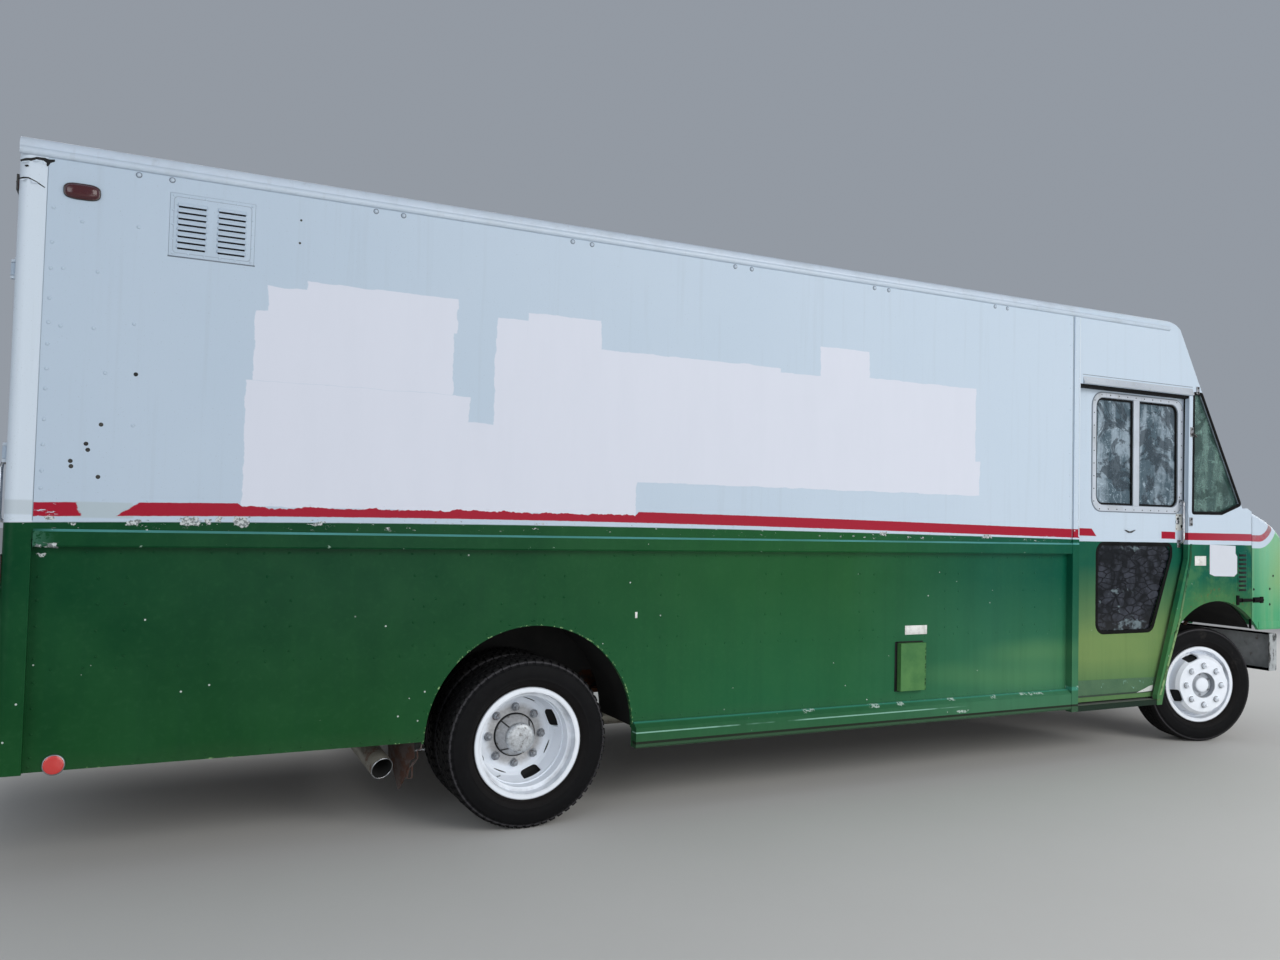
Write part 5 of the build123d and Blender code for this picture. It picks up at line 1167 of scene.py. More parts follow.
def vent_plate(name, side):
    """pressed louvres in two columns on a riveted plate"""
    p = Piece(name + "_vent_plate")
    paint, dark = M["wall"], M["seam_dark"]
    y0 = HALF_W
    # grey outline round the plate and a darker line under its lower edge: painted shade at the plate's edges
    p.slab(-3441.5, -3107.5, *sorted((side * (y0 - 0.5), side * (y0 + 0.5))), 2539.5, 2805.5, M["seam_pale"], 0.0)
    p.slab(-3443.0, -3104.0, *sorted((side * (y0 - 0.5), side * (y0 + 0.8))), 2536.0, 2541.5, M["seam"], 0.0)
    inner = rounded([(-3424.0, 2556.0), (-3125.0, 2556.0), (-3125.0, 2789.0), (-3424.0, 2789.0)], 14, 5)
    p.ring(rounded([(-3427.0, 2553.0), (-3122.0, 2553.0), (-3122.0, 2792.0), (-3427.0, 2792.0)], 16, 5), inner, "y", side * (y0 + 2.0), side * (y0 + 3.1), M["seam_pale"])
    x0, x1, z0, z1 = -3440.0, -3109.0, 2541.0, 2804.0
    p.slab(x0, x1, *sorted((side * y0, side * (y0 + 2.5))), z0, z1, paint, 1.0)
    for xa, xb in ((-3409.0, -3301.0), (-3254.0, -3146.0)):
        for k in range(8):
            z = 2757.0 - 25.0 * k
            prof = [(0.0, z + 10.0), (3.0, z + 8.0), (6.5, z + 3.0), (9.0, z - 4.0), (9.0, z - 5.5), (7.6, z - 5.5), (5.2, z + 1.5), (0.0, z + 5.0)]
            for xs, ys in (((xa, xb), 0),):
                verts = []
                for x in xs:
                    verts += [(x, side * (y0 + 2.5 + d), zz) for d, zz in prof]
                m = len(prof)
                faces = [tuple((i, (i + 1) % m, m + (i + 1) % m, m + i)) for i in range(m)]
                faces += [tuple(range(m)), tuple(range(2 * m - 1, m - 1, -1))]
                p.put(verts, faces, paint, False)
            # closed ends and the dark slot under the hood of each louvre, the dark being painted shade
            for x in (xa, xb):
                s = -1 if x == xa else 1
                verts = [(x, side * (y0 + 2.5), z + 10), (x, side * (y0 + 11.4), z - 5.5), (x, side * (y0 + 2.5), z - 5.5),
                         (x + s * 4.0, side * (y0 + 2.5), z + 4), (x + s * 4.0, side * (y0 + 2.5), z - 5.5)]
                p.put(verts, [(0, 1, 3), (1, 4, 3), (1, 2, 4), (0, 2, 1), (0, 3, 4, 2)], paint, False)
            p.slab(xa + 1, xb - 1, *sorted((side * (y0 + 2.3), side * (y0 + 2.9))), z - 11.5, z - 4.5, dark, 0.0)
    for i in range(6):
        x = x0 + 13 + i * (x1 - x0 - 26) / 5
        for z in (z0 + 11, z1 - 11):
            p.dome((x, side * (y0 + 2.5), z), (0, side, 0), 5.0, 2.4, paint, 8)
    for i in range(1, 4):
        z = z0 + 11 + i * (z1 - z0 - 22) / 4
        for x in (x0 + 11, x1 - 11):
            p.dome((x, side * (y0 + 2.5), z), (0, side, 0), 5.0, 2.4, paint, 8)
    p.done("van", "body_white")


def wall_lamps(name, side):
    n = (0, side, 0)
    # oval marker lamp: low base, ribbed lens
    p = Piece(name + "_rear_marker_lamp")
    power = lambda v: math.copysign(abs(v) ** 0.62, v)
    oval = lambda a, b, z=0.0: [(-3760 + a * power(math.cos(t * math.pi / 16)), 2752 + b * power(math.sin(t * math.pi / 16))) for t in range(32)]
    yb = HALF_W
    rings = ((0.0, 66, 33, M["black"]), (5.0, 66, 33, M["black"]), (6.0, 63, 30, M["black"]), (6.0, 60, 27.5, M["marker_red"]), (15.0, 58, 25.5, M["marker_red"]),
             (20.0, 50, 19, M["marker_red"]), (22.0, 30, 10, M["marker_red"]))
    for (d0, a0, b0, m0), (d1, a1, b1, m1) in zip(rings, rings[1:]):
        lo = [(x, side * (yb + d0), z) for x, z in oval(a0, b0)]
        hi = [(x, side * (yb + d1), z) for x, z in oval(a1, b1)]
        p.put(lo + hi, [(i, (i + 1) % 32, 32 + (i + 1) % 32, 32 + i) for i in range(32)], m1, True)
    top = [(x, side * (yb + 22.0), z) for x, z in oval(30, 10)]
    p.put(top, [tuple(range(32))], M["marker_red"], True)
    back = [(x, side * yb, z) for x, z in oval(66, 33)]
    p.put(back, [tuple(range(32))], M["black"], False)
    p.done("van", "red_lens")
    # round reflector on the skirt
    p = Piece(name + "_skirt_reflector")
    p.rev([(0.0, 42.0), (4.0, 41.0), (6.0, 38.0), (6.0, 36.0)], (-3774, side * LOW_Y, 466), n, M["aluminium"], 36)
    p.rev([(5.0, 37.5), (7.5, 36.0), (9.0, 30.0), (9.5, 0.0)], (-3774, side * LOW_Y, 466), n, M["reflector"], 36)
    p.done("van", "red_lens")
    # amber marker lamps low on the front of the body; only the left side's is made
    p = Piece(name + "_front_marker_lamp")
    for x, z in ((1700.0, 2840.0),):
        p.slab(x - 52, x + 52, *sorted((side * HALF_W, side * (HALF_W + 5))), z - 20, z + 20, M["black"], 3.0, 2)
        p.slab(x - 46, x + 46, *sorted((side * (HALF_W + 4), side * (HALF_W + 15))), z - 15, z + 15, M["amber"], 6.0, 3)
    if side > 0:
        p.done("van", "lamp")


for name, side in SIDES:
    wall_rivets(name, side)
    vent_plate(name, side)
    wall_lamps(name, side)

# blank label over the fuel flap, and an old mark behind the arch
p = Piece("fuel_label_blank")
p.slab(535, 702, -LOW_Y - 1.2, -LOW_Y, 848, 901, M["label"], 0.4, 1)
p.slab(-1229, -1216, -LOW_Y - 0.8, -LOW_Y, 986, 1017, M["label"], 0.3, 1)
p.done("van", "body_white")

# bolts in pairs under the roof moulding
p = Piece("moulding_bolts")
for side in (-1, 1):
    for x in (-3560.0, -3436.0, -2600.0, -2476.0, -1640.0, -1536.0, -700.0, -596.0, 240.0, 344.0, 1180.0, 1284.0):
        p.dome((x, side * (HALF_W), 2856.0), (0, side, 0), 8.5, 7.0, M["moulding"], 12)
        p.rev([(0.0, 12.5), (1.2, 12.0), (1.2, 8.0)], (x, side * HALF_W, 2856.0), (0, side, 0), M["seam"], 14)
p.done("van", "steel")

# torn and lifted skin at the top of the right rear corner post
p = Piece("corner_post_torn_skin")
y = -HALF_W
scraps = (
    ((-3977, 2845), (-3958, 2855), (-3940, 2858), (-3921, 2866), (-3893, 2867), (-3880, 2863), (-3860, 2866), (-3859, 2858), (-3874, 2850),
     (-3880, 2838), (-3886, 2833), (-3889, 2848), (-3902, 2855), (-3922, 2856), (-3938, 2847), (-3956, 2844), (-3975, 2838)),
    ((-3981, 2772), (-3964, 2779), (-3946, 2781), (-3917, 2768), (-3889, 2750), (-3890, 2747), (-3919, 2763), (-3947, 2776), (-3965, 2772), (-3979, 2766)),
    ((-3962, 2826), (-3950, 2830), (-3946, 2824), (-3957, 2820)),
)
for pts in scraps:
    p.prism([(x, z) for x, z in pts], "y", y - 0.9, y, M["seam_dark"], 0.0)
# pale lips of skin curled out along the tears
for a, b, tip, lift in (((-3972, 2840), (-3944, 2848), (-3958, 2834), 8.0), ((-3936, 2850), (-3906, 2856), (-3922, 2842), 9.0),
                        ((-3900, 2856), (-3886, 2846), (-3896, 2838), 7.0), ((-3976, 2768), (-3950, 2776), (-3964, 2762), 6.0),
                        ((-3940, 2774), (-3912, 2762), (-3930, 2758), 7.0)):
    verts = [(a[0], y, a[1]), (b[0], y, b[1]), (tip[0], y - lift, tip[1]), (a[0], y - 0.8, a[1]), (b[0], y - 0.8, b[1]), (tip[0], y - lift - 0.8, tip[1])]
    p.put(verts, [(0, 1, 2), (5, 4, 3), (0, 3, 4, 1), (1, 4, 5, 2), (2, 5, 3, 0)], M["post"], False)
p.done("van", "body_white")

# dark slabs round the fuel flap: painted shadow in the gap
p = Piece("fuel_flap_gap_painted_shadow")
y0, y1 = -LOW_Y - 0.6, -LOW_Y + 0.5
p.slab(461, 481, y0, y1, 520, 808, M["seam_dark"], 0.0)
p.slab(470, 672, y0, y1, 801, 810, M["seam_dark"], 0.0)
p.slab(481, 668, y0, y1, 519, 526, M["seam_dark"], 0.0)
p.done("van", "rubber")


# ---------------------------------------------------------------------------
# Cab doors: window frames, gaskets, handles, drip rails
# ---------------------------------------------------------------------------
UP_IN = [(2152.0, 1658.0), (2966.0, 1658.0), (2966.0, 2372.0), (2152.0, 2372.0)]
UP_OUT = [(2108.0, 1609.0), (3020.0, 1609.0), (3028.0, 2411.0), (2108.0, 2411.0)]
LOW_WIN = [(2172.0, 1396.0), (2905.0, 1396.0), (2905.0, 1318.0), (2708.0, 812.0), (2172.0, 812.0)]


def even(points, n):
    """the same outline in n points, evenly spaced along it, from its first point"""
    pts = [Vector(p) for p in points] + [Vector(points[0])]
    run = [0.0]
    for a, b in zip(pts, pts[1:]):
        run.append(run[-1] + (b - a).length)
    out = []
    for k in range(n):
        d = run[-1] * k / n
        i = max(j for j in range(len(run) - 1) if run[j] <= d + 1e-9)
        t = (d - run[i]) / max(run[i + 1] - run[i], 1e-9)
        q = pts[i].lerp(pts[i + 1], t)
        out.append((q.x, q.y))
    return out


def gasket(p, points, radii, inset, width, y0, depth, side, material, seg=7):
    """a rounded bead that follows an outline just inside it"""
    loop = rounded(grown(points, -inset), [max(r - inset, 3.0) for r in radii], seg)
    path = [(x, side * y0, z) for x, z in loop]
    # bead section: flattened tube
    pts = [Vector(q) for q in path]
    n = len(pts)
    verts, faces = [], []
    sec = [(-width / 2, 0.0), (-width / 2, depth * 0.6), (-width * 0.28, depth), (width * 0.28, depth), (width / 2, depth * 0.6), (width / 2, 0.0)]
    k = len(sec)
    for i in range(n):
        t = (pts[(i + 1) % n] - pts[i - 1]).normalized()
        w = Vector((t.z, 0, -t.x))
        for a, b in sec:
            verts.append(pts[i] + w * a + Vector((0, side * b, 0)))
    for i in range(n):
        j = (i + 1) % n
        for a in range(k):
            b = (a + 1) % k
            faces.append((i * k + a, i * k + b, j * k + b, j * k + a))
    p.put(verts, faces, material, False)


def door_trim(name, side):
    body = name + "_cab_door"
    paint = M["door"]
    y = DOOR_Y
    # riveted frame round the upper window, with its divider and black gasket
    p = Piece(name + "_door_window_frame")
    n = 132
    out = even(rounded(UP_OUT, [90, 90, 84, 96], 12), n)
    inn = even(rounded(UP_IN, 62, 10), n)
    mid_o = even(rounded(grown(UP_OUT, -7), [83, 83, 77, 89], 12), n)
    mid_i = even(rounded(grown(UP_IN, 4), 66, 10), n)
    paint = M["window_frame"]
    p.ring(out, inn, "y", side * (y - 0.2), side * (y + 2.5), M["seam"])
    p.ring(mid_o, mid_i, "y", side * (y + 2.4), side * (y + 5.0), paint)
    p.slab(2512, 2570, *sorted((side * (y - 2), side * (y + 5.5))), 1655, 2375, paint, 1.5)
    loop = even(rounded(grown(UP_OUT, -20), [50, 50, 42, 66], 10), 38)
    for x, z in loop:
        p.dome((x, side * (y + 5.0), z), (0, side, 0), 4.2, 2.2, M["seam_dark"], 8)
    p.done(body, "body_white", smooth_angle=30)
    p = Piece(name + "_door_gaskets")
    rub = M["rubber"]
    for x0, x1, rr in ((2152.0, 2512.0, (62, 4, 4, 62)), (2570.0, 2966.0, (4, 62, 62, 4))):
        pts = [(x0, 1658.0), (x1, 1658.0), (x1, 2372.0), (x0, 2372.0)]
        gasket(p, pts, rr, 6.0, 14.0, y - 9.0, 8.0, side, rub)
    gasket(p, LOW_WIN, [62] * 5, -3.0, 25.0, y - 4.0, 6.5, side, rub)
    # meeting rail of the sliding window
    p.slab(2506, 2514, *sorted((side * (y - 20), side * (y - 8))), 1664, 2366, M["rubber"], 2.0)
    p.done(body, "rubber")
    # V shaped catch, pull handle with its plates, and latch at the front edge
    p = Piece(name + "_door_hardware")
    ch = M["chrome"]
    v = [(2428, 1493), (2440, 1493), (2483, 1482), (2527, 1493), (2539, 1493), (2500, 1474), (2467, 1474)]
    p.prism(v, "y", side * y, side * (y + 7), M["black"], 1.5)
    hx = 2986.0
    pts = [(hx, side * (y + 2), 1408), (hx, side * (y + 20), 1412), (hx, side * (y + 34), 1424), (hx, side * (y + 38), 1442)]
    pts += [(hx, side * (y + 38), z) for z in (1480, 1540, 1600, 1650)]
    pts += [(hx, side * (y + 38), 1678), (hx, side * (y + 34), 1694), (hx, side * (y + 20), 1704), (hx, side * (y + 2), 1708)]
    p.tube(pts, 8.0, ch, 12)
    for z in (1404, 1712):
        p.slab(hx - 18, hx + 18, *sorted((side * y, side * (y + 4))), z - 26, z + 26, M["aluminium"], 2.0)
        for dz in (-17, 17):
            p.dome((hx, side * (y + 4), z + dz), (0, side, 0), 5.5, 3.0, M["steel"], 10)
    # lock and battered plate beside it
    p.prism([(2950, 1498), (2990, 1494), (3030, 1500), (3028, 1560), (3031, 1612), (2992, 1616), (2952, 1611), (2955, 1556)], "y",
            side * (y + 0.2), side * (y + 2.4), M["torn_edge"], 0.6)
    for q in (((2958, 1580), (2978, 1590), (2990, 1576), (2972, 1566)), ((3000, 1532), (3018, 1540), (3024, 1522), (3008, 1512)), ((2986, 1604), (3002, 1606), (3004, 1596), (2990, 1594))):
        p.prism(list(q), "y", side * (y + 2.3), side * (y + 2.8), M["seam_dark"], 0.0)
    # black strip along the door's front edge: painted shadow in the gap at the pillar
    p.prism([(3031, 1430), (3043, 1430), (3051, 2422), (3034, 2422)], "y", side * (y + 0.1), side * (y + 1.6), M["rubber"], 0.0)
    p.rev([(0, 16), (8, 15), (10, 12), (10, 0)], (2966, side * y, 1556), (0, side, 0), ch, 20)
    p.rev([(9, 6), (11, 5), (11, 0)], (2966, side * y, 1556), (0, side, 0), M["under"], 14)
    for x, z in ((2960, 1508), (3020, 1508), (2960, 1604), (3020, 1604)):
        p.dome((x, side * (y + 2.4), z), (0, side, 0), 4.5, 2.2, M["steel"], 8)
    p.done(body, "steel", smooth_angle=35)
    # kick plate
    p = Piece(name + "_door_kick_plate")
    kick = M["kick"]
    p.prism([(1932, 392), (2716, 392), (2728, 400), (2758, 492), (1932, 504)], "y", side * y, side * (y + 2.0), kick, 0.7)
    for i in range(10):
        x = 1958 + i * 84.0
        p.dome((x, side * (y + 2.0), 486.0 + (4 - i * 0.9)), (0, side, 0), 4.5, 1.8, kick, 8)
        if x < 2700:
            p.dome((x, side * (y + 2.0), 408.0), (0, side, 0), 4.5, 1.8, kick, 8)
    # corner of the plate torn loose at the front and bent outwards
    w = M["torn_edge"]
    tip = [(2560, 396, 2.4), (2640, 398, 3.4), (2716, 402, 3.6), (2722, 440, 3.9), (2690, 436, 3.8), (2640, 420, 4.0)]
    verts = [(x, side * (y + d), z) for x, z, d in tip] + [(x, side * (y + d - 1.0), z) for x, z, d in tip]
    k = len(tip)
    p.put(verts, [tuple(range(k)), tuple(range(2 * k - 1, k - 1, -1))] + [(i, (i + 1) % k, k + (i + 1) % k, k + i) for i in range(k)], w, False)
    p.done(body, "body_green")
    # rollers' hangers on the door's inner face, and inner pull
    p = Piece(name + "_door_inner_gear")
    for x in (2050.0, 2860.0):
        p.slab(x - 40, x + 40, *sorted((side * (y - 38), side * (y - 32.2))), 2330, 2424, M["steel"], 1.5)
    p.tube([(2090, side * (y - 32), 1480), (2090, side * (y - 43), 1488), (2090, side * (y - 45), 1560), (2090, side * (y - 43), 1632), (2090, side * (y - 32), 1640)], 6.0, M["steel"], 10)
    p.done(body, "steel")


def kick_metal():
    m = Mat("kick_plate_paint")
    g = m.noise(6.0, 5.0, 0.7)
    sc = m.noise(1.0, 5.0, 0.7, m.scaled(8.0, 8.0, 60.0))
    c = m.mix(m.step(g, 0.50, 0.3), srgb(58, 96, 66), srgb(74, 110, 76))
    c = m.mix(m.mul(m.step(sc, 0.62, 0.06), 0.25), c, srgb(96, 120, 84))
    spot = m.mul(m.step(m.noise(20.0, 4.0, 0.7), 0.64, 0.015), m.step(m.noise(2.6, 2.0), 0.50, 0.10))
    c = m.mix(m.mul(spot, 0.8), c, srgb(140, 184, 172))
    ends = m.mul(m.inv(m.step(m.z, 0.404, 0.004)), 0.8)
    c = m.mix(ends, c, srgb(20, 34, 26))
    return m.shade(c, m.math("MULTIPLY_ADD", g, 0.2, 0.4), 0.0, m.bump(g, 0.2, 0.001))


M["kick"] = kick_metal()
for name, side in SIDES:
    door_trim(name, side)

# drip rail and pillar strip of each sliding door, fixed to the body
for name, side in SIDES:
    p = Piece(name + "_door_track")
    paint = M["cowl"]
    o = HALF_W
    # drip rail above the opening, its lip turned up
    p.prism([(side * (o - 2), 2443), (side * (o + 11), 2443), (side * (o + 13), 2447), (side * (o + 13), 2458), (side * (o + 10), 2458),
             (side * (o + 9), 2450), (side * (o - 2), 2499)], "x", 1962, 3050, M["drip"], 0.0)
    for i in range(12):
        x = 1990 + i * 94.0
        p.dome((x, side * (o + 4.5), 2474), (0, side * 0.97, 0.25), 4.5, 2.2, paint, 8)
    # black slab in the gap behind the drip rail: painted shadow
    p.slab(1940, 3052, *sorted((side * (DOOR_Y + 1.5), side * (o - 3))), 2421, 2443, M["rubber"], 0.0)
    # grey line along the drip rail's top: painted shadow
    p.slab(1958, 3050, *sorted((side * (o - 1), side * (o + 0.8))), 2499, 2503, M["seam"], 0.0)
    # pillar strip between door and quarter window
    p.prism([(3006, 1618), (3044, 1618), (3054, 2438), (3016, 2438)], "y", side * (o - 6), side * (o + 2), paint, 1.0)
    p.done("van", "body_white", smooth_angle=30)

# bright rounded head and rivets on the post at the door opening's rear edge
for name, side in SIDES:
    p = Piece(name + "_door_post_trim")
    o = HALF_W + 8.0
    paint = M["post"]
    for z in [1480.0 + 116.0 * k for k in range(12)]:
        for x in (1883.0, 1913.0):
            p.dome((x, side * o, z + (0 if x < 1900 else 58.0)), (0, side, 0), 5.0, 2.4, paint, 8)
    # thin grey line beside the post's strip: painted shadow
    p.slab(1867, 1870, *sorted((side * (HALF_W - 1), side * (HALF_W + 1.0))), 1440, 2868, M["seam"], 0.0)
    p.slab(1917, 1926.5, *sorted((side * (o - 2), side * (o + 2.0))), 1442, 2868, paint, 2.5, 3)
    p.done("van", "body_white", smooth_angle=35)


# ---------------------------------------------------------------------------
# Cab front: gaskets, wipers, lamps, louvres, plates
# ---------------------------------------------------------------------------
QUARTER = [(3062.0, 2462.0), (3152.0, 2462.0), (3586.0, 1692.0), (3372.0, 1622.0), (3055.0, 1618.0)]
WS_DIR = Vector((WS_TOP[0] - WS_BASE[0], 0.0, WS_TOP[1] - WS_BASE[1])).normalized()
WS_NRM = Vector((WS_DIR.z, 0.0, -WS_DIR.x))


def ws(h, y, out=0.0):
    """a point on the windshield's plane: h up the slope from its base line"""
    q = Vector((WS_BASE[0], y, WS_BASE[1])) + WS_DIR * h + WS_NRM * out
    return q


for name, side in SIDES:
    p = Piece(name + "_quarter_window_gasket")
    gasket(p, QUARTER, [16] * 5, 3.0, 22.0, HALF_W - 3.0, 7.0, side, M["rubber"], 5)
    p.done("van", "rubber")

p = Piece("windshield_gaskets")
for s in (-1, 1):
    loop = rounded([(34.0, 30.0), (905.0, 30.0), (905.0, 1138.0), (34.0, 1138.0)], 40, 7)
    pts = [ws(h, s * y, -1.0) for h, y in loop]
    n = len(pts)
    sec = [(-15, -6), (-15, 3), (-8, 6.5), (8, 6.5), (15, 3), (15, -6)]
    verts, faces = [], []
    for i in range(n):
        t = (pts[(i + 1) % n] - pts[i - 1]).normalized()
        w = t.cross(WS_NRM).normalized()
        for a, b in sec:
            verts.append(pts[i] + w * a + WS_NRM * b)
    for i in range(n):
        j = (i + 1) % n
        for a in range(6):
            b = (a + 1) % 6
            faces.append((i * 6 + a, i * 6 + b, j * 6 + b, j * 6 + a))
    p.put(verts, faces, M["rubber"], False)
p.done("van", "rubber")

p = Piece("wipers")
for s in (-1, 1):
    piv = ws(-8.0, s * 560.0, 4.0)
    p.rev([(0, 22), (10, 20), (16, 14), (17, 0)], piv, WS_NRM, M["black"], 20)
    tip = ws(430.0, s * 250.0, 22.0)
    a, b = piv + WS_NRM * 14, tip
    p.tube([a, a.lerp(b, 0.3) + WS_NRM * 8, a.lerp(b, 0.7) + WS_NRM * 6, b], 5.0, M["black"], 8)
    d = (ws(430.0, s * 250.0) - ws(0.0, s * 560.0)).normalized()
    q = [ws(430.0, s * 250.0, 12.0) + d * t for t in (-280, -140, 0, 140, 280)]
    p.tube(q, 5.5, M["rubber"], 6)
p.done("van", "black_plastic", smooth_angle=35)

p = Piece("cab_clearance_lamps")
for y in (-1010.0, -190.0, 0.0, 190.0, 1010.0):
    c = Vector((2862.0 if abs(y) < 900 else 2850.0, y, 2951.0 + (0 if abs(y) > 900 else 6.5)))
    at = Matrix.Translation(c) @ Matrix.Rotation(math.radians(14.0), 4, "Y")
    p.slab(-34, 34, -62, 62, -9, 6, M["black"], 5.0, 2, at)
    p.slab(-26, 28, -54, 54, 4, 26, M["amber"], 11.0, 3, at)
p.done("van", "lamp")

# what is left of the mirror brackets, at the top and bottom of the corner posts
for name, side in SIDES:
    p = Piece(name + "_mirror_bracket_remnants")
    o = HALF_W
    for x, z, a in ((3040.0, 2186.0, 34.0), (3036.0, 1560.0, 30.0), (3104.0, 2482.0, 26.0)):
        p.slab(x - 16, x + 16, *sorted((side * (o + 1), side * (o + 5))), z - a, z + a, M["nut"], 1.5)
        for dz in (-0.6 * a, 0.6 * a):
            p.nut((x, side * (o + 5), z + dz), (0, side, 0), 7.5, 5.5, M["black"])
    p.tube([(3040, side * (o + 4), 2172), (3046, side * (o + 16), 2168), (3054, side * (o + 22), 2160), (3060, side * (o + 23), 2150)], 7.0, M["black"], 8)
    p.done("van", "rusty_steel", smooth_angle=35)

# cowl side: louvre strip, patch of fresh white, blank plate, rear flange
for name, side in SIDES:
    p = Piece(name + "_cowl_louvres")
    o = HALF_W
    paint = M["cowl_dark"] if "cowl_dark" in M else M["cowl"]
    p.slab(3550, 3652, *sorted((side * (o - 1), side * (o + 2.5))), 1072, 1360, paint, 1.2)
    for i in range(9):
        z = 1346.0 - i * 31.0
        pts = [(0, z + 5), (2, z + 4), (6, z - 1), (8, z - 8), (8, z - 10), (6, z - 10), (4, z - 3), (0, z)]
        verts = []
        for x in (3562.0, 3640.0):
            verts += [(x, side * (o + 2.4 + 0.45 * d), zz) for d, zz in pts]
        m = len(pts)
        p.put(verts, [(a, (a + 1) % m, m + (a + 1) % m, m + a) for a in range(m)] + [tuple(range(m)), tuple(range(2 * m - 1, m - 1, -1))], paint, False)
        # dark slab under each louvre: painted shade in the slot
        p.slab(3560, 3643, *sorted((side * (o + 2.2), side * (o + 3.6))), z - 25, z - 8, M["seam_dark"], 0.0)
    for x in (3556, 3646):
        for z in (1082, 1216, 1350):
            p.dome((x, side * (o + 2.5), z), (0, side, 0), 4.0, 2.0, paint, 8)
    p.done("van", "body_green")
    p = Piece(name + "_cowl_plates")
    p.slab(3080, 3201, *sorted((side * o, side * (o + 1.6))), 1255, 1322, M["label"], 0.6, 1)
    p.prism([(3241, 1403), (3526, 1396), (3526, 1341), (3545, 1321), (3545, 1200), (3511, 1177), (3293, 1181), (3242, 1196)],
            "y", side * o, side * (o + 0.7), M["patch"], 0.2, 1)
    p.done("van", "body_white")
    # hood latch: a rubber strap over the seam; its catch is on the cowl, its anchor on the hood
    p = Piece(name + "_hood_latch_catch")
    p.slab(3534, 3562, *sorted((side * o, side * (o + 10))), 974, 1042, M["rubber"], 4.0, 3)
    p.slab(3556, 3606, *sorted((side * o, side * (o + 8))), 992, 1022, M["rubber"], 4.0, 3)
    p.tube([(3590, side * (o + 6), 1007), (3620, side * (o + 8), 1007), (3700, side * (o + 9), 1007)], 11.0, M["rubber"], 10)
    p.done("van", "rubber", smooth_angle=35)

# flange along the cowl's rear edge, beside the door
for name, side in SIDES:
    p = Piece(name + "_cowl_rear_flange")
    o = HALF_W
    line = [(2716.0, 380.0), (2918.0, 892.0), (3024.0, 1300.0), (3030.0, 1405.0)]
    w = [(x + 19.0, z) for x, z in line]
    outline_ = line + list(reversed(w))
    p.prism(outline_, "y", side * (o - 1), side * (o + 4.0), M["flange"] if "flange" in M else M["cowl"], 1.2)
    p.done("van", "body_green")


# ---------------------------------------------------------------------------
# Tilting nose: lamps, grille, latch anchors; bumper fittings
# ---------------------------------------------------------------------------
p = Piece("headlamp_trim")
for s in (-1, 1):
    y0, y1 = sorted((s * 608.0, s * 912.0))
    outer = rounded([(y0, 962.0), (y1, 962.0), (y1, 1198.0), (y0, 1198.0)], 22, 5)
    inner = rounded([(y0 + 22, 984.0), (y1 - 22, 984.0), (y1 - 22, 1176.0), (y0 + 22, 1176.0)], 14, 5)
    p.ring(outer, inner, "x", X_NOSE - 6, X_NOSE + 7, M["chrome"])
    cy = s * 760.0
    lens_ = rounded([(y0 + 24, 986.0), (y1 - 24, 986.0), (y1 - 24, 1174.0), (y0 + 24, 1174.0)], 12, 5)
    p.prism(lens_, "x", X_NOSE - 12, X_NOSE - 1.5, M["lamp_clear"], 3.0)
    for k in range(9):
        yy = y0 + 42 + k * 27.5
        p.tube([(X_NOSE - 1.5, yy, 992), (X_NOSE - 1.5, yy, 1168)], 2.2, M["lamp_clear"], 6)
    for dy, dz in ((-138, -104), (138, -104), (-138, 104), (138, 104)):
        p.dome((X_NOSE + 7, cy + dy * 0.98, 1080 + dz), (1, 0, 0), 5.0, 2.5, M["steel"], 8)
    # turn signal below each headlamp
    t0, t1 = sorted((s * 640.0, s * 880.0))
    p.slab(X_NOSE - 2, X_NOSE + 5, t0, t1, 880, 944, M["black"], 3.0)
    p.slab(X_NOSE + 3, X_NOSE + 14, t0 + 7, t1 - 7, 887, 937, M["amber"], 6.0, 3)
p.done("hood", "lamp", smooth_angle=32)

p = Piece("grille_surround")
outer = rounded([(-592.0, 852.0), (592.0, 852.0), (592.0, 1278.0), (-592.0, 1278.0)], 26, 5)
inner = rounded([(-556.0, 884.0), (556.0, 884.0), (556.0, 1246.0), (-556.0, 1246.0)], 12, 5)
p.ring(outer, inner, "x", X_NOSE - 2, X_NOSE + 8, M["chrome"])
for y in range(-540, 541, 180):
    for z in (866, 1264):
        p.dome((X_NOSE + 8, y, z), (1, 0, 0), 5.0, 2.6, M["steel"], 8)
# mesh behind the bars
for k in range(27):
    z = 892.0 + k * 13.2
    p.tube([(X_NOSE - 26, -552, z), (X_NOSE - 26, 552, z)], 1.3, M["black"], 5)
for k in range(60):
    y = -548.0 + k * 18.6
    p.tube([(X_NOSE - 28, y, 888), (X_NOSE - 28, y, 1244)], 1.3, M["black"], 5)
p.done("hood", "bare_aluminium")

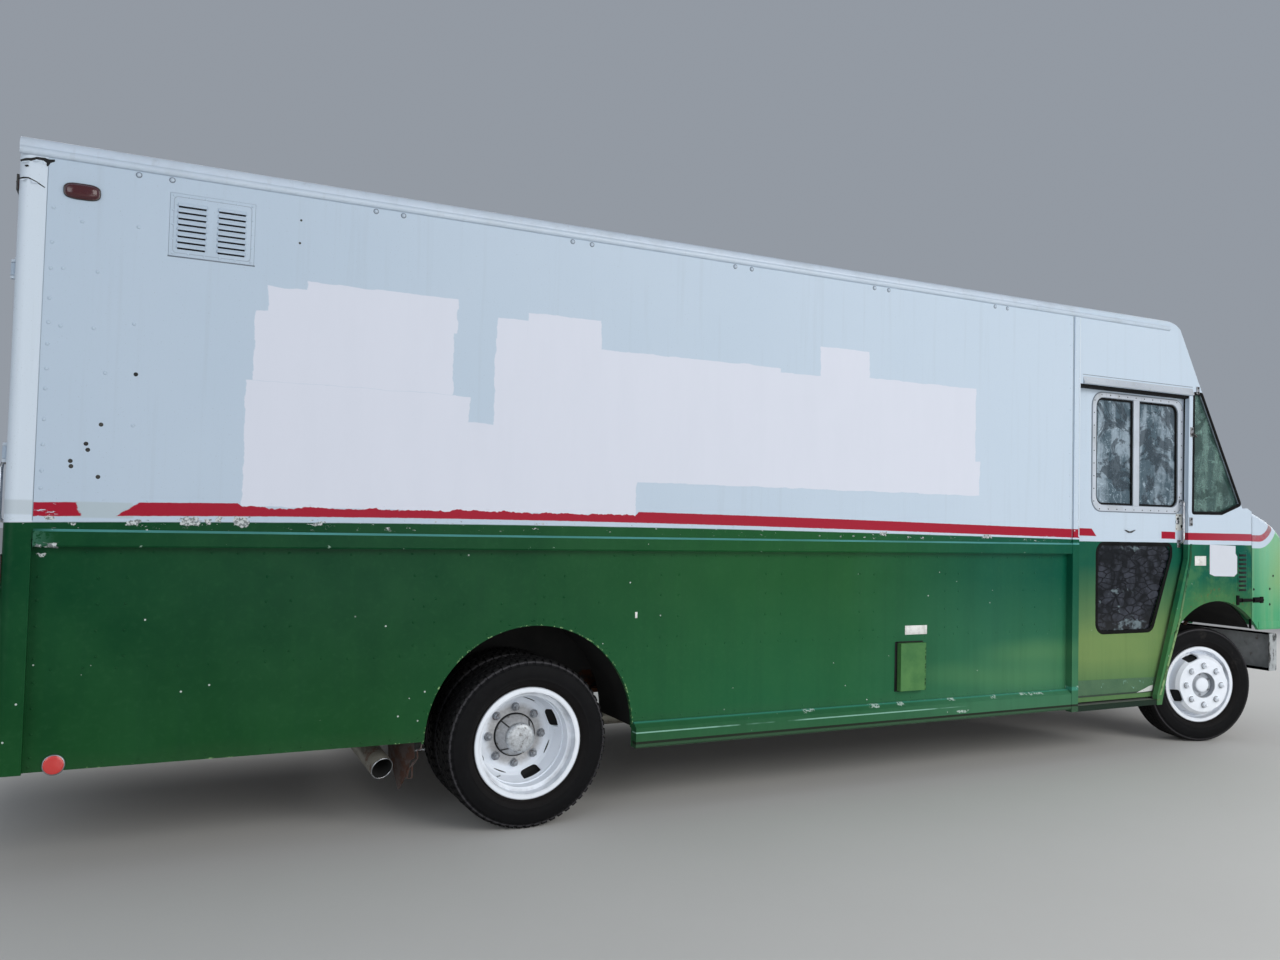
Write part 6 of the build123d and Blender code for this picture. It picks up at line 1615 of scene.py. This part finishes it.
p = Piece("hood_details")
for s in (-1, 1):
    o = HALF_W
    # anchor of the strap latch
    p.slab(3722, 3800, *sorted((s * o, s * (o + 7))), 988, 1026, M["rubber"], 5.0, 3)
    p.slab(3800, 3838, *sorted((s * o, s * (o + 11))), 984, 1030, M["rubber"], 9.0, 3)
    p.tube([(3722, s * (o + 9), 1007), (3790, s * (o + 9), 1007), (3826, s * (o + 8), 1007)], 11.0, M["rubber"], 10)
    # old bolt holes
    for x, z in ((3722.0 + 14, 1083.0), (3923.0, 1085.0), (3923.0, 972.0), (3962.0, 1180.0)):
        p.rev([(0.3, 0.0), (0.3, 7.0), (1.0, 8.5), (0.0, 9.5)], (x, s * o, z), (0, s, 0), M["seam_dark"], 12)
    # handles to tip the nose
    p.tube([(4052, s * 640, 1502), (4060, s * 640, 1526), (4062, s * 700, 1530), (4060, s * 760, 1526), (4052, s * 764, 1502)], 7.0, M["chrome"], 8)
p.done("hood", "black_plastic", smooth_angle=35)

p = Piece("front_bumper_fittings")
for s in (-1, 1):
    for y in (360.0, 470.0, 980.0):
        for z in (560.0, 660.0):
            p.rev([(0, 17), (2.5, 16), (2.5, 9)], (X_END, s * y, z), (1, 0, 0), M["steel"], 16)
            p.dome((X_END + 2, s * y, z), (1, 0, 0), 12.0, 7.0, M["steel"], 12)
    # tow eyes under the bumper's ends of the frame
    c = Vector((4120.0, s * 400.0, 452.0))
    pts = [c + Vector((26 * math.cos(a), 0, 26 * math.sin(a))) for a in [2 * math.pi * k / 18 for k in range(18)]]
    p.tube(pts, 8.0, M["frame"], 8, closed=True)
    p.slab(4060, 4108, *sorted((s * 392, s * 408)), 440, 468, M["frame"], 3.0)
p.done("van", "steel", smooth_angle=35)

# rubber seal in the seam between cowl and nose, carried by the cowl
p = Piece("nose_seam_seal")
for s in (-1, 1):
    p.slab(3710.0, 3714.0, *sorted((s * 1180.0, s * 1198.0)), 800.0, 1604.0, M["rubber"], 0.0)
p.slab(3710.0, 3714.0, -1150.0, 1150.0, 1628.0, 1646.0, M["rubber"], 0.0)
p.done("van", "rubber")

# pressed line along the nose's lower edge
p = Piece("nose_lower_swage")
for s in (-1, 1):
    o = HALF_W
    p.prism([(s * o, 850.0), (s * (o + 3.5), 845.0), (s * (o + 3.5), 800.0), (s * o, 796.0)], "x", 3790.0, 4046.0, M["hood"], 0.0)
p.done("hood", "body_green")


# ---------------------------------------------------------------------------
# Rear: lamps, door furniture, step
# ---------------------------------------------------------------------------
for name, side in SIDES:
    p = Piece(name + "_rear_lamp_bezels")
    y0, y1 = sorted((side * 1080.0, side * 1170.0))
    for z0, z1, mat in ((1180, 1290, "tail_red"), (1050, 1160, "lamp_back"), (2740, 2790, "tail_red")):
        outer = rounded([(y0 - 3, z0 - 8), (y1 + 3, z0 - 8), (y1 + 3, z1 + 8), (y0 - 3, z1 + 8)], 10, 4)
        inner = rounded([(y0 + 8, z0 + 4), (y1 - 8, z0 + 4), (y1 - 8, z1 - 4), (y0 + 8, z1 - 4)], 6, 4)
        p.ring(outer, inner, "x", X_BACK - 8.0, X_BACK - 1, M["black"])
        p.prism(inner, "x", X_BACK - 9.5, X_BACK - 5.5, M[mat], 1.5)
        for dy in (0, 1):
            p.dome((X_BACK - 8.0, y0 + 2 if dy == 0 else y1 - 2, (z0 + z1) / 2), (-1, 0, 0), 3.5, 2.0, M["steel"], 8)
    p.done("van", "black_plastic")

p = Piece("rear_centre_clearance_lamps")
for y in (-180.0, 0.0, 180.0):
    p.slab(X_BACK - 8, X_BACK, y - 56, y + 56, 2746, 2790, M["black"], 3.0)
    p.slab(X_BACK - 20, X_BACK - 6, y - 49, y + 49, 2752, 2784, M["tail_red"], 6.0, 3)
p.done("van", "red_lens")

for name, side in SIDES:
    body = name + "_rear_door"
    p = Piece(name + "_rear_door_furniture")
    # window gasket on the outer face
    pts = [(side * 260.0, 1700.0), (side * 800.0, 1700.0), (side * 800.0, 2330.0), (side * 260.0, 2330.0)]
    outer = rounded(grown(pts, 16), 72, 6)
    inner = rounded(grown(pts, -8), 54, 6)
    p.ring(outer, inner, "x", X_BACK - 5.5, X_BACK + 14, M["rubber"])
    # lock rod with its guides and swing handle
    yr = side * 66.0
    p.tube([(X_BACK - 18, yr, 800), (X_BACK - 18, yr, 2630)], 9.0, M["chrome"], 10)
    for z in (850, 1250, 1650, 2150, 2560):
        p.slab(X_BACK - 30, X_BACK, *sorted((yr - 24, yr + 24)), z - 16, z + 16, M["aluminium"], 4.0)
    p.tube([(X_BACK - 30, yr, 1330), (X_BACK - 36, yr + side * 60, 1330), (X_BACK - 36, yr + side * 230, 1322)], 9.0, M["chrome"], 10)
    p.slab(X_BACK - 40, X_BACK - 28, *sorted((yr + side * 180, yr + side * 300)), 1310, 1336, M["chrome"], 5.0)
    # grab handle
    yg = side * 900.0
    p.tube([(X_BACK, yg, 1420), (X_BACK - 40, yg, 1426), (X_BACK - 46, yg, 1450), (X_BACK - 46, yg, 1640), (X_BACK - 40, yg, 1664), (X_BACK, yg, 1670)], 9.0, M["chrome"], 10)
    # rivets along the panel
    for z in (880, 1040, 1200, 1480, 2420, 2560):
        for k in range(6):
            y = side * (160 + k * 150)
            p.dome((X_BACK, y, z), (-1, 0, 0), 5.0, 2.3, M["wall"], 8)
    p.done(body, "bare_aluminium", smooth_angle=35)
    # hinge bolts on the door leaves
    p = Piece(name + "_rear_hinge_bolts")
    for z in (960, 1700, 2440):
        for k in range(3):
            p.nut((X_BACK - 8, side * (1048 - 50 - 65 * k), z + (9 if k % 2 else -9)), (-1, 0, 0), 9.0, 6.0, M["steel"])
    p.done(body, "steel")

p = Piece("rear_step_plate")
p.slab(-4166, -3990, -1116, 1116, 612.0, 614.5, M["step"], 0.8, 1)
for y in range(-1080, 1081, 180):
    p.dome((-4156, y, 614.5), (0, 0, 1), 7.0, 3.0, M["steel"], 10)
    p.dome((-4002, y, 614.5), (0, 0, 1), 7.0, 3.0, M["steel"], 10)
# blank number plate holder and its lamp
p.slab(-4171, -4168, -170, 170, 470, 560, M["bumper"], 1.5)
p.slab(-4178, -4168, -24, 24, 566, 586, M["black"], 4.0)
for s in (-1, 1):
    p.rev([(0, 14), (8, 13), (10, 8)], (-4168, s * 150, 515), (-1, 0, 0), M["steel"], 12)
    # rubber stops
    p.slab(-4190, -4168, *sorted((s * 900, s * 1010)), 480, 590, M["rubber"], 8.0, 3)
p.done("van", "steel", smooth_angle=35)


# ---------------------------------------------------------------------------
# Cab interior
# ---------------------------------------------------------------------------
SEAT_Y = 560.0


def cushion(name, size, at, seams, bulge):
    """a padded form: closed box outline swelled by cloth pressure, the swelling held to bulge"""
    sx, sy, sz = size
    bm = bmesh.new()
    bmesh.ops.create_cube(bm, size=1.0)
    bmesh.ops.scale(bm, vec=(sx * 0.93 * MM, sy * 0.94 * MM, sz * 0.82 * MM), verts=bm.verts)
    bmesh.ops.bevel(bm, geom=list(bm.edges), offset=0.28 * min(size) * MM, segments=4, profile=0.6, affect="EDGES")
    bmesh.ops.triangulate(bm, faces=bm.faces)
    me = bpy.data.meshes.new(name)
    bm.to_mesh(me)
    bm.free()
    ob = bpy.data.objects.new(name, me)
    bpy.context.scene.collection.objects.link(ob)
    bpy.context.view_layer.objects.active = ob
    rm = ob.modifiers.new("remesh", "REMESH")
    rm.mode, rm.voxel_size = "VOXEL", 0.009
    apply_all(ob)
    rest = [v.co.copy() for v in ob.data.vertices]
    cl = ob.modifiers.new("cloth", "CLOTH")
    cl.settings.use_pressure = True
    cl.settings.uniform_pressure_force = 4.0
    cl.settings.quality = 4
    cl.settings.effector_weights.gravity = 0.0
    scene = bpy.context.scene
    scene.frame_start, scene.frame_end = 1, 20
    for f in range(1, 21):
        scene.frame_set(f)
    apply_all(ob)
    scene.frame_set(1)
    for v, r in zip(ob.data.vertices, rest):
        d = v.co - r
        if d.length > bulge * MM:
            v.co = r + d.normalized() * bulge * MM
    # sewn channels: the surface drawn in along lines, and a crown between them
    for v in ob.data.vertices:
        w = v.co.x / (sx * MM)
        face = 1.0 if v.co.z > 0 else 0.0
        for line in seams:
            dist = abs(v.co.y - line * MM)
            if dist < 0.012 and face and abs(w) < 0.46:
                v.co.z -= 0.007 * (1 - dist / 0.012)
        # flat where it rests on its pan
        v.co.z = max(v.co.z, -sz * MM / 2)
    sub = ob.modifiers.new("sub", "SUBSURF")
    sub.levels = sub.render_levels = 1
    apply_all(ob)
    ob.data.transform(at)
    ob.data.materials.clear()
    ob.data.materials.append(M["seat"])
    ob.data.polygons.foreach_set("use_smooth", [True] * len(ob.data.polygons))
    return ob


def apply_all(ob):
    dg = bpy.context.evaluated_depsgraph_get()
    new = bpy.data.meshes.new_from_object(ob.evaluated_get(dg))
    ob.modifiers.clear()
    old = ob.data
    ob.data = new
    bpy.data.meshes.remove(old)


pan = cushion("seat_cushion", (520.0, 462.0, 105.0), Matrix.Translation(Vector((2600.0, SEAT_Y, 1164.0)) * MM), (-120.0, 0.0, 120.0), 20.0)
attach(pan, "van")
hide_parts("driver_seat")
lean = Matrix.Translation(Vector((2362.0, SEAT_Y, 1478.0)) * MM) @ Matrix.Rotation(math.radians(75.5), 4, "Y")
back = cushion("seat_back_cushion", (520.0, 455.0, 112.0), lean, (-120.0, 0.0, 120.0), 20.0)
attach(back, "van")
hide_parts("driver_seat")

p = Piece("seat_piping_and_frame")
for s in (-1, 1):
    p.tube([(2330, SEAT_Y + s * 205, 1128), (2310, SEAT_Y + s * 205, 1230), (2262, SEAT_Y + s * 205, 1500), (2225, SEAT_Y + s * 200, 1690)], 11.0, M["black"], 10)
    p.slab(2420, 2780, SEAT_Y + s * 190 - 8, SEAT_Y + s * 190 + 8, 1108, 1122, M["steel"], 2.0)
p.tube([(2225, SEAT_Y - 200, 1690), (2222, SEAT_Y, 1700), (2225, SEAT_Y + 200, 1690)], 11.0, M["black"], 10)
# lap belt: webbing laid over the cushion with its buckle
web = []
for t in range(15):
    u = -1 + 2 * t / 14
    web.append((2470.0, SEAT_Y + u * 226.0, 1226.0 + 8.0 * (1 - u * u) if abs(u) < 0.93 else 1165.0))
verts = []
for x, y, z in web:
    verts += [(x - 24, y, z), (x + 24, y, z), (x + 24, y, z + 2.2), (x - 24, y, z + 2.2)]
faces = []
for i in range(len(web) - 1):
    for a in range(4):
        b = (a + 1) % 4
        faces.append((4 * i + a, 4 * i + b, 4 * i + 4 + b, 4 * i + 4 + a))
faces += [(3, 2, 1, 0), tuple(4 * (len(web) - 1) + a for a in range(4))]
p.put(verts, faces, M["black"], True)
p.slab(2436, 2504, SEAT_Y - 36, SEAT_Y + 36, 1232, 1250, M["chrome"], 4.0)
p.done("van", "black_plastic", smooth_angle=40)

# dashboard: binnacle with dials, vents, switches
p = Piece("dashboard_fittings")
at = Matrix.Translation(Vector((3226.0, SEAT_Y, 1478.0))) @ Matrix.Rotation(math.radians(-62.0), 4, "Y")
p.slab(-86, 86, -215, 215, -14, 16, M["black"], 10.0, 3, at)
for dy, r in ((-120, 52), (0, 52), (112, 34), (176, 24), (112 + 64, 24)):
    c = at @ Vector((0, dy, 16))
    nrm = (at.to_3x3() @ Vector((0, 0, 1))).normalized()
    p.rev([(-1, r + 6), (4, r + 5), (5, r), (1, r - 2)], c, nrm, M["chrome"], 28)
    p.rev([(1.0, r - 1), (1.2, 0)], c, nrm, M["dial"], 28)
    for k in range(9):
        a = math.radians(-40 + 32.5 * k)
        u = at.to_3x3() @ Vector((-math.cos(a), math.sin(a), 0))
        p.tube([c + nrm * 1.6 + u * (r * 0.72), c + nrm * 1.6 + u * (r * 0.88)], 0.9, M["label"], 4)
    u = at.to_3x3() @ Vector((-math.cos(0.7), math.sin(0.7), 0))
    p.tube([c + nrm * 3.0 - u * (r * 0.12), c + nrm * 3.0 + u * (r * 0.7)], 1.0, M["marker_red"], 4)
for y in (-620.0, -300.0, 120.0, 900.0):
    at2 = Matrix.Translation(Vector((3212.0, y, 1432.0))) @ Matrix.Rotation(math.radians(-74.0), 4, "Y")
    p.slab(-34, 34, -70, 70, -6, 6, M["black"], 4.0, 2, at2)
    for k in range(5):
        p.slab(-26 + 12 * k, -22 + 12 * k, -62, 62, 4, 10, M["black"], 1.0, 1, at2)
for k in range(6):
    at2 = Matrix.Translation(Vector((3208.0, 210.0 + 34 * k, 1360.0))) @ Matrix.Rotation(math.radians(-90.0), 4, "Y")
    p.slab(-12, 12, -9, 9, -2, 9, M["black"], 3.0, 2, at2)
p.done("van", "black_plastic", smooth_angle=35)

p = Piece("pedals_and_levers")
for y, w in ((455.0, 38.0), (560.0, 45.0), (660.0, 30.0)):
    at = Matrix.Translation(Vector((3235.0, y, 905.0))) @ Matrix.Rotation(math.radians(-38.0), 4, "Y")
    p.slab(-55, 55, -w, w, -5, 6, M["rubber"], 4.0, 2, at)
    for k in range(5):
        p.slab(-46 + 20 * k, -38 + 20 * k, -w + 5, w - 5, 5, 9, M["rubber"], 1.5, 1, at)
    p.tube([(3245, y, 905), (3330, y, 1000), (3360, y, 1240)], 8.0, M["steel"], 8)
# selector lever on the column and parking brake beside the seat
p.tube([(3155, 560, 1418), (3130, 660, 1440), (3120, 730, 1470)], 6.0, M["chrome"], 8)
p.rev([(0, 0), (2, 10), (14, 14), (26, 10), (28, 0)], (3120, 728, 1466), (-0.1, 0.9, 0.4), M["black"], 14)
p.tube([(2860, 330, 790), (2850, 330, 960), (2800, 330, 1050)], 9.0, M["black"], 8)
p.done("van", "steel", smooth_angle=35)

# lined door pockets' stand-ins are left out; the engine cover's latches and seams
p = Piece("engine_cover_fittings")
for s in (-1, 1):
    for x in (2420.0, 2900.0, 3400.0):
        p.slab(x - 22, x + 22, *sorted((s * 330, s * 341)), 800, 850, M["steel"], 2.0)
    p.tube([(2362, s * 120, 1086), (2348, s * 120, 1060), (2344, s * 120, 1000), (2352, s * 120, 960)], 6.0, M["black"], 8)
p.slab(2420, 3500, -230, 230, 1130, 1136, M["rubber"], 3.0)
p.done("van", "black_plastic")


# ---------------------------------------------------------------------------
# Running gear and underside
# ---------------------------------------------------------------------------
p = Piece("spring_clamps")
for ax, zt, zb, drop in ((FRONT_X, 400.0, 296.0, 358.0), (REAR_X, 505.0, 340.0, 463.0)):
    for s in (-1, 1):
        for dx in (-52.0, 52.0):
            for y in (432.0, 513.0):
                p.tube([(ax + dx, s * y, zb - 22 if ax < 0 else zb - 6), (ax + dx, s * y, zt + 6)], 8.0, M["steel"], 8)
                p.nut((ax + dx, s * y, zb - 6 if ax < 0 else zb + 4), (0, 0, -1), 13.0, 14.0, M["steel"])
            p.tube([(ax + dx, s * 432, zt + 4), (ax + dx, s * 440, zt + 14), (ax + dx, s * 505, zt + 14), (ax + dx, s * 513, zt + 4)], 8.0, M["steel"], 8)
        p.slab(ax - 74, ax + 74, *sorted((s * 424, s * 521)), zb - (4 if ax < 0 else 0), zb + (10 if ax < 0 else 12), M["rust"], 3.0)
        # leaf ends and rebound clips
        for dx in (-300.0, 300.0):
            zc = (zt + (458 if ax > 0 else 515)) / 2 - 14
            p.slab(ax + dx - 14, ax + dx + 14, *sorted((s * 436, s * 509)), zc - 30, zc + 24, M["rust"], 2.0)
        # shock absorber
        x0 = ax + (130 if ax > 0 else -150)
        p.tube([(x0, s * 360, 360), (x0 + 20, s * 372, 520)], 30.0, M["frame"], 16)
        p.tube([(x0 + 18, s * 371, 500), (x0 + 34, s * 380, 620)], 13.0, M["steel"], 12)
p.done("van", "rusty_steel", smooth_angle=35)

p = Piece("brake_lines_and_tanks")
# air or vacuum tank and battery box on the left rail, straps round the fuel tank
p.rev([(0, 0), (4, 60), (22, 104), (40, 112), (560, 112), (578, 104), (596, 60), (600, 0)], (-900, 600, 520), (1, 0, 0), M["frame"], 36)
for x in (-760.0, -440.0):
    pts = [(x, 600 + 115 * math.cos(a), 520 + 115 * math.sin(a)) for a in [math.radians(20 * k) for k in range(18)]]
    p.tube(pts, 5.0, M["steel"], 6, closed=True)
p.slab(300, 900, 520, 900, 400, 655, M["frame"], 8.0, 2)
for x in (380.0, 600.0, 820.0):
    p.slab(x - 16, x + 16, 512, 908, 392, 400, M["steel"], 2.0)
for x in (360.0, 1040.0):
    prof = [(-1066, 640), (-1066, 402), (-1058, 372), (-1028, 342), (-1002, 339), (-748, 339), (-720, 342), (-690, 372), (-684, 402), (-684, 640)]
    pts = [(x, y, z) for y, z in prof]
    for dx in (-18.0, 18.0):
        pass
    verts = []
    for y, z in prof:
        verts += [(x - 20, y, z), (x + 20, y, z)]
    inner = [(y * 0.997 + (-875) * 0.003, z + (3 if z < 640 else 0)) for y, z in prof]
    base = len(verts)
    for y, z in inner:
        verts += [(x - 20, y, z), (x + 20, y, z)]
    m = len(prof)
    faces = []
    for i in range(m - 1):
        faces += [(2 * i, 2 * i + 1, 2 * i + 3, 2 * i + 2), (base + 2 * i, base + 2 * i + 2, base + 2 * i + 3, base + 2 * i + 1),
                  (2 * i, 2 * i + 2, base + 2 * i + 2, base + 2 * i), (2 * i + 1, base + 2 * i + 1, base + 2 * i + 3, 2 * i + 3)]
    faces += [(0, base, base + 1, 1), (2 * m - 2, 2 * m - 1, base + 2 * m - 1, base + 2 * m - 2)]
    p.put(verts, faces, M["steel"], False)
# brake and fuel lines along the right rail
for dy, dz in ((0, 0), (0, 16), (0, 32)):
    p.tube([(-1700, -418 + dy, 560 + dz), (-900, -418 + dy, 560 + dz), (900, -418 + dy, 566 + dz), (2500, -418 + dy, 560 + dz), (3100, -418 + dy, 548 + dz)], 3.6, M["steel"], 6)
p.done("van", "frame_black", smooth_angle=35)

p = Piece("axle_fittings")
# differential cover and its bolts; brake drums' backing plates and the lines to them
for k in range(10):
    a = 2 * math.pi * k / 10
    p.nut((REAR_X - 158 - 0, 92 * math.cos(a) * 1.0, AXLE_Z + 92 * math.sin(a)), (-1, 0, 0), 8.0, 7.0, M["steel"])
p.rev([(0, 112), (8, 112), (18, 100), (34, 60), (40, 0)], (REAR_X - 150, 0, AXLE_Z), (-1, 0, 0), M["cast"], 36)
for s in (-1, 1):
    p.rev([(0, 58), (0, 172), (5, 176), (9, 172), (9, 58)], (REAR_X, s * 632.0, AXLE_Z), (0, s, 0), M["rust"], 40)
    p.tube([(REAR_X - 60, s * 628, AXLE_Z + 90), (REAR_X - 90, s * 560, AXLE_Z + 96), (REAR_X - 80, s * 300, AXLE_Z + 66), (REAR_X - 60, s * 160, AXLE_Z + 70)], 4.0, M["steel"], 6)
# universal joints
for x, z in ((2232.0, 530.5), (REAR_X + 242, 426.0)):
    p.rev([(-26, 0), (-26, 46), (-12, 56), (12, 56), (26, 46), (26, 0)], (x, 0, z), (1, 0, 0.02), M["cast"], 20)
p.done("van", "cast", smooth_angle=35)

p = Piece("exhaust_hangers")
for x, y, z in ((1800.0, -600.0, 385.0), (200.0, -600.0, 385.0), (-980.0, -592.0, 385.0), (-1800.0, -580.0, 545.0)):
    pts = [(x, y + 51 * math.cos(a), z + 51 * math.sin(a)) for a in [math.radians(20 * k) for k in range(18)]]
    p.tube(pts, 5.0, M["steel"], 8, closed=True)
    p.tube([(x, y + 40, z + 30), (x, -470, 600), (x, -436, 640)], 6.0, M["steel"], 8)
# pressed seams of the silencer
for x in (-892.0, -108.0):
    p.rev([(-5, 93), (-3, 97), (3, 97), (5, 93)], (x, -594, 385), (1, 0, 0), M["rust"], 40)
p.done("van", "steel", smooth_angle=35)

# soot inside the tail pipe's mouth, and its bright lip
p = Piece("tail_pipe_mouth")
mouth, out = Vector((-2466.0, -1085.0, 318.0)), Vector((75.0, -285.0, -105.0)).normalized()
p.rev([(-2.0, 48.7), (-80.0, 48.4), (-150.0, 48.0), (-152.0, 0.0)], mouth, out, M["soot"], 40)
p.rev([(-3.0, 53.3), (0.8, 53.0), (1.4, 51.0), (0.8, 49.2), (-3.0, 48.8)], mouth, out, M["chrome"], 40)
p.done("van", "rusty_steel")

# bent straps that held the torn flaps
p = Piece("mud_flap_straps")
for s in (-1, 1):
    p.tube([(-2294, s * 1118, 436), (-2298, s * 1122, 404), (-2312, s * 1108, 392), (-2306, s * 1096, 356), (-2328, s * 1086, 318), (-2326, s * 1080, 262)], 4.0, M["torn"], 6)
    p.tube([(-2326, s * 1080, 262), (-2348, s * 1074, 258), (-2344, s * 1084, 300), (-2326, s * 1100, 340)], 3.5, M["torn"], 6)
    p.tube([(-2280, s * 1122, 398), (-2306, s * 1112, 396), (-2328, s * 1100, 390)], 3.5, M["nut"], 6)
p.done("van", "rusty_steel", smooth_angle=35)


# ---------------------------------------------------------------------------
# Floor, light, camera
# ---------------------------------------------------------------------------
def studio():
    m = Mat("studio_floor")
    g = m.noise(0.6, 4.0, 0.6)
    f = m.noise(25.0, 3.0, 0.6)
    c = m.mix(m.mul(g, 0.5), srgb(206, 204, 200), srgb(190, 188, 184))
    m.shade(c, m.math("MULTIPLY_ADD", f, 0.1, 0.75), 0.0, m.bump(f, 0.1, 0.002))
    me = bpy.data.meshes.new("studio_floor")
    s = 60.0
    me.from_pydata([(-s, -s, 0), (s, -s, 0), (s, s, 0), (-s, s, 0)], [], [(0, 1, 2, 3)])
    me.materials.append(m.m)
    ob = bpy.data.objects.new("studio_floor", me)
    bpy.context.scene.collection.objects.link(ob)
    world = bpy.data.worlds.new("studio")
    bpy.context.scene.world = world
    world.use_nodes = True
    bg = world.node_tree.nodes["Background"]
    bg.inputs[0].default_value = (0.80, 0.88, 1.0, 1.0)
    bg.inputs[1].default_value = 0.365

    def area(name, loc, target, size, power, colour=(1, 1, 1)):
        li = bpy.data.lights.new(name, "AREA")
        li.shape = "RECTANGLE"
        li.size, li.size_y = size
        li.energy = power
        li.color = colour
        lo = bpy.data.objects.new(name, li)
        lo.location = loc
        lo.rotation_mode = "QUATERNION"
        lo.rotation_quaternion = (Vector(target) - Vector(loc)).to_track_quat("-Z", "Y")
        bpy.context.scene.collection.objects.link(lo)

    area("key", (3.5, -10.0, 6.0), (0.3, -1.0, 1.4), (9.0, 5.0), 545.0, (1.0, 0.99, 0.96))
    area("fill", (-9.0, -7.5, 3.6), (-1.0, 0.0, 1.2), (6.0, 5.0), 218.0, (0.92, 0.96, 1.0))
    area("low", (1.5, -7.0, 0.9), (0.5, -1.0, 0.8), (10.0, 1.4), 105.0, (1.0, 1.0, 1.0))
    area("front", (11.0, 1.0, 5.0), (1.5, 0.0, 1.2), (6.0, 6.0), 230.0)
    area("back", (-2.0, 10.0, 7.0), (0.0, 0.5, 1.5), (9.0, 5.0), 420.0)

    cd = bpy.data.cameras.new("camera")
    cam = bpy.data.objects.new("camera", cd)
    bpy.context.scene.collection.objects.link(cam)
    cd.sensor_width, cd.lens = 36.0, 28.03
    cd.clip_start, cd.clip_end = 0.05, 200.0
    yaw, pitch, roll = math.radians(26.03), math.radians(2.09), math.radians(1.38)
    fwd = Vector((math.sin(yaw) * math.cos(pitch), math.cos(yaw) * math.cos(pitch), math.sin(pitch)))
    right = Vector((math.cos(yaw), -math.sin(yaw), 0.0))
    up = right.cross(fwd)
    r2 = right * math.cos(roll) + up * math.sin(roll)
    u2 = up * math.cos(roll) - right * math.sin(roll)
    cam.matrix_world = Matrix(((r2.x, u2.x, -fwd.x, -3.461), (r2.y, u2.y, -fwd.y, -5.752),
                               (r2.z, u2.z, -fwd.z, 1.505), (0, 0, 0, 1)))
    bpy.context.scene.camera = cam
    bpy.context.scene.view_settings.view_transform = "Standard"
    bpy.context.scene.view_settings.look = "None"


studio()
